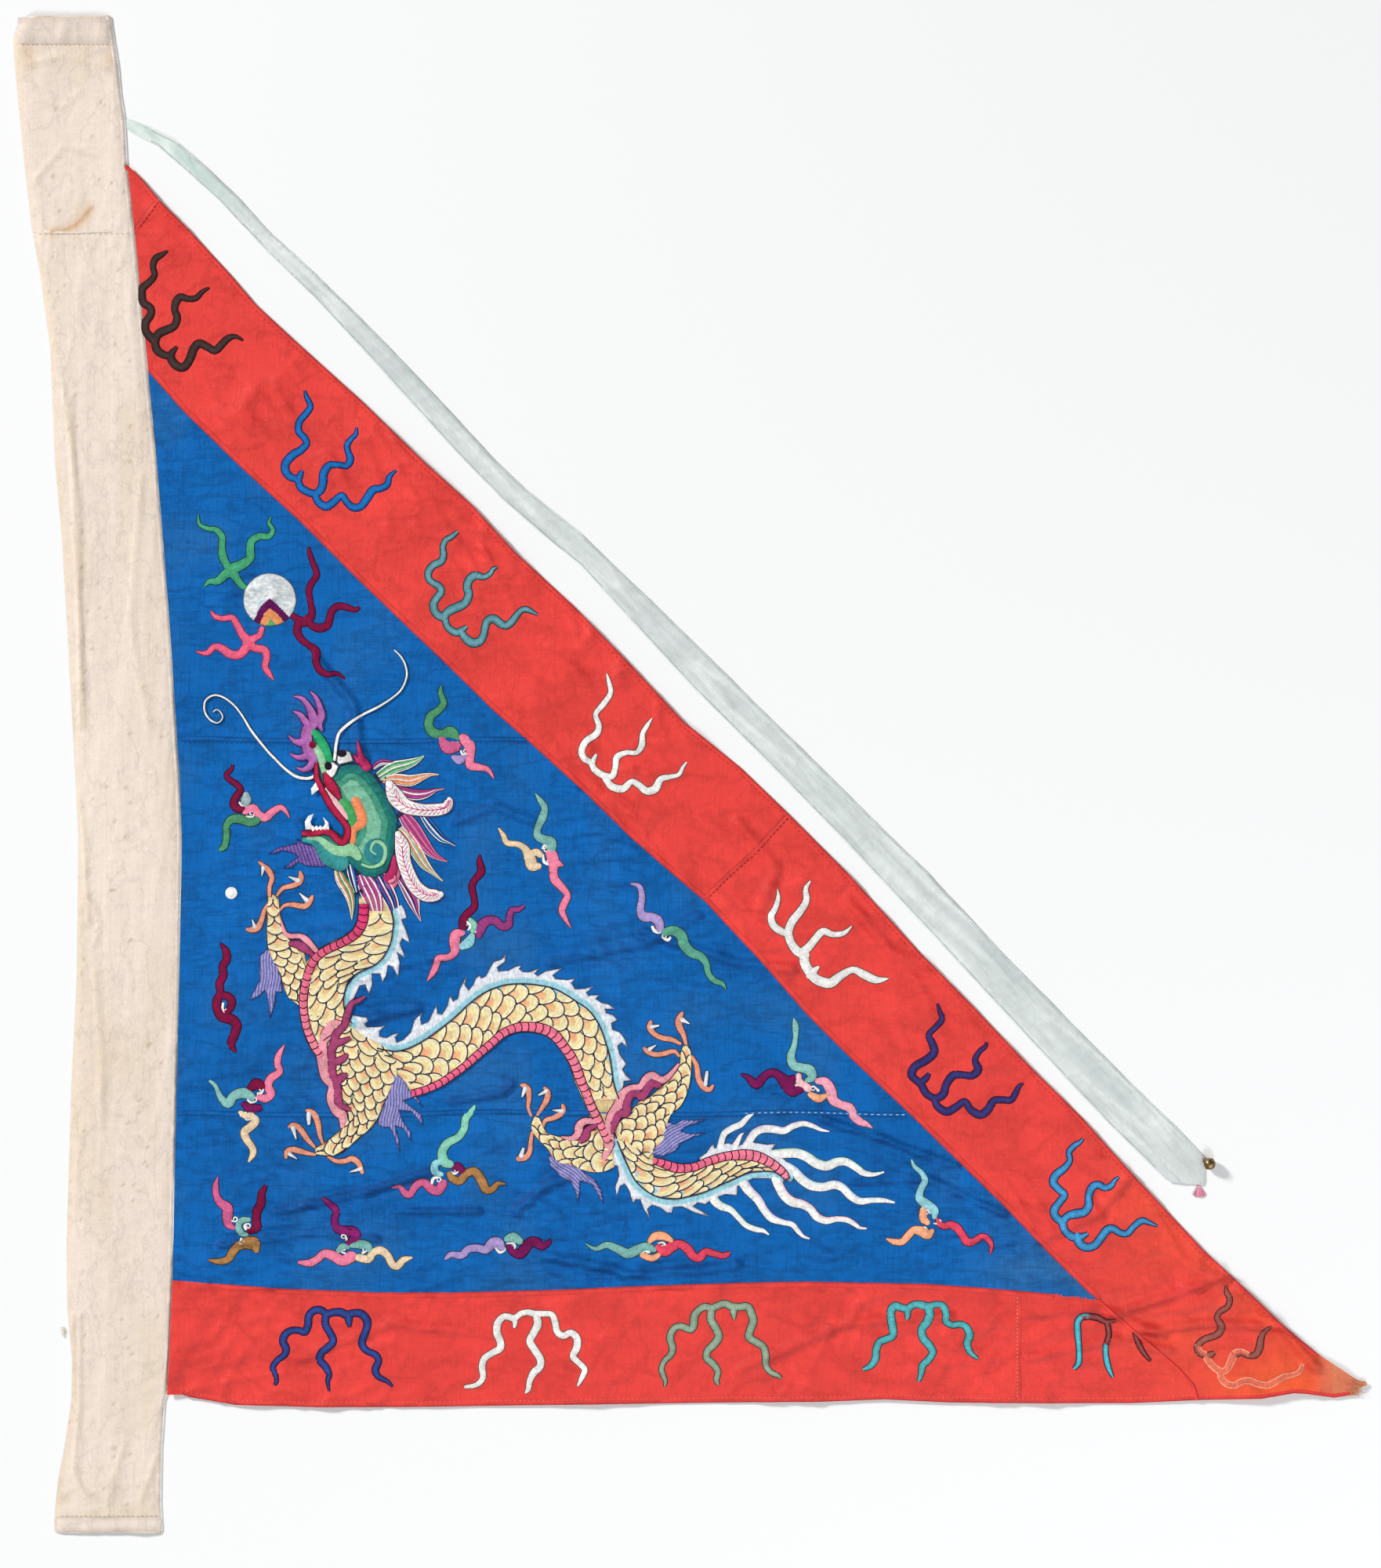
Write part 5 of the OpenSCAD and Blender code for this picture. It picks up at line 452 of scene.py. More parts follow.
TOE_LINES = [[[-537,-155,4],[-537,-143,5],[-534,-132,6],[-538,-123,7],[-544,-117,6],[-551,-111,2]],
    [[-528,-155,3],[-520,-145,5],[-509,-142,6],[-500,-138,7],[-497,-131,7],[-498,-125,4]],
    [[-525,-174,3],[-518,-167,4],[-507,-166,6],[-493,-168,7],[-486,-162,7],[-482,-154,3]],
    [[-539,-165,3],[-544,-174,5],[-547,-185,6],[-552,-195,8],[-560,-198,7],[-567,-197,3]],
    [[-469,-471,3],[-473,-460,5],[-475,-446,7],[-479,-435,7],[-484,-430,6],[-491,-428,3]],
    [[-479,-476,3],[-488,-466,6],[-495,-456,7],[-501,-449,7],[-508,-447,6],[-513,-450,3]],
    [[-478,-485,3],[-488,-483,5],[-499,-480,7],[-508,-478,7],[-515,-481,6],[-516,-488,4]],
    [[-463,-487,3],[-452,-493,5],[-441,-493,6],[-432,-490,7],[-424,-495,7],[-419,-507,5]],
    [[-203,-436,3],[-207,-425,4],[-206,-412,6],[-207,-402,7],[-212,-397,6],[-217,-396,3]],
    [[-196,-435,3],[-190,-426,5],[-184,-416,7],[-182,-406,7],[-186,-400,4]],
    [[-188,-449,3],[-185,-441,5],[-175,-438,6],[-166,-433,7],[-162,-427,6],[-163,-422,4]],
    [[-202,-457,4],[-204,-469,5],[-205,-480,6],[-210,-488,7],[-219,-490,7]],
    [[-6,-343,4],[-9,-332,6],[-14,-322,8],[-15,-313,8],[-11,-305,5]],
    [[-12,-344,3],[-24,-338,6],[-36,-336,6],[-46,-331,6],[-52,-323,7],[-51,-316,5]],
    [[-14,-360,3],[-21,-353,5],[-34,-356,6],[-46,-357,6],[-55,-353,6],[-60,-348,3]],
    [[2,-360,4],[8,-372,6],[10,-387,7],[16,-398,7],[24,-402,6],[29,-396,3]]]
TALON_LINES = [[[-545,-119,5],[-547,-129,1]],[[-501,-135,6],[-513,-130,1]],[[-490,-160,6],[-499,-151,1]],
    [[-556,-194,5],[-559,-185,1]],[[-487,-433,6],[-487,-445,4]],[[-507,-451,6],[-503,-465,1]],
    [[-511,-484,5],[-502,-490,1]],[[-421,-503,5],[-435,-507,1]],[[-211,-401,6],[-215,-411,2]],
    [[-184,-404,5],[-194,-409,2]],[[-164,-429,5],[-176,-428,1]],[[-216,-486,6],[-213,-476,3]],
    [[-10,-313,6],[-1,-318,1]],[[-50,-322,5],[-40,-320,2]],[[-52,-350,5],[-44,-345,1]],
    [[19,-395,5],[21,-380,4]]]
CLOUD_COLOURS = """green rose lavender pink crimson grey green pink cream cream teal pink pink
crimson mint plum pink sky crimson crimson lavender fern jade crimson wine pink cream mint sky rose
wine brown rose crimson teal brown purple pink teal teal cream lavender teal wine teal peach peach
scarlet jade wine wine pale peach blush sky peach peach scarlet""".split()

# Where two widths of silk meet, and the other joins
UPPER_SEAM_Y = 44
LOWER_SEAM_Y = -432
FOOT_SEAM_X = 419
CROSS_SEAM_Y = 692
TOP_SEAM = [[-679, 734], [-707, 697]]
MIDDLE_SEAM = [[125, -50], [17, -160]]

# The line at which the streamer is split into its near and end halves: a point on it, and the direction
# along the streamer
STREAMER_FOLD = np.array([-100.0, 246.0])
STREAMER_ALONG = np.array([0.7071, -0.7071])


def rgb(r, g, b):
    """A screen colour, 0 to 255, as the linear colour that the materials take."""
    c = np.array([r, g, b]) / 255
    return np.where(c <= 0.04045, c / 12.92, ((c + 0.055) / 1.055) ** 2.4)


COLOURS = {
    "green": rgb(76, 146, 104), "jade": rgb(132, 188, 182), "mint": rgb(135, 205, 180),
    "teal": rgb(122, 178, 172), "sea": rgb(58, 150, 152), "sky": rgb(145, 205, 215),
    "lavender": rgb(172, 150, 205), "purple": rgb(134, 28, 106), "plum": rgb(150, 60, 125),
    "pink": rgb(236, 128, 158), "blush": rgb(238, 160, 180), "fern": rgb(92, 166, 140),
    "ruby": rgb(184, 44, 98), "rose": rgb(205, 95, 140), "pale": rgb(240, 190, 195),
    "crimson": rgb(125, 12, 62), "wine": rgb(120, 18, 85), "scarlet": rgb(222, 70, 95),
    "grey": rgb(150, 175, 178), "cream": rgb(232, 206, 172), "peach": rgb(246, 172, 132),
    "brown": rgb(170, 122, 72), "white": rgb(244, 243, 240), "navy": rgb(22, 40, 110),
    "blue": rgb(30, 110, 185), "orange": rgb(240, 142, 96), "magenta": rgb(196, 60, 130),
    "emerald": rgb(40, 165, 105), "celadon": rgb(150, 205, 160), "ink": rgb(52, 50, 60),
    "leaf": rgb(70, 165, 95), "lilac": rgb(168, 78, 150),
}
BLUE = rgb(5, 100, 178)
RED = rgb(231, 67, 61)
COTTON = rgb(234, 219, 206)
GAUZE = rgb(208, 215, 214)


# ---- smooth random height and colour -------------------------------------------------------------
LATTICE = RNG.random((64, 64))


def noise(x, y):
    """Smooth noise from 0 to 1, one cell to a unit."""
    xi, yi = np.floor(x).astype(int), np.floor(y).astype(int)
    u, v = x - xi, y - yi
    u, v = u * u * (3 - 2 * u), v * v * (3 - 2 * v)
    a, b = LATTICE[xi % 64, yi % 64], LATTICE[(xi + 1) % 64, yi % 64]
    c, d = LATTICE[xi % 64, (yi + 1) % 64], LATTICE[(xi + 1) % 64, (yi + 1) % 64]
    return (a * (1 - u) + b * u) * (1 - v) + (c * (1 - u) + d * u) * v


def wrinkles(x, y, degrees, along, across, sharp=2.5):
    """Long thin ridges, 0 to 1, that run at an angle to X."""
    ca, sa = math.cos(math.radians(degrees)), math.sin(math.radians(degrees))
    bend = 1.6 * noise(x / 150 + 9, y / 150 + 3)
    n = noise((x * ca + y * sa) / along + 5, (y * ca - x * sa) / across + bend)
    return (1 - np.abs(2 * n - 1)) ** sharp


def distance(x, y, line):
    """Distance from each point to a polyline."""
    best = np.full(np.shape(x), 1e9)
    line = np.asarray(line, float)
    for (ax, ay), (bx, by) in zip(line[:-1], line[1:]):
        dx, dy = bx - ax, by - ay
        t = np.clip(((x - ax) * dx + (y - ay) * dy) / (dx * dx + dy * dy + 1e-9), 0, 1)
        best = np.minimum(best, np.hypot(x - ax - t * dx, y - ay - t * dy))
    return best


def arc_of(p):
    """How far along a line each of its points is."""
    p = np.asarray(p, float)[:, :2]
    return np.r_[0, np.cumsum(np.linalg.norm(np.diff(p, axis=0), axis=1))]


def left_of(p):
    """At each point of a line, the unit step to its left."""
    tangent = np.gradient(np.asarray(p, float)[:, :2], axis=0)
    tangent /= np.linalg.norm(tangent, axis=1)[:, None] + 1e-9
    return np.c_[-tangent[:, 1], tangent[:, 0]]


def round_outline(x, y, rx, ry, count):
    turns = np.linspace(0, 2 * math.pi, count)[:-1]
    return [[x + rx * math.cos(a), y + ry * math.sin(a)] for a in turns]


def inside(x, y, loop):
    """Which points lie in a closed outline."""
    loop = np.asarray(loop, float)
    result = np.zeros(np.shape(x), bool)
    for (ax, ay), (bx, by) in zip(loop, np.roll(loop, -1, axis=0)):
        if ay != by:
            result ^= ((ay > y) != (by > y)) & (x < (bx - ax) * (y - ay) / (by - ay) + ax)
    return result


# Deep single creases in the silk: height, half width and path
CREASES = [
    [1.4, 4, [[-531, -558], [-413, -532], [-332, -506]]],
    [1.3, 5, [[-222, -556], [-183, -522], [-159, -514]]],
    [1.2, 4, [[-306, -417], [-243, -407], [-228, -394]]], [1.2, 5, [[-426, -315], [-348, -297]]],
    [1.1, 4, [[-379, -557], [-270, -557]]], [1.0, 4, [[-600, -600], [-480, -585], [-400, -592]]],
    [1.2, 5, [[-60, -200], [60, -240], [130, -246]]], [1.0, 5, [[-180, -240], [-60, -215], [10, -180]]],
    [1.2, 4, [[170, -440], [260, -470], [340, -500]]], [1.0, 4, [[200, -520], [300, -515], [400, -560]]],
    [1.1, 5, [[-480, 150], [-430, 90], [-420, 20]]], [1.0, 5, [[-300, -60], [-250, -40], [-200, -60]]],
    [1.0, 5, [[-430, -150], [-470, -110], [-500, -60]]], [1.2, 5, [[-200, -610], [-60, -640], [60, -625]]],
    [1.4, 5, [[531, -690], [640, -655], [720, -620]]], [1.3, 5, [[560, -712], [660, -700], [760, -705]]],
    [1.2, 6, [[430, -600], [520, -560], [560, -510]]], [1.2, 6, [[700, -655], [750, -700], [800, -760]]],
    [1.1, 5, [[425, -690], [520, -680], [600, -715]]], [1.0, 5, [[430, -745], [540, -720], [610, -735]]],
    [1.0, 6, [[200, -160], [260, -230], [330, -250]]], [1.0, 6, [[60, -60], [110, -120], [90, -170]]],
    [0.9, 5, [[-500, -745], [-380, -700], [-250, -715]]], [0.9, 5, [[60, -760], [200, -700], [330, -690]]],
]

# The silk's height is worked out once, on a grid
GRID_STEP = 3.0
GRID_X = 900
GRID_Y = 1000
GX, GY = np.meshgrid(np.arange(-GRID_X, GRID_X + 1, GRID_STEP), np.arange(-GRID_Y, GRID_Y + 1, GRID_STEP),
                     indexing="ij")
LOWEST_SILK = 0.35


def make_field_height():
    x, y = GX, GY
    blue = inside(x, y, FLY_SEAM + FOOT_SEAM + [[-661, -645], [-649, -80], [-692, 515]])
    foot = y < -655
    patches = np.clip(noise(x / 110 + 31, y / 80 + 7) * 2.0 - 0.45, 0, 1)
    h = 1.0 + 2.4 * noise(x / 170, y / 140) + 1.2 * noise(x / 60 + 3, y / 60)
    silk = 1.0 * wrinkles(x, y, 9, 75, 12) + 0.8 * wrinkles(x, y, -24, 55, 15)
    fly = 1.0 * wrinkles(x, y, -58, 62, 19) + 0.9 * wrinkles(x, y, -16, 50, 20)
    hem = 1.0 * wrinkles(x, y, 14, 70, 19) + 0.7 * wrinkles(x, y, 64, 50, 21)
    h += 3.0 * patches * np.where(blue, silk, np.where(foot, hem, fly))
    # The silk puckers where two widths are joined
    for seam_y, wide in ((UPPER_SEAM_Y, 14), (LOWER_SEAM_Y, 14)):
        h += blue * 1.1 * np.exp(-(((y - seam_y) / wide) ** 2)) * noise(x / 14, y / 30)
    crease = np.zeros(x.shape)
    for height, half, path in CREASES:
        d = distance(x, y, path)
        crease += 3.0 * height * (np.exp(-((d / half) ** 2)) - 0.4
                                  * np.exp(-(((d - 2.2 * half) / half) ** 2)))
    # The torn tip is limp and crumpled
    tip = np.clip((x - 640) / 200, 0, 1)
    h += tip * (3.0 * wrinkles(x, y, -24, 70, 17) + 2.0 * wrinkles(x, y, 20, 50, 20))
    return np.maximum(h + crease, LOWEST_SILK)


def sampler(grid):
    """A function that gives the grid's value at any place."""
    def at(x, y):
        u = np.clip((np.asarray(x, float) + GRID_X) / GRID_STEP, 0, grid.shape[0] - 1.001)
        v = np.clip((np.asarray(y, float) + GRID_Y) / GRID_STEP, 0, grid.shape[1] - 1.001)
        i, j = u.astype(int), v.astype(int)
        u, v = u - i, v - j
        return ((grid[i, j] * (1 - u) + grid[i + 1, j] * u) * (1 - v)
                + (grid[i, j + 1] * (1 - u) + grid[i + 1, j + 1] * u) * v)
    return at


FIELD_GRID = make_field_height()
field_z = sampler(FIELD_GRID)
# How steep the cloth is at each place, for the painted shade in the creases
SLOPE = np.hypot(*np.gradient(FIELD_GRID, GRID_STEP))
field_slope = sampler(SLOPE)


SLEEVE_RIGHT = [[-674, -965], [-676, -930], [-675, -860], [-671, -800]] + HOIST_SEAM + [
    [-722, 838], [-727, 870], [-730, 905], [-735, 935], [-740, 968]]


def sleeve_edges(y):
    left = np.array(SLEEVE_LEFT, float)
    right = np.array(SLEEVE_RIGHT, float)
    return np.interp(y, left[:, 1], left[:, 0]), np.interp(y, right[:, 1], right[:, 0])


# Creases in the sleeve: height, half width and path
SLEEVE_CREASES = [
    [1.2, 3, [[-800, 500], [-780, 340], [-778, 60]]], [1.0, 3, [[-790, 480], [-785, 300], [-772, 60]]],
    [0.9, 3, [[-770, -150], [-752, -190], [-762, -220]]],
    [0.9, 4, [[-760, -250], [-752, -350], [-750, -450]]],
    [1.3, 3, [[-787, -690], [-787, -800]]],
    [1.1, 3, [[-778, -690], [-779, -800], [-786, -890], [-772, -915], [-750, -925]]],
    [1.1, 4, [[-720, -850], [-735, -900], [-742, -930]]], [1.0, 4, [[-680, -870], [-700, -925]]],
    [0.9, 4, [[-835, 760], [-800, 800], [-765, 790]]], [0.9, 4, [[-850, 905], [-800, 915], [-745, 900]]],
    [0.8, 3, [[-840, 860], [-800, 850], [-780, 870]]], [0.8, 4, [[-700, 380], [-715, 200], [-690, 60]]],
    [1.0, 3, [[-780, -30], [-775, -55], [-768, -190]]],
]


def sleeve_crease(x, y):
    total = np.zeros(np.shape(x))
    for height, half, path in SLEEVE_CREASES:
        total += height * np.exp(-((distance(x, y, path) / half) ** 2))
    return total


def sleeve_z(x, y):
    """Top of the sleeve's front, pressed nearly flat."""
    left, right = sleeve_edges(y)
    s = np.clip((x - left) / (right - left), 0, 1)
    puff = 1 - np.abs(2 * s - 1) ** 12
    h = 2.4 + 1.0 * noise(x / 60 + 4, y / 220) + 0.8 * wrinkles(x, y, 86, 190, 14, 5)
    h += 0.5 * wrinkles(x, y, 38, 70, 16, 5)
    h += 0.5 * wrinkles(x, y, -42, 60, 15, 5)
    ends = np.clip((np.abs(y) - 880) / 60, 0, 1)
    h += ends * 1.6 * wrinkles(x, y, 8, 40, 9)
    return 0.5 + puff * (h + 1.6 * sleeve_crease(x, y))


def streamer_z(x, y):
    along = (x - y) / 1.414
    h = 0.55 + 1.0 * noise(along / 70, (x + y) / 40) + 1.6 * wrinkles(x, y, -44, 120, 11)
    return h + 0.9 * wrinkles(x, y, 10, 30, 12)


# ---- meshes ---------------------------------------------------------------------------------------
class Parts:
    """Collects faces with a colour and a place along and across the threads at each vertex."""

    def __init__(self):
        self.v, self.f, self.c, self.uv, self.n = [], [], [], [], 0

    def add(self, v, f, c, uv):
        v = np.asarray(v, float).reshape(-1, 3)
        self.v.append(v)
        self.f.append(np.asarray(f, int) + self.n)
        self.c.append(np.broadcast_to(np.asarray(c, float), (len(v), 3)))
        self.uv.append(np.asarray(uv, float).reshape(-1, 2))
        self.n += len(v)


def finish_mesh(name, parts, material):
    v = np.concatenate(parts.v) / MM
    c = np.concatenate(parts.c)
    if material is SATIN:
        # Worn floss is mottled
        c = c * (0.84 + 0.3 * noise(v[:, 0] * MOTTLE, v[:, 1] * MOTTLE))[:, None]
    c = np.clip(c, 0, 1)
    uv = np.concatenate(parts.uv) / MM
    faces = [row for f in parts.f for row in f.tolist()]
    mesh = bpy.data.meshes.new(name)
    mesh.from_pydata(v.tolist(), [], faces)
    mesh.update()
    colour = mesh.color_attributes.new("Col", "FLOAT_COLOR", "POINT")
    colour.data.foreach_set("color", np.c_[c, np.ones(len(c))].astype(np.float32).ravel())
    layer = mesh.uv_layers.new(name="UVMap")
    index = np.zeros(len(mesh.loops), np.int32)
    mesh.loops.foreach_get("vertex_index", index)
    layer.data.foreach_set("uv", uv[index].astype(np.float32).ravel())
    mesh.polygons.foreach_set("use_smooth", np.full(len(mesh.polygons), True))
    mesh.materials.append(material)
    obj = bpy.data.objects.new(name, mesh)
    bpy.context.scene.collection.objects.link(obj)
    return obj


def grid_faces(rows, cols):
    i = (np.arange(rows - 1)[:, None] * cols + np.arange(cols - 1)[None, :]).ravel()
    return np.c_[i, i + 1, i + cols + 1, i + cols]


def spline(p, n):
    p = np.asarray(p, float)
    out = []
    for i in range(len(p) - 1):
        a, b, c, d = p[max(i - 1, 0)], p[i], p[i + 1], p[min(i + 2, len(p) - 1)]
        for k in range(n):
            t = k / n
            out.append(0.5 * (2 * b + (c - a) * t + (2 * a - 5 * b + 4 * c - d) * t * t
                              + (3 * b - a - 3 * c + d) * t ** 3))
    out.append(p[-1])
    return np.array(out)


def rounded(s):
    """Adds a round end wherever a line of stitches ends broad."""
    for end in (0, 1):
        s = s[::-1] if end else s
        w = s[0, 2]
        if w > 3.5:
            d = s[0, :2] - s[1, :2]
            d = d / (np.linalg.norm(d) + 1e-9)
            extra = [np.r_[s[0, :2] + d * w / 2 * reach, w * math.sqrt(max(1 - reach * reach, 0.02))]
                     for reach in (1.0, 0.93, 0.75, 0.4)]
            s = np.vstack([extra, s])
        s = s[::-1] if end else s
    return s


def ribbon(parts, stroke, surface, lift, dome, colours, grow=0.0, across=6, n=4, smooth=True,
           round_ends=True, fade=None):
    """A line of satin stitch: a domed band of varying width, with its colours spread across it."""
    s = spline(stroke, n) if smooth else np.asarray(stroke, float)
    if round_ends:
        s = rounded(s)
    half = np.maximum(s[:, 2] / 2 + grow, 0.15)
    left = left_of(s)
    t = np.linspace(-1, 1, across + 1)
    xy = s[:, None, :2] + left[:, None, :] * (half[:, None] * t)[:, :, None]
    arc = arc_of(s)
    rise = lift + dome * np.sqrt(1 - t * t)[None, :] * np.minimum(1, half / 4)[:, None]
    z = surface(xy[:, :, 0], xy[:, :, 1]) + rise
    colours = np.atleast_2d(np.array(colours))
    place = np.linspace(-1, 1, len(colours)) if len(colours) > 1 else [0]
    col = np.stack([np.interp(t, place, colours[:, k]) for k in range(3)], axis=1)
    shade = 0.9 + 0.2 * noise(arc / 9 + s[0, 0], arc * 0 + s[0, 1])
    col = col[None, :, :] * shade[:, None, None]
    if fade is not None:
        col = mix(col, fade, (arc / arc[-1])[:, None])
    uv = np.stack([np.broadcast_to(arc[:, None], z.shape), half[:, None] * t], axis=2)
    parts.add(np.dstack([xy, z]), grid_faces(len(s), across + 1), col.reshape(-1, 3), uv)


def thread(parts, path, width, surface, lift, colour):
    """A thin couched thread along a path of [x, y]."""
    path = [[p[0], p[1], width] for p in path]
    ribbon(parts, path, surface, lift, width * 0.45, [colour], across=4, n=3, round_ends=False)


def running_stitches(parts, path, surface, lift, colour, gap=7.0, length=3.6, width=1.1):
    p = np.asarray(path, float)
    arc = arc_of(p)
    for k, a in enumerate(np.arange(gap / 2, arc[-1] - length, gap)):
        a += 0.8 * (noise(np.array(k * 1.7), np.array(3.3)) - 0.5)
        q = [[np.interp(u, arc, p[:, 0]), np.interp(u, arc, p[:, 1]), width]
             for u in (a, a + length / 2, a + length)]
        ribbon(parts, q, surface, lift, 0.5, [colour], across=4, n=1, smooth=False, round_ends=False)


def subdivide(p, step, closed=False):
    p = [list(q[:2]) for q in p] + ([list(p[0][:2])] if closed else [])
    out = []
    for a, b in zip(p[:-1], p[1:]):
        k = max(1, int(math.ceil(math.dist(a, b) / step)))
        out += [[a[0] + (b[0] - a[0]) * i / k, a[1] + (b[1] - a[1]) * i / k] for i in range(k)]
    return out + ([] if closed else [p[-1]])


def triangulate(loop, lines, step):
    """Even triangles inside an outline, with edges along the lines. Returns points and triangles."""
    rim = subdivide(loop, step, closed=True)
    points, edges = [], []
    for path, closed in [(rim, True)] + [(subdivide(line, step), False) for line in lines]:
        first = len(points)
        points += path
        edges += [(first + i, first + i + 1) for i in range(len(path) - 1)]
        if closed:
            edges.append((first + len(path) - 1, first))
    fixed = np.array(points)
    lo, hi = fixed.min(0), fixed.max(0)
    rows = np.arange(lo[1], hi[1], step * ROW_SPACING)
    cols = np.arange(lo[0], hi[0], step)
    x = (cols[None, :] + (np.arange(len(rows)) % 2)[:, None] * step / 2).ravel()
    y = np.repeat(rows, len(cols))
    keep = inside(x, y, rim)
    x, y = x[keep], y[keep]
    # Points too close to a fixed line would make slivers
    cell = {}
    for px, py in points:
        cell.setdefault((int(px // step), int(py // step)), []).append((px, py))
    free = []
    for px, py in zip(x, y):
        i, j = int(px // step), int(py // step)
        near = [q for a in (i - 1, i, i + 1) for b in (j - 1, j, j + 1) for q in cell.get((a, b), ())]
        if all((px - qx) ** 2 + (py - qy) ** 2 > (CLEARANCE * step) ** 2 for qx, qy in near):
            free.append((px, py))
    result = delaunay_2d_cdt([Vector(p) for p in points + free], edges, [], 0, 1e-4)
    v = np.array([tuple(p) for p in result[0]])
    f = np.array([t for t in result[2] if len(t) == 3])
    centre = v[f].mean(1)
    return v, f[inside(centre[:, 0], centre[:, 1], rim)]


def patch(parts, outline, surface, lift, dome, colour, step=2.5, turn=0.0, grow=0.0):
    """A filled shape of stitches. colour(x, y, depth) gives each place its colour; turn lays the threads."""
    if grow:
        p = np.asarray(outline, float)
        d = np.roll(p, -1, 0) - np.roll(p, 1, 0)
        area = np.sum(p[:, 0] * np.roll(p[:, 1], -1) - np.roll(p[:, 0], -1) * p[:, 1])
        out = np.c_[d[:, 1], -d[:, 0]] / (np.linalg.norm(d, axis=1)[:,
                                                                    None] + 1e-9) * (1 if area > 0 else -1)
        outline = (p + out * grow).tolist()
    v, f = triangulate(outline, [], step)
    depth = distance(v[:, 0], v[:, 1], list(outline) + [outline[0]])
    z = surface(v[:, 0], v[:, 1]) + lift + dome * (1 - np.exp(-depth / PATCH_SHOULDER))
    c = colour(v[:, 0], v[:, 1], depth) if callable(colour) else np.broadcast_to(colour, (len(v), 3))
    ca, sa = math.cos(turn), math.sin(turn)
    uv = np.c_[v[:, 0] * ca + v[:, 1] * sa, v[:, 1] * ca - v[:, 0] * sa]
    parts.add(np.c_[v, z], f, c, uv)


def mix(a, b, t):
    t = np.clip(t, 0, 1)[..., None]
    return a * (1 - t) + b * t


# ---- materials ------------------------------------------------------------------------------------
class Nodes:
    def __init__(self, name):
        self.material = bpy.data.materials.new(name)
        self.material.use_nodes = True
        self.tree = self.material.node_tree
        self.bsdf = self.tree.nodes["Principled BSDF"]

    def new(self, kind, **settings):
        node = self.tree.nodes.new(kind)
        for key, value in settings.items():
            if key in node.inputs:
                node.inputs[key].default_value = value
            else:
                setattr(node, key, value)
        return node

    def link(self, a, b):
        self.tree.links.new(a, b)

    def streaks(self, sx, sy, detail=2.0):
        """Noise stretched along the threads, from the piece's own UV map."""
        uv = self.new("ShaderNodeUVMap", uv_map="UVMap")
        mapping = self.new("ShaderNodeMapping")
        mapping.inputs["Scale"].default_value = (sx, sy, 1)
        self.link(uv.outputs["UV"], mapping.inputs["Vector"])
        tex = self.new("ShaderNodeTexNoise", Scale=1.0, Detail=detail, Roughness=0.55)
        self.link(mapping.outputs["Vector"], tex.inputs["Vector"])
        return tex.outputs["Fac"]

    def math(self, operation, a, b):
        node = self.new("ShaderNodeMath", operation=operation)
        for socket, value in zip(node.inputs, (a, b)):
            if isinstance(value, (int, float)):
                socket.default_value = value
            else:
                self.link(value, socket)
        return node.outputs[0]

    def spread(self, value, amount):
        """1 plus or minus amount, from noise about 0.5."""
        return self.math("ADD", self.math("MULTIPLY", value, 4 * amount), 1 - 2 * amount)

    def tint(self, colour, factor):
        node = self.new("ShaderNodeVectorMath", operation="SCALE")
        self.link(colour, node.inputs[0])
        self.link(factor, node.inputs["Scale"])
        return node.outputs[0]

    def bump(self, height, strength, depth):
        node = self.new("ShaderNodeBump", Strength=strength, Distance=depth)
        self.link(height, node.inputs["Height"])
        self.link(node.outputs["Normal"], self.bsdf.inputs["Normal"])


def threads(name, fine, coarse, vary, bump, depth, roughness, specular, crinkle=()):
    """Cloth or floss: colour from the piece, crossed by fine and coarse thread streaks."""
    m = Nodes(name)
    colour = m.new("ShaderNodeAttribute", attribute_name="Col")
    fine_noise = [m.streaks(*scale) for scale in fine]
    coarse_noise = [m.streaks(*scale) for scale in coarse]
    factor = None
    for noise_out, amount in [(n, vary[0]) for n in fine_noise] + [(n, vary[1]) for n in coarse_noise]:
        one = m.spread(noise_out, amount)
        factor = one if factor is None else m.math("MULTIPLY", factor, one)
    height = fine_noise[0]
    for n in fine_noise[1:] + coarse_noise:
        height = m.math("ADD", height, n)
    for scale, sharp, deep, high in crinkle:
        # Fine lines where the cloth has been crumpled: raised by the bump, and a little darker, which is
        # painted shade in the fine creases
        ridge = m.math("ABSOLUTE", m.math("SUBTRACT", m.streaks(*scale, detail=4.0), 0.5), 0.0)
        ridge = m.math("MAXIMUM", m.math("SUBTRACT", 1.0, m.math("MULTIPLY", ridge, sharp)), 0.0)
        factor = m.math("MULTIPLY", factor, m.math("SUBTRACT", 1.0, m.math("MULTIPLY", ridge, deep)))
        height = m.math("ADD", height, m.math("MULTIPLY", ridge, high))
    m.link(m.tint(colour.outputs["Color"], factor), m.bsdf.inputs["Base Color"])
    m.bump(height, bump, depth)
    rough = m.math("ADD", m.math("MULTIPLY", coarse_noise[0], 0.2), roughness - 0.1)
    m.link(rough, m.bsdf.inputs["Roughness"])
    m.bsdf.inputs["Specular IOR Level"].default_value = specular
    return m.material


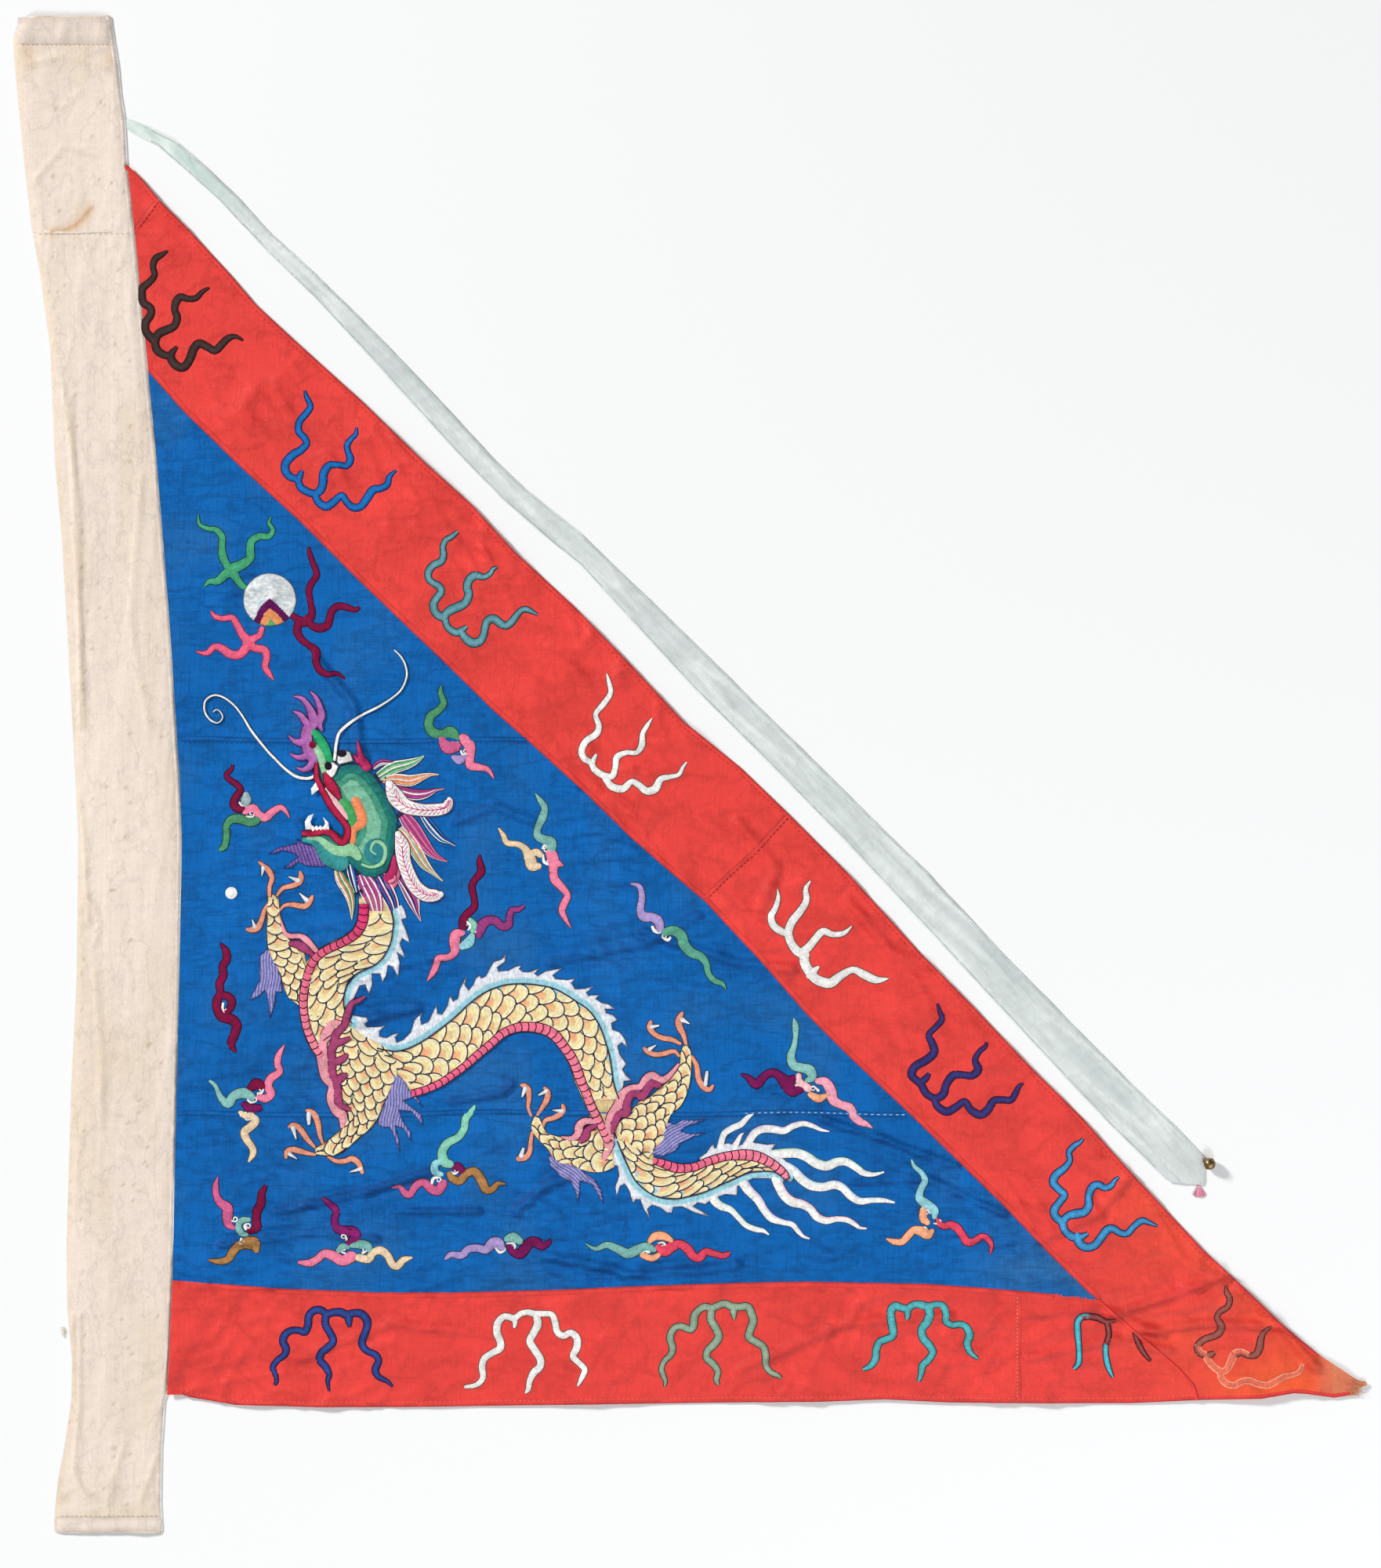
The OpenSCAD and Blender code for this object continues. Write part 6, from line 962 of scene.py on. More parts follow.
def metal(name, colour, dark, rough=0.38):
    m = Nodes(name)
    coord = m.new("ShaderNodeTexCoord")
    grime = m.new("ShaderNodeTexNoise", Scale=260.0, Detail=5.0, Roughness=0.6)
    m.link(coord.outputs["Object"], grime.inputs["Vector"])
    ramp = m.new("ShaderNodeValToRGB")
    ramp.color_ramp.elements[0].position, ramp.color_ramp.elements[1].position = 0.35, 0.62
    ramp.color_ramp.elements[0].color = (*dark, 1)
    ramp.color_ramp.elements[1].color = (*colour, 1)
    m.link(grime.outputs["Fac"], ramp.inputs["Fac"])
    m.link(ramp.outputs["Color"], m.bsdf.inputs["Base Color"])
    m.bsdf.inputs["Metallic"].default_value = 1.0
    m.link(m.math("ADD", m.math("MULTIPLY", grime.outputs["Fac"], 0.4), rough - 0.15),
           m.bsdf.inputs["Roughness"])
    m.bump(grime.outputs["Fac"], 0.3, 0.0002)
    return m.material


SILK = threads("silk", [(2200, 90), (90, 2200)], [(420, 22), (22, 420)], (0.08, 0.11), 0.4, 0.0006, 0.6,
               0.12,
               [((12, 34), 18, 0.2, 1.6), ((34, 14), 26, 0.1, 1.0)])
SILK_RED = threads("red_silk", [(2200, 110), (110, 2200)], [(300, 30), (30, 300)], (0.045, 0.04), 0.4,
                   0.0005, 0.5, 0.2,
                   [((10, 16), 16, 0.13, 2.0), ((26, 20), 26, 0.08, 1.2)])
CALICO = threads("cotton", [(1500, 120), (120, 1500)], [(260, 14), (40, 180)], (0.05, 0.03), 0.36, 0.0006,
                 0.9, 0.05,
                 [((26, 12), 44, 0.1, 0.5), ((44, 52), 44, 0.05, 0.3)])
RIBBON = threads("ribbon_silk", [(2400, 200), (200, 2400)], [(160, 60), (60, 160)], (0.03, 0.03), 0.3,
                 0.0004, 0.7, 0.1,
                 [((9, 40), 18, 0.08, 1.6)])
SATIN = threads("satin_stitch", [(1500, 60), (620, 150)], [(150, 150), (380, 120)], (0.15, 0.13), 0.6,
                0.0007, 0.62, 0.12)
COUCHED = threads("couched_thread", [(900, 300)], [(300, 300)], (0.08, 0.05), 0.4, 0.0004, 0.7, 0.1)
BRASS = metal("tarnished_brass", (0.42, 0.27, 0.11), (0.10, 0.075, 0.05))
IRON = metal("dull_iron", (0.12, 0.11, 0.10), (0.05, 0.03, 0.02), 0.6)


# ---- where each piece goes ------------------------------------------------------------------------
def on_field(obj):
    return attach(obj, "field")


def across_fold(obj):
    """A piece that starts on the sleeve's side of the fold and runs on to the field."""
    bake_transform(obj)
    return obj


# ---- the silk field and its border ----------------------------------------------------------------
BLUE_LOOP = FLY_SEAM + FOOT_SEAM + [p for p in HOIST_SEAM if -646 < p[1] < 516]
FIELD_LOOP = FLY_EDGE + TIP_EDGE + [LAP_EDGE[0]] + FOOT_EDGE + HOIST_SEAM
FOOT_LOOP = LAP_EDGE + FOOT_SEAM + [[-661, -645], [-665, -740], [-668, -791]] + FOOT_EDGE[::-1]


def blue_colour(x, y):
    c = BLUE * (0.93 + 0.14 * noise(x / 60, y / 160 + 3) + 0.08 * (noise(x / 7 + 2, y / 11) - 0.5))[:, None]
    faded = np.clip((x - 330) / 260, 0, 1) * np.clip((-500 - y) / 120, 0, 1)
    c = mix(c, rgb(70, 116, 150), faded * (0.3 + 0.8 * noise(x / 30, y / 30)))
    c = mix(c, rgb(40, 104, 165), 0.5 * np.clip(noise(x / 55 + 11, y / 75 + 1) * 2.4 - 1.3, 0, 1))
    # Painted shade: the blue is darkened where the cloth is steep, along its creases and wrinkles
    dark = np.clip(field_slope(x, y) * 1.6 - 0.25, 0, 1)
    return mix(c, rgb(4, 58, 126), 0.75 * dark)


def red_colour(x, y):
    c = RED * (0.94 + 0.12 * noise(x / 45 + 8, y / 45) + 0.05 * (noise(x / 8, y / 8) - 0.5))[:, None]
    fade = np.clip((x - 500) / 220, 0, 1) * np.clip(noise(x / 70 + 2, y / 60 + 5) * 1.5 - 0.1, 0, 1)
    c = mix(c, rgb(238, 92, 52), fade)
    c = mix(c, rgb(212, 128, 92), np.clip((x - 792) / 30, 0, 1) * (0.55 + 0.5 * noise(x / 6, y / 6)))
    # Painted shade: the red is darkened where the cloth is steep, along its creases and wrinkles
    dark = np.clip(field_slope(x, y) * 1.4 - 0.3, 0, 1)
    return mix(c, rgb(190, 34, 34), 0.6 * dark)


def side_of(x, y, seam):
    (ax, ay), (bx, by) = seam
    return (x - ax) * (by - ay) - (y - ay) * (bx - ax)


def build_field():
    lines = [FLY_SEAM, FOOT_SEAM[::-1], LAP_EDGE, TOP_SEAM, MIDDLE_SEAM,
             [[-720, UPPER_SEAM_Y], [-180, UPPER_SEAM_Y]],
             [[-700, LOWER_SEAM_Y], [290, LOWER_SEAM_Y]], [[FOOT_SEAM_X, -640], [FOOT_SEAM_X, -815]],
             [FOOT_SEAM[-1], [-661, -645]]]
    v, f = triangulate(FIELD_LOOP, lines, SILK_MESH)
    z = field_z(v[:, 0], v[:, 1])
    cx, cy = v[f].mean(1).T
    blue = inside(cx, cy, BLUE_LOOP)
    foot = inside(cx, cy, FOOT_LOOP) & ~blue
    fly = ~blue & ~foot
    top = fly & (side_of(cx, cy, TOP_SEAM) > 0)
    upper = fly & ~top & (side_of(cx, cy, MIDDLE_SEAM) > 0)
    pieces = [
        ("blue_top", blue & (cy > UPPER_SEAM_Y), ["blue_panel_top", "hoist_strip_blue"], (0.45, 0.48)),
        ("blue_middle", blue & (cy <= UPPER_SEAM_Y) & (cy > LOWER_SEAM_Y), ["blue_panel_middle"],
         (0.93, 0.48)),
        ("blue_bottom", blue & (cy <= LOWER_SEAM_Y), ["blue_panel_bottom"], (1.18, 0.24)),
        ("red_top", top, ["border_fly_top"], (0.085, 0.045)),
        ("red_fly_upper", upper, ["border_fly_upper", "hoist_strip_red"], (1.2, 0.17)),
        ("red_fly_lower", fly & ~top & ~upper, ["border_fly_lower"], (1.05, 0.19)),
        ("red_foot_inner", foot & (cx < FOOT_SEAM_X), ["border_foot_inner"], (1.09, 0.165)),
        ("red_foot_outer", foot & (cx >= FOOT_SEAM_X), ["border_foot_outer"], (0.23, 0.145)),
    ]
    for name, chosen, nodes, flat in pieces:
        faces = f[chosen]
        used, back = np.unique(faces, return_inverse=True)
        faces = back.reshape(-1, 3)
        p = v[used]
        colour = blue_colour(p[:, 0], p[:, 1]) if name.startswith("blue") else red_colour(p[:, 0], p[:, 1])
        parts = Parts()
        parts.add(np.c_[p, z[used]], faces, colour, p)
        obj = finish_mesh(name, parts, SILK if name.startswith("blue") else SILK_RED)
        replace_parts(obj, *nodes)
        if name == "red_top":
            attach(obj, "sleeve")
        elif name in ("red_fly_lower", "red_foot_outer"):
            on_field(obj)
        else:
            across_fold(obj)


def offset_line(line, d):
    """A line moved sideways by d, to the left of its direction."""
    p = np.asarray(line, float)
    return (p + left_of(p) * d).tolist()


def banded(line, width):
    return [[q[0], q[1], width] for q in subdivide(line, 6)]


def build_seams():
    """Folded seams and hems, with their rows of stitches. The bands carry painted shadow along their edges.
    """
    rib = dict(across=6, smooth=False, round_ends=False)
    # These two colours paint the shadow along the bands' edges; the red one also colours stitches
    blue_seam_shade, red_shade_and_thread = rgb(8, 62, 130), rgb(176, 36, 36)

    def wavy(y, x0, x1, seed):
        xs = np.arange(x0, x1, 8.0)
        ys = y + 5 * (noise(xs / 130 + seed, xs * 0) - 0.5)
        return np.c_[xs, ys].tolist()
    # Joins in the blue silk
    upper, lower = wavy(UPPER_SEAM_Y, -650, -206, 3), wavy(LOWER_SEAM_Y, -654, 276, 8)
    blue, stitch = Parts(), Parts()
    # Each join's band is painted darker along both edges: painted shadow
    for line in (upper, lower):
        ribbon(blue, banded(line, 6.5), field_z, 0.15, 0.8,
               [blue_seam_shade, BLUE * 0.95, BLUE, BLUE * 0.9, blue_seam_shade], **rib)
    running_stitches(stitch, offset_line(upper, -4.5), field_z, 0.5, rgb(28, 88, 150), gap=6, length=3)
    running_stitches(stitch, offset_line(lower, -4.5), field_z, 0.5, rgb(36, 96, 160), gap=6, length=3)
    running_stitches(stitch, [p for p in lower if p[0] > 60], field_z, 1.0, rgb(190, 200, 214), gap=8,
                     length=3.5, width=0.9)
    across_fold(finish_mesh("blue_seams", blue, SILK))
    across_fold(finish_mesh("blue_seam_stitches", stitch, COUCHED))
    # The border's fold over the blue, its joins and its hems
    red, thin = Parts(), Parts()
    fly_line, foot_line = offset_line(FLY_SEAM, 3.0), offset_line(FOOT_SEAM, 3.0)
    # Each fold is painted darker along one edge: painted shadow
    for line in (fly_line, foot_line):
        ribbon(red, banded(line, 7), field_z, 0.1, 0.9, [red_shade_and_thread, RED * 0.9, RED * 1.04, RED, RED * 0.97],
               **rib)
    # Painted shadow along one edge of each join's band
    for line in (TOP_SEAM, [[124, -52], [82, -98], [46, -130], [19, -157]]):
        ribbon(red, banded(line, 6), field_z, 0.15, 0.8, [red_shade_and_thread * 0.8, RED * 0.94, RED, RED * 0.97],
               **rib)
        running_stitches(thin, offset_line(line, 2.6), field_z, 0.5, red_shade_and_thread * 0.45, gap=6, length=3,
                         width=0.9)
    # The lapped edge is painted darker along one side: painted shadow
    ribbon(red, banded(LAP_EDGE[::-1], 5), field_z, 0.25, 0.9,
           [RED, RED * 1.02, RED * 0.95, red_shade_and_thread * 0.75], **rib)
    ribbon(red, banded([[FOOT_SEAM_X, -662], [FOOT_SEAM_X, -799]], 6), field_z, 0.1, 0.6,
           [RED * 0.9, RED, RED * 0.9], **rib)
    running_stitches(thin, [[FOOT_SEAM_X - 2, -664], [FOOT_SEAM_X - 2, -797]], field_z, 0.7,
                     rgb(240, 140, 120), gap=5, length=2.4, width=0.9)
    fly_hem = [p for p in FLY_EDGE if p[0] < 830]
    foot_hem = [[842, -792]] + TIP_EDGE[4:] + [LAP_EDGE[0]] + FOOT_EDGE
    # Each hem is painted darker along its outer edge: painted shadow
    for line in (offset_line(fly_hem, -2.6), offset_line(foot_hem, -2.6)):
        ribbon(red, banded(line, 5), field_z, 0.0, 0.9,
               [RED * 0.97, RED, RED * 0.98, RED * 0.82, red_shade_and_thread * 0.8], **rib)
    running_stitches(thin, offset_line(fly_hem, -6), field_z, 0.35, red_shade_and_thread, gap=7, length=2.4, width=0.7)
    running_stitches(thin, offset_line(foot_hem, -6), field_z, 0.35, rgb(240, 120, 105), gap=6, length=2.4,
                     width=0.7)
    across_fold(finish_mesh("red_seams_and_hems", red, SILK_RED))
    across_fold(finish_mesh("red_stitches", thin, COUCHED))


def build_tip():
    """Frayed silk at the torn tip."""
    parts = Parts()
    tan = rgb(205, 128, 92)
    for path in ([[846, -773, 6], [855, -776, 4], [860, -775, 3], [863.5, -778, 1]],
                 [[846, -780, 3], [853, -782, 1.2], [857, -781, 0.6]],
                 [[842, -787, 3], [852, -786, 1.4], [858, -787, 0.6]],
                 [[838, -791, 3], [848, -791, 1.2], [854, -790, 0.6]],
                 [[836, -785, 2], [849, -784, 1], [855, -785, 0.6]]):
        ribbon(parts, path, field_z, 0.3, 0.4, [tan * 0.7, tan, tan * 0.9], across=4, round_ends=False)
    for k in range(26):
        x, y = 838 + 14 * RNG.random(), -793 + 20 * RNG.random()
        a = RNG.normal(0, 0.5)
        length = 5 + 7 * RNG.random()
        path = [[x + length * t * math.cos(a),
                 y + length * t * math.sin(a) + RNG.normal(0, 0.4)] for t in (0, 0.4, 0.7, 1)]
        path = [[min(px, 863.5), py] for px, py in path]
        thread(parts, path, 0.5, field_z, 0.3 + 0.5 * RNG.random(), tan * (0.7 + 0.5 * RNG.random()))
    on_field(finish_mesh("frayed_tip", parts, COUCHED))


# ---- the pole sleeve ------------------------------------------------------------------------------
def cotton_colour(x, y):
    c = COTTON * (0.955 + 0.07 * noise(x / 26, y / 260) + 0.03 * noise(x / 9 + 7, y / 40))[:, None]
    # Painted shade: the cotton is darker along the sleeve's creases
    c = mix(c, rgb(205, 186, 160), 0.55 * np.clip(sleeve_crease(x, y) - 0.35, 0, 1))
    left = sleeve_edges(y)[0]
    soil = np.clip((noise(x / 30 + 3, y / 90 + 5) - 0.45) * 1.6, 0, 1)
    c = mix(c, rgb(222, 203, 178), 0.6 * soil)
    c = mix(c, rgb(214, 196, 170), 0.5 * np.exp(-((x - left) / 6) ** 2))
    c = mix(c, rgb(219, 200, 173), 0.7 * np.clip((np.abs(y) - 880) / 80, 0, 1) * noise(x / 14, y / 14))
    # A rust stain left by a fold, beside the cross seam
    d = distance(x, y, [[-815, 692], [-800, 694], [-785, 700], [-775, 710], [-766, 722]])
    c = mix(c, rgb(222, 186, 148), 0.55 * np.exp(-(d / 8) ** 2))
    c = mix(c, rgb(196, 150, 104), 0.7 * np.exp(-(d / 2.2) ** 2))
    c = mix(c, rgb(216, 178, 138), 0.5 * np.exp(-(np.hypot((x + 736) / 0.8, (y - 912) / 0.5) / 16) ** 2))
    c = mix(c, rgb(216, 178, 138), 0.4 * np.exp(-(np.hypot((x + 845) / 0.5, (y - 920) / 0.9) / 18) ** 2))
    specks = (noise(x / 2.2 + 40, y / 2.2) > 0.93) & (noise(x / 30 + 8, y / 60) > 0.5)
    return mix(c, rgb(182, 158, 128), 0.5 * specks)


def build_sleeve():
    s = 0.5 - 0.5 * np.cos(np.linspace(0, math.pi, 40))
    s = 0.5 * s + 0.5 * np.linspace(0, 1, 40)

    def wall(name, y0, y1, top, nodes):
        ys = np.linspace(y0, y1, int((y1 - y0) / 4) + 2)
        left, right = sleeve_edges(ys)
        x = left[:, None] + (right - left)[:, None] * s[None, :]
        y = np.repeat(ys[:, None], len(s), axis=1)
        z = sleeve_z(x, y) if top else BACK_HEIGHT + 0 * x
        xy = np.stack([x, y], axis=2)
        parts = Parts()
        faces = grid_faces(len(ys), len(s))
        parts.add(np.dstack([xy, z]), faces if top else faces[:, ::-1], cotton_colour(x.ravel(), y.ravel()),
                  xy)
        obj = finish_mesh(name, parts, CALICO)
        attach(obj, "sleeve")
        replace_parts(obj, *nodes)
    wall("cotton_front_upper", CROSS_SEAM_Y, SLEEVE_TOP, True, ["sleeve_front_upper", "sleeve_top_hem"])
    wall("cotton_front_lower", SLEEVE_FOOT, CROSS_SEAM_Y, True, ["sleeve_front_lower", "sleeve_fold_edge"])
    wall("cotton_back", SLEEVE_FOOT, SLEEVE_TOP, False, ["sleeve_back"])


def build_sleeve_trim():
    rib = dict(across=6, smooth=False, round_ends=False)
    shade = COTTON * 0.82
    hem = Parts()
    # Mouth hem, turned up on the front
    xs = np.linspace(-809, -676, 24)
    ribbon(hem, [[x, -957 + 1.2 * noise(np.array(x / 30), np.array(2.0)), 19] for x in xs], sleeve_z, 0.35,
           0.9,
           [shade, COTTON * 0.97, COTTON, COTTON * 0.96, shade * 0.9], **rib)
    ribbon(hem, [[x, 949, 34] for x in np.linspace(-858, -738, 24)], sleeve_z, 0.3, 0.7,
           [shade, COTTON * 0.95, COTTON * 0.97, shade], **rib)
    seam = [[-838, 693, 3], [-820, 692, 3], [-790, 691, 3], [-740, 693, 3], [-714, 694, 3]]
    ribbon(hem, seam, sleeve_z, 0.2, 0.8, [shade * 0.9, COTTON, COTTON * 0.97], **rib)
    obj = finish_mesh("cotton_hems", hem, CALICO)
    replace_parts(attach(obj, "sleeve"), "sleeve_bottom_hem")
    # The sewn edge: two turned-in edges with the silk between them
    edge = Parts()
    line = SLEEVE_RIGHT
    ribbon(edge, banded(offset_line(line, 3.0), 6), sleeve_z, 0.0, 1.0,
           [shade, COTTON * 1.02, COTTON, COTTON * 0.9], **rib)
    # This turned-in edge is near white, lighter than the cotton: a painted highlight along the fold
    ribbon(edge, banded(offset_line(line, 0.2), 1.6), sleeve_z, 0.6, 0.7, [rgb(250, 248, 242)], **rib)
    obj = finish_mesh("cotton_seam_edge", edge, CALICO)
    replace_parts(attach(obj, "sleeve"), "sleeve_seam_edge")
    sewing = Parts()
    running_stitches(sewing, [[-806, -946], [-677, -946]], sleeve_z, 0.8, rgb(204, 186, 160), gap=6,
                     length=3, width=0.9)
    running_stitches(sewing, [[-857, 932], [-736, 931]], sleeve_z, 0.8, rgb(202, 182, 156), gap=6, length=3,
                     width=0.9)
    running_stitches(sewing, offset_line(line, 5.0), sleeve_z, 0.35, rgb(222, 206, 184), gap=9, length=3,
                     width=0.8)
    running_stitches(sewing, [[-835, 690], [-714, 690]], sleeve_z, 0.6, rgb(212, 196, 172), gap=7, length=3,
                     width=0.8)
    curl = [[-684, -955], [-680, -960], [-676, -963], [-677, -967.5], [-682, -967.8]]
    thread(sewing, curl, 0.9, lambda x, y: 0 * x + 0.6, 0.4, rgb(225, 214, 194))
    for k in range(7):
        a = RNG.uniform(2.2, 4.4)
        x, y = -797.0, -710 + RNG.normal(0, 1.5)
        thread(sewing, [[x, y], [x + 4 * math.cos(a), y + 4 * math.sin(a)],
                        [x + 7 * math.cos(a + 0.5), y + 7 * math.sin(a + 0.5)]],
               0.6, lambda x, y: 0 * x + 0.7, 0.6 * RNG.random(), rgb(196, 178, 150))
    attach(finish_mesh("cotton_sewing", sewing, COUCHED), "sleeve")


# ---- the streamer, bell and tassel ----------------------------------------------------------------
def streamer_colour(x, y):
    c = GAUZE * (0.94 + 0.1 * noise(x / 26, y / 26))[:, None]
    # Less faded where it was shaded by the sleeve
    c = mix(c, rgb(184, 212, 203), 0.85 * np.clip((-560 - x) / 110, 0, 1))
    c = mix(c, rgb(236, 240, 236), 0.7 * wrinkles(x, y, -44, 160, 13, 3))
    c = mix(c, rgb(178, 194, 190), 0.5 * np.clip(noise((x + y) / 9 + 3, (x - y) / 160) * 2 - 1.1, 0, 1))
    return c


def build_streamer():
    loop = [[-722, 837.5]] + STREAMER_TOP + STREAMER_END + STREAMER_BOTTOM[:-2] + [[-722, 826]]
    fold = [[STREAMER_FOLD[0] - 60, STREAMER_FOLD[1] - 60], [STREAMER_FOLD[0] + 60, STREAMER_FOLD[1] + 60]]
    v, f = triangulate(loop, [fold], STREAMER_MESH)
    far = (v[f].mean(1) - STREAMER_FOLD) @ STREAMER_ALONG > 0
    # Its sewn end lies flat between the sleeve's two edges
    sewn = np.clip((-690 - v[:, 0]) / 22, 0, 1)
    z = streamer_z(v[:, 0], v[:, 1]) * (1 - sewn) + 0.6 * sewn
    for name, chosen, nodes, flat in (("streamer_near_half", ~far, ["streamer_upper"], (0.066, 0.86)),
                                      ("streamer_end_half", far, ["streamer_lower"], (0.056, 1.1))):
        faces = f[chosen]
        used, back = np.unique(faces, return_inverse=True)
        p = v[used]
        parts = Parts()
        along = np.c_[(p[:, 0] - p[:, 1]) * 0.7071, (p[:, 0] + p[:, 1]) * 0.7071]
        parts.add(np.c_[p, z[used]], back.reshape(-1, 3), streamer_colour(p[:, 0], p[:, 1]), along)
        obj = finish_mesh(name, parts, RIBBON)
        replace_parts(obj, *nodes)
        if name == "streamer_near_half":
            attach(obj, "streamer_near")
        else:
            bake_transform(obj)
    # Its selvedges
    edges = {"near": Parts(), "end": Parts()}
    for line in (STREAMER_TOP, STREAMER_BOTTOM):
        p = np.array(subdivide(offset_line(line, -1.2), 5))
        near = (p - STREAMER_FOLD) @ STREAMER_ALONG < -2
        away = (p - STREAMER_FOLD) @ STREAMER_ALONG > 14
        on_top = p[:, 0] > -690
        for key, keep in (("near", near & on_top), ("end", away)):
            q = p[keep]
            if len(q) > 2:
                ribbon(edges[key], [[a[0], a[1], 2.4] for a in q], streamer_z, 0.1, 0.5,
                       [rgb(168, 184, 180), rgb(226, 232, 228)], across=4, smooth=False, round_ends=False)
    for key, body in (("near", "streamer_near"), ("end", "streamer_end")):
        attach(finish_mesh("streamer_edge_" + key, edges[key], RIBBON), body)


def build_tassel():
    floss = Parts()

    def ground(x, y):
        return 0 * x
    head = [[650.5, -520.6, 2.4], [649.8, -522.2, 3.6], [649.3, -524.2, 3.8], [648.9, -526.0, 3.2]]
    ribbon(floss, head, ground, 0.9, 1.9, [rgb(190, 70, 120), rgb(240, 130, 165), rgb(190, 70, 120)], n=5)
    for k in range(60):
        t = k / 59
        end = [641.0 + 17.0 * t + RNG.normal(0, 0.3), -536.5 - 2.2 * math.sin(t * 3.1) + RNG.normal(0, 0.9)]
        mid = [649.0 + (end[0] - 649.0) * 0.55 + RNG.normal(0, 0.3), -531.0 + RNG.normal(0, 0.5)]
        shade = rgb(228, 150, 172) * (0.65 + 0.5 * RNG.random())
        thread(floss, [[648.9 + (t - 0.5) * 2.6, -525.4], mid, end], 0.75, ground, 0.5 + 1.6 * RNG.random(),
               shade)
    ribbon(floss, [[646.8, -526.2, 1.1], [651.0, -526.0, 1.1]], ground, 2.3, 0.6, [rgb(230, 225, 220)], n=3)
    obj = finish_mesh("tassel_floss", floss, COUCHED)
    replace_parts(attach(obj, "tassel"), "tassel_head", "tassel_skirt")


def paint_bell():
    pink = Nodes("pink_thread")
    coord = pink.new("ShaderNodeTexCoord")
    wave = pink.new("ShaderNodeTexWave", Scale=600.0, Distortion=1.0)
    pink.link(coord.outputs["Object"], wave.inputs["Vector"])
    ramp = pink.new("ShaderNodeValToRGB")
    ramp.color_ramp.elements[0].color = (*rgb(150, 40, 85), 1)
    ramp.color_ramp.elements[1].color = (*rgb(235, 120, 155), 1)
    pink.link(wave.outputs["Fac"], ramp.inputs["Fac"])
    pink.link(ramp.outputs["Color"], pink.bsdf.inputs["Base Color"])
    pink.bump(wave.outputs["Fac"], 0.5, 0.0003)
    pink.bsdf.inputs["Roughness"].default_value = 0.7
    for obj in bpy.data.objects:
        if obj.type != "MESH":
            continue
        finish = {"bell_cap": BRASS, "bell_bowl": BRASS, "bell_loop": BRASS, "bell_pellet": IRON,
                  "bell_thread": pink.material, "tassel_thread": pink.material}.get(obj.name)
        if finish:
            obj.data.materials.clear()
            obj.data.materials.append(finish)


# ---- embroidery -----------------------------------------------------------------------------------
OUTLINE = 1.1


def stitched(parts, strokes, colours, dark=None, lift=0.55, dome=0.4, outline=OUTLINE):
    """Satin strokes with a dark couched outline below them."""
    for stroke in strokes:
        if outline:
            edge = dark if dark is not None else np.array(colours[0]) * 0.3
            ribbon(parts, stroke, field_z, lift - 0.4, 0.3, [edge], grow=outline, across=4)
        ribbon(parts, stroke, field_z, lift, dome, colours)


def thinned(stroke, share):
    return [[x, y, wide * share] for x, y, wide in stroke]


def shaded(name):
    c = COLOURS[name]
    return [c * 0.8, c, c * 1.04, c, c * 0.86]


def piece(name, parts, nodes):
    obj = finish_mesh(name, parts, SATIN)
    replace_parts(obj, *nodes)
    on_field(obj)


def build_clouds():
    parts = Parts()
    for stroke, name in zip(CLOUD_LINES, CLOUD_COLOURS):
        c = COLOURS[name]
        stitched(parts, [stroke], shaded(name), dark=c * 0.12)
    piece("cloud_tail_stitching", parts, ["cloud_tails"])
    parts = Parts()
    w = COLOURS["white"]
    for line in CURL_LINES:
        # Each ends in a small spiral
        (ax, ay), (x, y) = line[-2][:2], line[-1][:2]
        heading, curl = math.atan2(y - ay, x - ax), []
        first = math.atan2(line[1][1] - line[0][1], line[1][0] - line[0][0])
        turn = -0.66 if math.sin(heading - first) < 0 else 0.66
        for k in range(8):
            heading += turn
            x, y = x + (1.9 - 0.1 * k) * math.cos(heading), y + (1.9 - 0.1 * k) * math.sin(heading)
            curl.append([x, y, 1.9 - 0.08 * k])
        stitched(parts, [thinned(line, 0.6) + curl], [w * 0.85, w, w * 0.85], dark=rgb(60, 70, 96),
                 outline=0.7)
    piece("cloud_curl_stitching", parts, ["cloud_curls"])


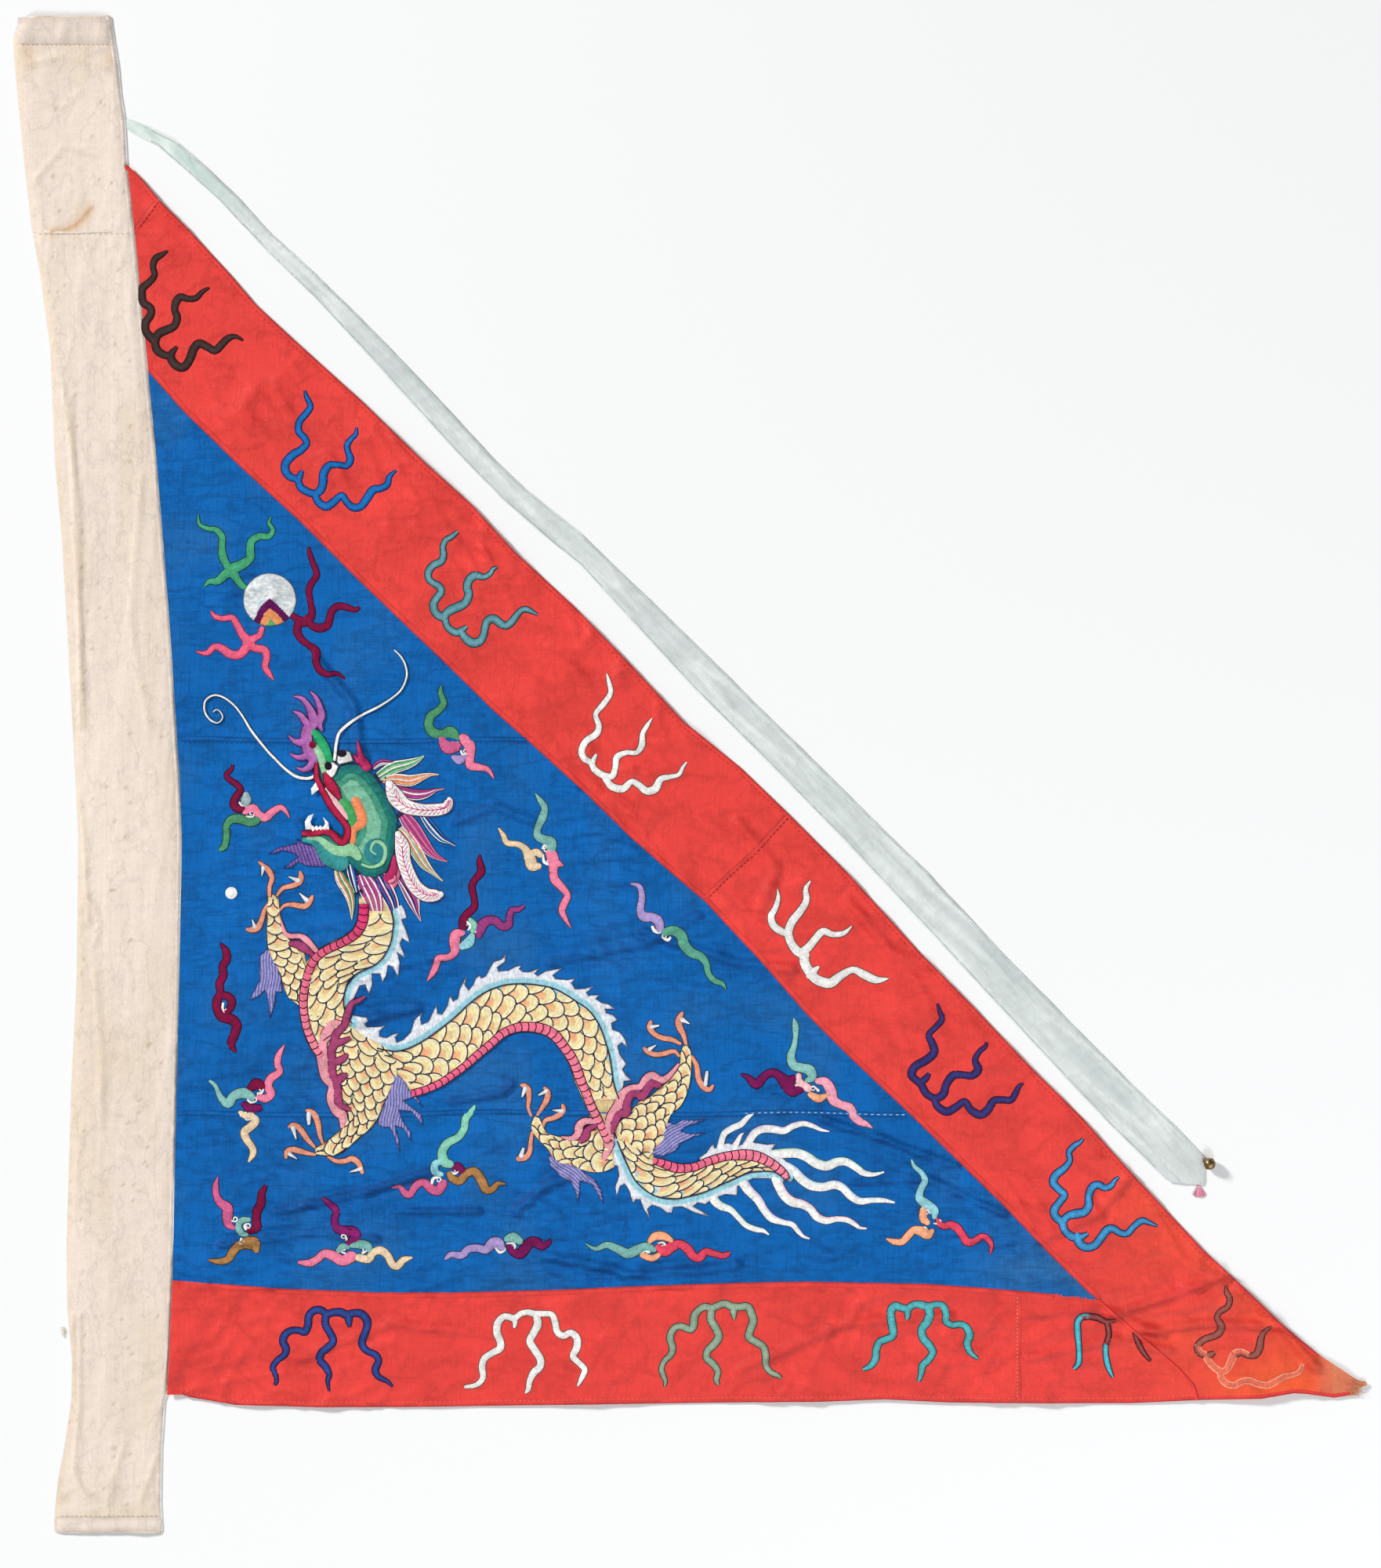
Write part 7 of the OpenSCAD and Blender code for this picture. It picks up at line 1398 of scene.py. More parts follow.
def build_scrolls():
    def scroll(strokes, colours, dark):
        for stroke in strokes:
            ribbon(parts, stroke, field_z, 0.1, 0.3, [dark], grow=1.25, across=4)
        for stroke in strokes:
            ribbon(parts, stroke, field_z, 0.5, 0.5, colours)
    white = COLOURS["white"]
    black = [rgb(46, 34, 34), rgb(70, 54, 52), rgb(46, 34, 34)]
    parts = Parts()
    scroll(BLACK_HOIST, black, rgb(60, 16, 16))
    obj = finish_mesh("hoist_scroll_stitching", parts, SATIN)
    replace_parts(across_fold(obj), "hoist_scroll")
    parts = Parts()
    scroll(BLACK_SCROLL, black, rgb(60, 16, 16))
    scroll(BLUE_SCROLL, [rgb(12, 84, 160), rgb(30, 118, 188), rgb(16, 92, 168)], rgb(24, 30, 90))
    scroll(TEAL_SCROLL, [rgb(58, 122, 132), rgb(112, 164, 172), rgb(66, 130, 140)], rgb(24, 54, 70))
    scroll(WHITE_SCROLL, [white * 0.82, white * 0.97, white * 0.84], rgb(128, 76, 66))
    scroll(BROAD_WHITE_SCROLL, [white * 0.8, white * 0.96, white * 0.82], rgb(128, 76, 66))
    scroll(NAVY_SCROLL, [rgb(40, 38, 96), rgb(58, 56, 120), rgb(40, 38, 96)], rgb(90, 14, 30))
    scroll(SKY_SCROLL, [rgb(38, 116, 172), rgb(72, 156, 206), rgb(38, 116, 172)], rgb(40, 26, 60))
    mauve, flesh = rgb(150, 84, 76), rgb(230, 112, 88)
    trunk, spur, branch = FADED_SCROLL
    scroll([trunk[:13], trunk[18:], spur], [mauve * 0.8, mauve * 1.15, mauve * 0.8], rgb(66, 34, 36))
    scroll([trunk[10:21], branch], [flesh * 0.95, flesh, flesh * 0.95], rgb(244, 172, 140))
    piece("fly_border_stitching", parts, ["fly_border_scrolls"])
    parts = Parts()
    scroll(FOOT_BLUE, [rgb(28, 50, 120), rgb(50, 76, 146), rgb(28, 50, 120)], rgb(60, 16, 40))
    scroll(FOOT_WHITE, [white * 0.82, white * 0.97, white * 0.84], rgb(136, 80, 70))
    scroll(FOOT_GREEN, [rgb(122, 146, 126), rgb(152, 172, 148), rgb(122, 146, 126)], rgb(70, 66, 60))
    scroll(FOOT_TEAL, [rgb(62, 156, 164), rgb(92, 182, 186), rgb(62, 156, 164)], rgb(40, 70, 78))
    cyan = [rgb(40, 150, 172), rgb(92, 196, 206), rgb(40, 150, 172)]
    rust = [rgb(112, 36, 44), rgb(150, 84, 80), rgb(96, 30, 40)]
    left, middle = FOOT_COVERED
    scroll([left[6:], middle[:3]], rust, rgb(58, 18, 30))
    scroll([left[:8], middle[2:]], cyan, rgb(40, 30, 50))
    scroll([[[566, -711, 3], [571, -724, 6], [578, -737, 5], [587, -748, 2]]], rust, rgb(58, 18, 30))
    piece("foot_border_stitching", parts, ["foot_border_scrolls"])


def build_pearl():
    parts = Parts()
    loop = round_outline(-537.0, 223.0, 34.0, 34.0, 40)
    upper = np.array([[-575, 170], [-558, 196], [-548, 215], [-537, 225], [-527, 217], [-512, 201],
                      [-500, 186]], float)
    lower = np.array([[-575, 160], [-550, 191], [-544, 205], [-537, 212], [-528, 206], [-519, 195],
                      [-500, 166]], float)
    core = np.array([[-560, 170], [-541, 191], [-536, 199], [-528, 191], [-512, 172]], float)

    def colour(x, y, d):
        c = mix(COLOURS["white"] * 0.92 * np.ones((len(x), 3)), rgb(168, 190, 204),
                0.8 * noise(x / 5, y / 3))
        c = np.where((y < np.interp(x, upper[:, 0], upper[:, 1]))[:, None], rgb(96, 16, 84), c)
        c = np.where((y < np.interp(x, lower[:, 0], lower[:, 1]))[:, None], rgb(240, 154, 96), c)
        c = np.where((y < np.interp(x, core[:, 0], core[:, 1]))[:, None], rgb(92, 172, 106), c)
        return mix(c, COLOURS["ink"], np.clip(1.4 - d, 0, 1))
    patch(parts, loop, field_z, 0.3, 1.3, colour, step=1.2, turn=math.pi / 2)
    piece("pearl_stitching", parts, ["pearl"])
    parts = Parts()
    stitched(parts, GREEN_FLAME, [rgb(50, 146, 104), rgb(72, 166, 118), rgb(64, 158, 112)],
             dark=rgb(30, 52, 60))
    stitched(parts, PINK_FLAME, [rgb(222, 84, 118), rgb(240, 102, 134), rgb(236, 98, 130)],
             dark=rgb(120, 40, 70))
    stitched(parts, CRIMSON_FLAME, shaded("crimson"), dark=rgb(62, 8, 34))
    piece("pearl_flame_stitching", parts, ["pearl_flames"])
    parts = Parts()
    disc = round_outline(-586, -151, 7.6, 7.6, 24)
    patch(parts, disc, field_z, 0.5, 0.8, COLOURS["white"], step=1.3)
    piece("white_dot_stitching", parts, ["white_star"])


def guide(p):
    return spline([[q[0], q[1], 1] for q in p], 6)[:, :2]


def at_share(line, t):
    arc = arc_of(line)
    a = np.clip(t, 0, 1) * arc[-1]
    return np.stack([np.interp(a, arc, line[:, 0]), np.interp(a, arc, line[:, 1])], axis=-1)


def scales(parts, first, second, pitch, wide):
    """Overlapping rounded scales between two guide lines that run from the head towards the tail."""
    a, b = guide(first), guide(second)
    length = 0.5 * (arc_of(a)[-1] + arc_of(b)[-1])
    rows = max(2, round(length / pitch))
    straw, cream, peach, rim = rgb(237, 220, 164), rgb(242, 231, 200), rgb(243, 158, 116), rgb(50, 50, 66)
    uu, ww = np.meshgrid(np.linspace(-1, 1, 11), np.linspace(0, 1, 10))
    # A scale is straight-sided at its root and half round at its free end
    side = uu * np.sqrt(np.clip(1 - np.clip((ww - 0.42) / 0.58, 0, 1) ** 2, 0, 1))
    turn = np.linspace(0, math.pi, 15)
    rim_side, rim_along = np.cos(turn), 0.42 + 0.58 * np.sin(turn)
    reach = 2.15 / rows
    for row in range(rows - 1, -2, -1):
        t0 = row / rows
        width = float(np.linalg.norm(at_share(a, t0) - at_share(b, t0)))
        count = max(1, round(width / wide))
        shift = 0.5 if row % 2 else 0.0
        for k in range(-1, count + 1):
            middle = (k + 0.5 + shift) / count
            if middle < -0.2 or middle > 1.2:
                continue
            size = 0.94 + 0.12 * RNG.random()
            share = np.clip(middle + side * 0.56 * size / count, 0, 1)
            along = np.clip(t0 + ww * reach * size, 0, 1)
            if (share.max() - share.min()) * count < 0.2 or along.max() - along.min() < 0.3 * reach:
                continue
            p = at_share(a, along) * (1 - share[..., None]) + at_share(b, along) * share[..., None]
            z = field_z(p[..., 0], p[..., 1]) + 0.7 + 0.75 * ww
            heart = np.hypot(uu * 0.62, ww - 0.36)
            tone = mix(straw + 0 * heart[..., None], cream + 0 * heart[..., None], (heart - 0.45) * 4)
            tone = mix(tone, peach + 0 * tone,
                       np.minimum((0.34 - heart) * 7, 1) * (0.3 + 0.65 * RNG.random()))
            parts.add(np.dstack([p, z]), grid_faces(10, 11), tone.reshape(-1, 3),
                      np.stack([ww * 26, uu * wide / 2], -1))
            share = np.clip(middle + rim_side * 0.56 * size / count, 0, 1)
            along = np.clip(t0 + rim_along * reach * size, 0, 1)
            p = at_share(a, along) * (1 - share[..., None]) + at_share(b, along) * share[..., None]
            keep = np.r_[True, np.linalg.norm(np.diff(p, axis=0), axis=1) > 0.05]
            keep &= (share > 0) & (share < 1) & (along > 0) & (along < 0.995)
            if keep.sum() < 3:
                continue
            rise = 0.7 + 0.75 * rim_along[keep]
            q = p[keep]

            def local(x, y, q=q, rise=rise):
                return field_z(x, y) + rise[np.argmin(np.hypot(x[..., None] - q[:, 0],
                                                               y[..., None] - q[:, 1]), -1)]
            ribbon(parts, [[*e, 1.45] for e in q], local, 0.12, 0.25, [rim], across=3, n=1, smooth=False,
                   round_ends=False)


# The stretches of the body, from the head towards the tail: DORSAL has the outer edge of each, INNER the
# inner edge, and LEGS has the two edges of each leg
DORSAL = [
    [[-382, -174], [-379, -187], [-380, -201], [-383, -216], [-390, -230], [-400, -241], [-413, -248],
     [-424, -253], [-433, -260], [-439, -270], [-442, -283], [-442, -296], [-437, -310], [-432, -317]],
    [[-400, -349], [-379, -353], [-365, -351], [-350, -345], [-332, -334], [-317, -323],
     [-301, -310], [-285, -295], [-270, -283], [-254, -274], [-234, -268], [-210, -267], [-192, -269],
     [-174, -273], [-157, -282],
     [-145, -290], [-134, -297], [-123, -309], [-114, -325], [-108, -343], [-103, -361], [-100, -381],
     [-97, -398], [-91, -414]],
    [[-97, -456], [-89, -479], [-80, -499], [-71, -517], [-59, -529], [-46, -537], [-31, -541], [-16, -541],
     [-1, -538], [14, -534],
     [29, -528], [44, -521], [59, -514], [74, -508], [89, -506], [101, -506], [110, -508], [119, -513],
     [125, -516]],
]
INNER = [
    [[-411, -174], [-412, -185], [-418, -196], [-427, -206], [-440, -215], [-456, -223], [-468, -231],
     [-477, -241], [-483, -254],
     [-488, -270], [-489, -287], [-489, -303], [-487, -318], [-481, -335], [-473, -348]],
    [[-355, -403], [-339, -398], [-321, -391], [-305, -380], [-290, -368], [-274, -355], [-257, -340],
     [-241, -326], [-223, -318],
     [-205, -316], [-188, -318], [-172, -327], [-157, -345], [-145, -361], [-138, -378], [-130, -398],
     [-123, -416]],
    [[-60, -480], [-45, -496], [-34, -501], [-19, -507], [-4, -507], [11, -503], [26, -497], [41, -493],
     [59, -491], [74, -491],
     [89, -494], [101, -499], [111, -508], [120, -516]],
]
LEGS = [
    ([[-539, -156], [-540, -176], [-540, -201], [-539, -218], [-535, -232], [-528, -245], [-522, -256],
      [-519, -270], [-512, -285],
      [-498, -295]],
     [[-526, -158], [-525, -165], [-523, -183], [-518, -198], [-513, -210], [-503, -220], [-495, -235],
      [-491, -250], [-490, -270],
      [-492, -290]]),
    ([[-479, -477], [-461, -466], [-448, -455], [-440, -442], [-437, -426], [-446, -413], [-452, -395],
      [-455, -370], [-452, -340],
      [-442, -317]],
     [[-478, -484], [-461, -487], [-445, -482], [-432, -471], [-419, -460], [-407, -449], [-399, -437],
      [-388, -411], [-378, -395],
      [-374, -380], [-375, -365], [-385, -350]]),
    ([[-199, -436], [-203, -447], [-201, -456], [-194, -465], [-183, -476], [-172, -492], [-157, -498],
      [-141, -503], [-125, -507],
      [-110, -506], [-97, -500]],
     [[-193, -438], [-188, -450], [-183, -458], [-168, -462], [-145, -467], [-132, -458], [-119, -454],
      [-100, -462]]),
    ([[-7, -343], [-12, -354], [-13, -367], [-16, -377], [-24, -387], [-31, -397], [-51, -412], [-66, -418],
      [-74, -432], [-91, -444],
      [-96, -454]],
     [[-3, -345], [0, -354], [1, -369], [0, -382], [-2, -397], [-7, -412], [-14, -424], [-24, -432],
      [-29, -442], [-31, -454],
      [-36, -467], [-49, -482], [-60, -495]]),
]


# How far apart the rows of scales are, and how wide a scale is
BODY_SCALE = (16, 26)
LEG_SCALE = (13, 20)
SMALL_SCALE = (11.5, 17)


def build_body():
    parts = Parts()
    ground = rgb(214, 190, 140)
    legs = [FRONT_LEG_LEFT, FRONT_LEG_RIGHT, REAR_LEG_LEFT, REAR_LEG_RIGHT]
    for outline in [TAIL_OUTLINE, ARCH_OUTLINE, NECK_OUTLINE] + legs:
        patch(parts, outline, field_z, 0.05, 0.2, rgb(60, 56, 56), step=3.0, grow=1.2)
        patch(parts, outline, field_z, 0.3, 0.4, ground, step=3.0)
    for a, b in zip(DORSAL, INNER):
        scales(parts, a, b, *BODY_SCALE)
    for number, (a, b) in enumerate(LEGS):
        if number:
            scales(parts, a[::-1], b[::-1], *LEG_SCALE)
        else:
            scales(parts, a, b, *SMALL_SCALE)
    piece("dragon_scale_stitching", parts, ["dragon_body"])


def build_belly():
    parts = Parts()
    for number, stroke in enumerate(BELLY_LINES):
        s = spline(stroke, 4)
        deep = rgb(212, 44, 104) if number == 0 else rgb(236, 96, 134)
        ribbon(parts, stroke, field_z, 1.5, 0.2, [rgb(52, 30, 44)], grow=1.2, across=4, round_ends=False)
        ribbon(parts, stroke, field_z, 1.9, 0.5, [deep * 0.9, deep, deep * 1.04, deep * 0.95],
               round_ends=False,
               fade=rgb(244, 138, 158))
        arc = arc_of(s)
        for a in np.arange(4, arc[-1], 9.0):
            x, y, w = (np.interp(a, arc, s[:, k]) for k in range(3))
            x2, y2 = (np.interp(a + 1, arc, s[:, k]) for k in range(2))
            nx, ny = -(y2 - y), x2 - x
            size = math.hypot(nx, ny) + 1e-9
            nx, ny = nx / size * w * 0.5, ny / size * w * 0.5
            ribbon(parts, [[x - nx, y - ny, 1.2], [x + (x2 - x) * 1.5, y + (y2 - y) * 1.5, 1.3],
                           [x + nx, y + ny, 1.2]], field_z,
                   2.55, 0.35, [rgb(84, 10, 50)], across=4, round_ends=False)
    piece("dragon_belly_stitching", parts, ["dragon_belly"])


def build_crest():
    parts = Parts()
    pale, icy = rgb(224, 228, 236), rgb(152, 206, 220)
    backs = [np.array(d, float) for d in DORSAL]

    def colour(x, y, d):
        near = np.min([distance(x, y, b) for b in backs], axis=0)
        c = mix(pale * np.ones((len(x), 3)), icy, np.clip((8.5 - near) / 1.5, 0, 1))
        return mix(c, rgb(96, 88, 110), 0.8 * np.clip(1.0 - d, 0, 1))
    for outline in CREST_OUTLINES:
        patch(parts, outline, field_z, 0.3, 0.1, rgb(58, 50, 78), step=2.6, grow=0.8)
        patch(parts, outline, field_z, 0.6, 0.5, colour, step=1.8)
    for line in DORSAL:
        thread(parts, line, 1.7, field_z, 1.9, rgb(40, 38, 66))
    piece("dragon_crest_stitching", parts, ["dragon_crest"])
    parts = Parts()
    w = COLOURS["white"]
    tints = [rgb(150, 190, 220), rgb(224, 170, 190), rgb(170, 160, 215), rgb(150, 205, 190)]
    for k, stroke in enumerate(PLUME_LINES):
        stitched(parts, [stroke], [w * 0.86, w, w, w * 0.97, tints[k % 4]], dark=rgb(66, 60, 84),
                 outline=0.8)
    piece("dragon_plume_stitching", parts, ["dragon_tail_plumes"])


# The two tones of each leg's flame, as lines of [x, y, width]
PALE_FLAMES = [
    [[-523, -185, 2], [-518, -201, 5], [-511, -206, 6], [-498, -206, 6], [-489, -212, 8], [-478, -224, 6]],
    [[-444, -317, 4], [-457, -318, 10], [-464, -331, 14], [-469, -342, 10], [-470, -353, 14],
     [-468, -371, 14], [-465, -386, 12],
     [-457, -397, 10], [-459, -413, 10], [-452, -428, 12], [-444, -435, 12], [-444, -448, 6]],
    [[-122, -443, 6], [-134, -442, 8], [-142, -448, 10], [-143, -458, 10], [-152, -464, 6],
     [-165, -462, 2]],
    [[-110, -489, 6], [-104, -472, 12], [-104, -457, 12], [-101, -437, 12], [-92, -422, 12],
     [-87, -409, 12], [-76, -401, 10],
     [-64, -398, 8], [-57, -389, 10], [-49, -384, 10], [-41, -389, 10], [-34, -389, 8], [-25, -382, 6],
     [-15, -369, 3]],
]
MAUVE_FLAMES = [
    [[-513, -216, 3], [-504, -216, 8], [-493, -221, 10], [-482, -230, 4]],
    [[-415, -283, 2], [-423, -288, 5], [-432, -292, 6], [-437, -304, 8], [-442, -320, 8], [-452, -331, 9],
     [-454, -342, 10],
     [-458, -353, 9], [-457, -366, 9], [-457, -380, 9], [-452, -393, 9], [-450, -406, 9], [-448, -420, 9],
     [-435, -427, 4]],
    [[-452, -343, 8], [-443, -340, 7], [-433, -336, 3]],
    [[-455, -367, 8], [-444, -363, 8], [-437, -356, 2]],
    [[-453, -394, 8], [-445, -386, 9], [-437, -382, 2]],
    [[-119, -447, 4], [-130, -452, 7], [-134, -461, 10], [-140, -467, 6]],
    [[-100, -457, 4], [-96, -442, 9], [-91, -433, 9], [-82, -431, 10], [-81, -419, 9], [-76, -408, 9],
     [-67, -407, 9],
     [-62, -412, 8], [-55, -401, 10], [-49, -394, 10], [-41, -396, 8]],
]


def build_legs():
    parts = Parts()
    for strokes, colour in ((PALE_FLAMES, rgb(232, 156, 168)), (MAUVE_FLAMES, rgb(164, 66, 112))):
        stitched(parts, strokes, [colour * 0.9, colour, colour * 1.03, colour * 0.9], dark=rgb(84, 18, 52),
                 lift=1.5 if strokes is PALE_FLAMES else 2.1)
    piece("dragon_flame_stitching", parts, ["dragon_leg_flames"])
    parts = Parts()
    for outline in HAIR_OUTLINES:
        o = np.array(outline, float)
        ca = o.mean(0)
        u = o - ca
        axis = np.linalg.svd(u)[2][0]

        def colour(x, y, d):
            across = (x - ca[0]) * -axis[1] + (y - ca[1]) * axis[0]
            along = (x - ca[0]) * axis[0] + (y - ca[1]) * axis[1]
            wave = np.sin(across * 1.7 + 1.8 * np.sin(along / 7))
            c = mix(rgb(156, 154, 212) * np.ones((len(x), 3)), rgb(62, 50, 112),
                    0.9 * np.clip(wave * 2.2 - 0.6, 0, 1))
            return mix(c, rgb(50, 44, 90), np.clip(1.5 - d, 0, 1))
        patch(parts, outline, field_z, 0.8, 0.7, colour, step=1.15)
    piece("dragon_hair_stitching", parts, ["dragon_leg_hair"])
    parts = Parts()
    coral = rgb(224, 150, 124)
    stitched(parts, TOE_LINES, [coral * 0.88, coral, coral * 1.05, coral * 0.9], dark=rgb(88, 44, 46),
             lift=0.8)
    piece("dragon_toe_stitching", parts, ["dragon_toes"])
    parts = Parts()
    w = rgb(226, 232, 240)
    stitched(parts, TALON_LINES, [w * 0.72, w, w, w * 0.8], dark=rgb(52, 52, 74), lift=1.1)
    piece("dragon_talon_stitching", parts, ["dragon_talons"])


def strands(parts, stroke, lift, colours, count):
    """A lock drawn as thin strands side by side, that close up towards its point."""
    s = spline(stroke, 4)
    left = left_of(s)
    for k in range(count):
        place = (2 * k + 1) / count - 1
        xy = s[:, :2] + left * (place * s[:, 2] / 2)[:, None]
        wide = s[:, 2] / count * (0.5 if k == 0 else 0.8 + 0.12 * RNG.random())
        colour = COLOURS["white"] if k == 0 else colours[k % len(colours)]
        ribbon(parts, np.c_[xy, wide], field_z, lift, 0.45, [colour * 0.85, colour, colour * 0.9], across=4,
               n=1, smooth=False,
               round_ends=False)


MANE_COLOURS = ["lilac white purple", "white celadon leaf", "white peach orange", "white lilac magenta",
                "navy blue white",
                "magenta lilac pink", "white celadon orange", "magenta lilac white navy", "pink rose pink",
                "leaf white orange",
                "blue navy white", "white magenta lilac", "white navy blue purple"]


def build_head():
    parts = Parts()
    for stroke, names in zip(MANE_LINES, MANE_COLOURS):
        names = names.split()
        colours = [COLOURS[n] for n in names]
        ribbon(parts, stroke, field_z, 0.4, 0.2, [rgb(40, 36, 70)], grow=0.8, across=4)
        broad = max(q[2] for q in stroke)
        strands(parts, stroke, 0.8, colours, max(4, round(broad / 2.2)))
    piece("dragon_mane_stitching", parts, ["dragon_mane"])

    def head_colour(x, y, d):
        c = mix(rgb(30, 110, 112) * np.ones((len(x), 3)), rgb(34, 122, 110), (d - 6) / 2)
        c = mix(c, rgb(70, 152, 126), (d - 12) / 1.5)
        c = mix(c, rgb(122, 186, 156), (d - 20) / 1.5)
        c = mix(c, c * 0.45, 0.7 * np.clip(1 - np.abs(np.minimum(np.abs(d - 12), np.abs(d - 20))) / 0.9, 0,
                                           1))
        return mix(c, rgb(20, 44, 54), np.clip(1.6 - d, 0, 1))
    parts = Parts()
    patch(parts, HEAD_OUTLINE, field_z, 0.7, 1.2, head_colour, step=1.6, turn=0.8)
    top = dict(lift=2.1, dome=0.7, outline=0.7)
    stitched(parts, [[[-480, 54, 8], [-472, 44, 11], [-465, 30, 11], [-461, 17, 10]]], shaded("emerald"),
             **top)
    stitched(parts, [[[-478, 35, 8], [-472, 24, 10], [-468, 10, 10], [-464, -3, 8]]], shaded("celadon"),
             dark=rgb(30, 84, 60), **top)
    stitched(parts, [[[-493, -83, 6], [-478, -87, 10], [-462, -105, 20], [-447, -112, 22]]], shaded("sea"),
             **top)
    stitched(parts, [[[-487, -81, 5], [-473, -83, 8], [-462, -92, 12], [-449, -98, 14], [-433, -96, 16],
                      [-424, -105, 10]]],
             shaded("celadon"), dark=rgb(30, 84, 60), lift=2.4, dome=0.7, outline=0.7)
    stitched(parts, [[[-464, -18, 4], [-455, -34, 9], [-448, -45, 12], [-440, -54, 8]]], shaded("pale"),
             **top)
    stitched(parts, [[[-444, -34, 8], [-435, -45, 13], [-431, -58, 13], [-434, -65, 6]]], shaded("leaf"),
             **top)
    stitched(parts, [[[-427, -34, 12], [-422, -47, 14], [-420, -61, 14], [-430, -70, 10], [-431, -85, 8]]],
             shaded("orange"), **top)
    stitched(parts, [[[-467, 2, 4], [-462, -10, 12], [-454, -21, 12], [-448, -31, 4]]], shaded("ruby"),
             **top)
    stitched(parts, [[[-378, -105, 4], [-380, -123, 10], [-387, -132, 10]]], shaded("ruby"), **top)
    disc = round_outline(-400, -98, 17, 17, 26)
    patch(parts, disc, field_z, 2.0, 0.8, rgb(44, 130, 136), step=2.0)
    spiral = [[-420, -114, 3], [-407, -118, 4], [-393, -112, 5], [-389, -96, 5], [-395, -87, 5],
              [-403, -86, 4], [-408, -96, 3],
              [-401, -102, 2]]
    stitched(parts, [spiral], shaded("celadon"), dark=rgb(20, 80, 80), lift=2.9, dome=0.6, outline=0.6)
    stitched(parts, [[[-389, -130, 4], [-383, -136, 5], [-377, -132, 3], [-380, -127, 2]]], shaded("pink"),
             **top)
    for brow in ([[-425, 44, 1], [-422, 30, 5], [-419, 17, 10], [-413, 8, 8]],
                 [[-430, 26, 1], [-424, 17, 6]],
                 [[-415, 20, 3], [-410, 10, 6]]):
        stitched(parts, [brow], shaded("ruby"), **top)
    piece("dragon_head_stitching", parts, ["dragon_head"])
    parts = Parts()
    for stroke in MOUTH_LINES:
        stitched(parts, [stroke], [rgb(150, 14, 54), rgb(188, 36, 74), rgb(172, 30, 70)],
                 dark=rgb(60, 10, 34), lift=3.1)
    piece("dragon_mouth_stitching", parts, ["dragon_mouth"])
    parts = Parts()
    for tooth in TEETH:
        if len(tooth[0]) == 3:
            stitched(parts, [tooth], [rgb(214, 214, 214), COLOURS["white"], rgb(214, 214, 214)],
                     dark=COLOURS["ink"], lift=3.5)
        else:
            patch(parts, tooth, field_z, 3.3, 0.9, COLOURS["white"], step=1.5)
    for k in range(4):
        x = -482 + 5 * k
        stitched(parts, [[[x, -67, 3.6], [x + 0.6, -73, 2.4]]], [COLOURS["white"]], dark=COLOURS["ink"],
                 lift=3.3, outline=0.6)
    piece("dragon_teeth_stitching", parts, ["dragon_teeth"])
    parts = Parts()
    for number, shape in enumerate(EYE_SHAPES):
        def eye(x, y, d):
            return mix(COLOURS["white"] * np.ones((len(x), 3)), COLOURS["ink"], np.clip(2.0 - d, 0, 1))
        patch(parts, [q[:2] for q in shape], field_z, 2.4, 1.1, eye, step=1.1)
        (px, py), (rx, ry) = ((-444.5, 27), (6.2, 4.8)) if number == 0 else ((-462, 11), (4.8, 5.2))
        pupil = round_outline(px, py, rx, ry, 20)
        patch(parts, pupil, field_z, 3.6, 0.5, rgb(24, 20, 34), step=1.0)
    piece("dragon_eye_stitching", parts, ["dragon_eyes"])
    parts = Parts()
    w = COLOURS["white"]
    for stroke in HORN_LINES:
        stitched(parts, [stroke], [w * 0.9, w, w, w * 0.92], dark=rgb(110, 40, 76), lift=1.6, dome=0.8)
        s = spline(stroke, 6)
        for k in range(3, len(s) - 3, 2):
            q, d = s[k], s[k + 1, :2] - s[k, :2]
            d = d / (np.linalg.norm(d) + 1e-9)
            side = np.array([-d[1], d[0]])
            for sign in (-1, 1):
                end = q[:2] + side * sign * q[2] * 0.36 - d * q[2] * 0.45
                ribbon(parts, [[*(q[:2] + side * sign * 0.5), 1.0], [*end, 0.6]], field_z, 2.45, 0.3,
                       [rgb(206, 72, 128)],
                       across=4, n=2, round_ends=False)
        thread(parts, [p[:2] for p in stroke[1:-1]], 1.1, field_z, 2.5, rgb(190, 60, 116))
    piece("dragon_horn_stitching", parts, ["dragon_horns"])
    parts = Parts()
    stitched(parts, [thinned(line, 0.72) for line in WHISKER_LINES], [w * 0.85, w, w * 0.85],
             dark=rgb(60, 60, 90), lift=2.0, dome=0.6, outline=0.7)
    piece("dragon_whisker_stitching", parts, ["dragon_whiskers"])
    parts = Parts()
    for stroke in NOSE_LINES:
        stitched(parts, [stroke], [rgb(150, 78, 150), rgb(178, 106, 176), rgb(186, 116, 180)],
                 dark=rgb(80, 24, 84), lift=2.2)
    nostril = round_outline(-482, 38, 4.6, 4.6, 18)
    patch(parts, nostril, field_z, 3.0, 0.5, rgb(130, 12, 50), step=1.2)
    piece("dragon_nose_stitching", parts, ["dragon_nose_crest"])
    parts = Parts()

    def beard(x, y, d):
        hatch = np.sin((x + 0.35 * y) * 1.35)
        c = mix(rgb(126, 98, 168) * np.ones((len(x), 3)), rgb(64, 48, 116), np.clip(hatch * 2 - 0.6, 0, 1))
        return mix(c, rgb(40, 32, 78), np.clip(1.5 - d, 0, 1))
    patch(parts, [q[:2] for q in BEARD_OUTLINE], field_z, 0.9, 0.9, beard, step=1.3, turn=math.pi / 2)
    piece("dragon_beard_stitching", parts, ["dragon_beard"])


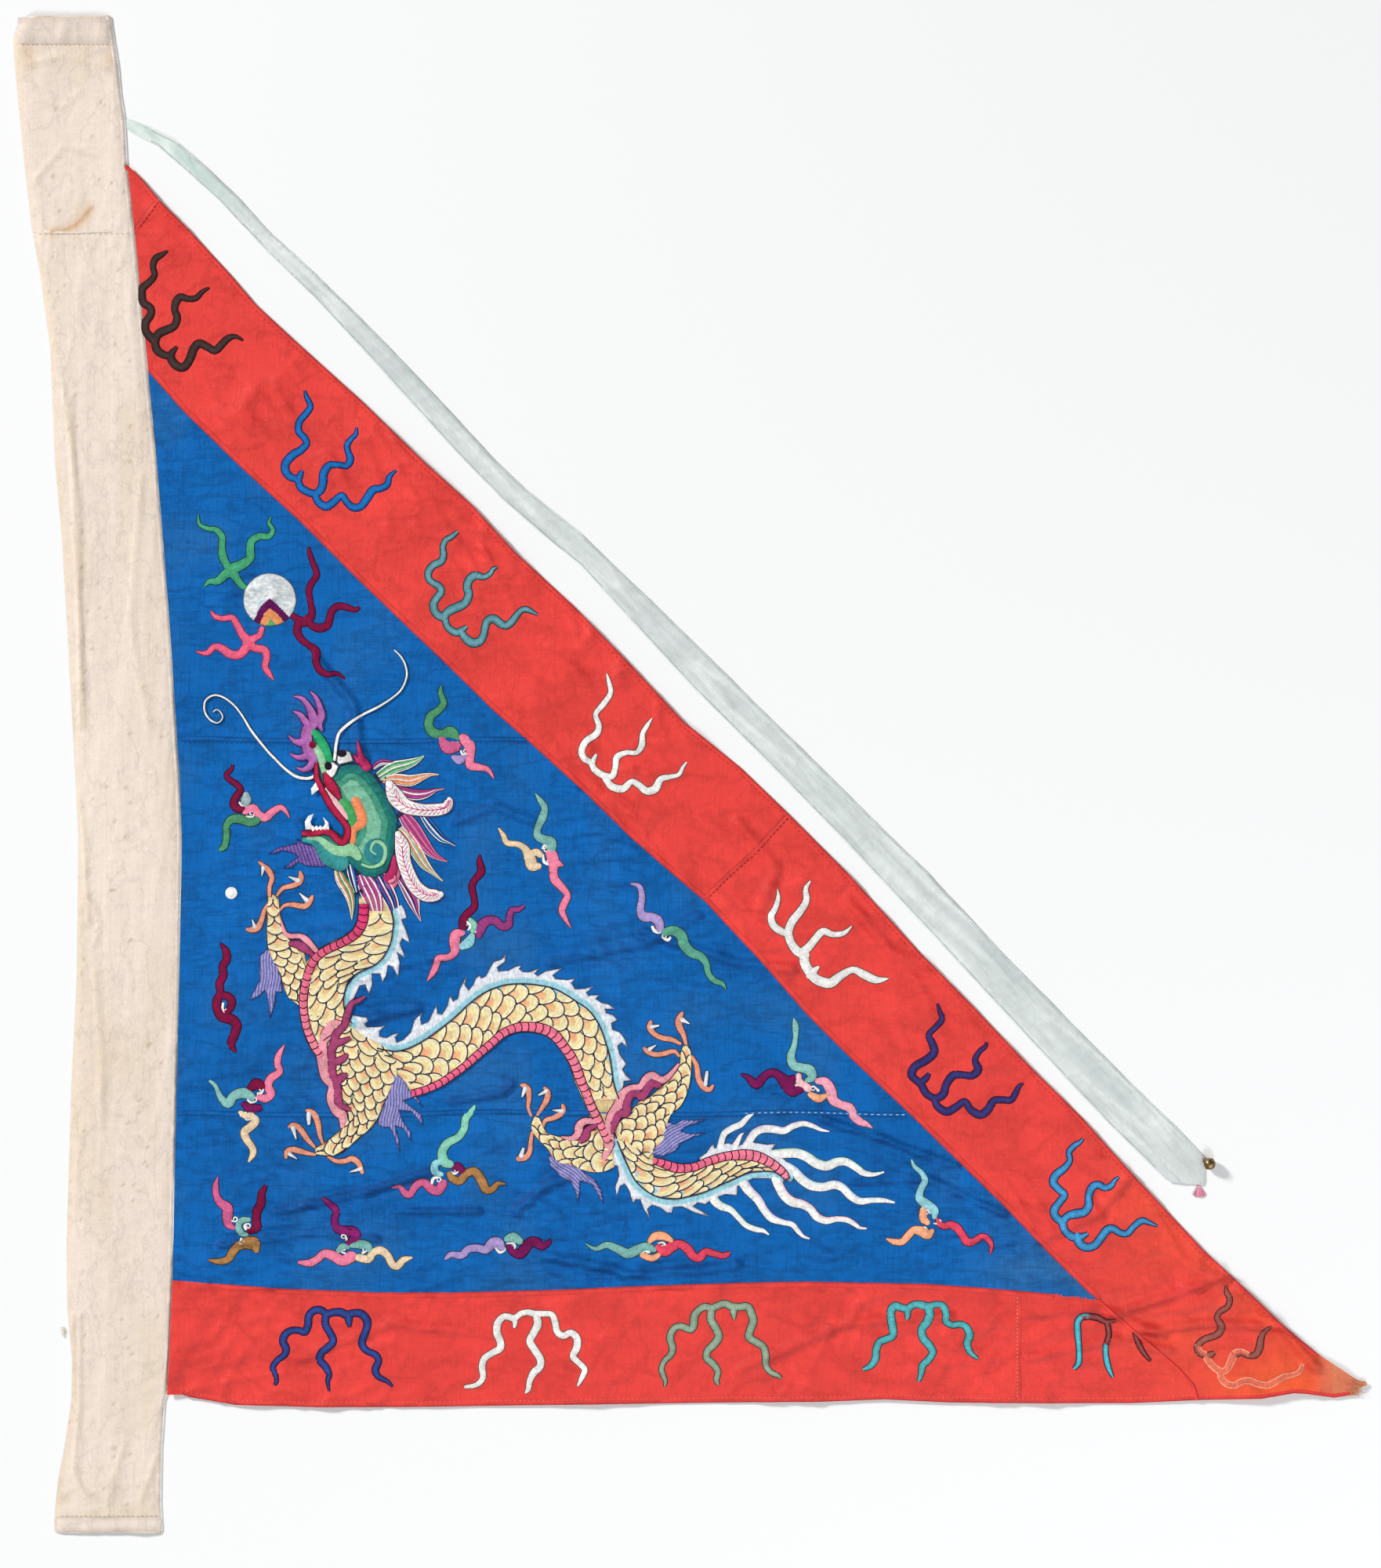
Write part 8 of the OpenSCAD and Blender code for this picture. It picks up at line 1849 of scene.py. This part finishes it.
# ---- the whole banner -----------------------------------------------------------------------------
build_field()
build_seams()
build_tip()
build_sleeve()
build_sleeve_trim()
build_scrolls()
build_clouds()
build_pearl()
build_body()
build_belly()
build_crest()
build_legs()
build_head()
build_streamer()
build_tassel()
paint_bell()

# ---- floor, light and camera ----------------------------------------------------------------------
floor_mesh = bpy.data.meshes.new("floor")
floor_mesh.from_pydata([(-6, -6, 0), (6, -6, 0), (6, 6, 0), (-6, 6, 0)], [], [(0, 1, 2, 3)])
floor = bpy.data.objects.new("floor", floor_mesh)
bpy.context.scene.collection.objects.link(floor)
paper = Nodes("white_paper")
paper.bsdf.inputs["Base Color"].default_value = (0.90, 0.905, 0.91, 1)
paper.bsdf.inputs["Roughness"].default_value = 0.95
paper.bsdf.inputs["Specular IOR Level"].default_value = 0.1
floor_mesh.materials.append(paper.material)


def lamp(name, place, size, watts, colour):
    data = bpy.data.lights.new(name, "AREA")
    data.shape, data.size, data.energy, data.color = "SQUARE", size, watts, colour
    obj = bpy.data.objects.new(name, data)
    obj.location = place
    obj.rotation_euler = (-Vector(place)).to_track_quat("-Z", "Y").to_euler()
    bpy.context.scene.collection.objects.link(obj)


lamp("key_lamp", (-11.0, 7.5, 6.6), 2.2, 2450, (1.0, 0.99, 0.975))
lamp("fill_lamp", (5.2, -2.6, 4.6), 3.0, 150, (0.97, 0.985, 1.0))
lamp("foot_lamp", (1.6, -6.0, 4.6), 2.0, 190, (1.0, 1.0, 1.0))
world = bpy.data.worlds.new("studio")
world.use_nodes = True
world.node_tree.nodes["Background"].inputs["Color"].default_value = (0.97, 0.985, 1.0, 1)
world.node_tree.nodes["Background"].inputs["Strength"].default_value = 0.22
bpy.context.scene.world = world
bpy.context.scene.view_settings.view_transform = "Standard"

camera_data = bpy.data.cameras.new("camera")
camera_data.sensor_fit = "VERTICAL"
camera_data.sensor_height = 36
camera_data.lens = 144
camera = bpy.data.objects.new("camera", camera_data)
camera.location = (0, -0.012, 8.005)
bpy.context.scene.collection.objects.link(camera)
bpy.context.scene.camera = camera
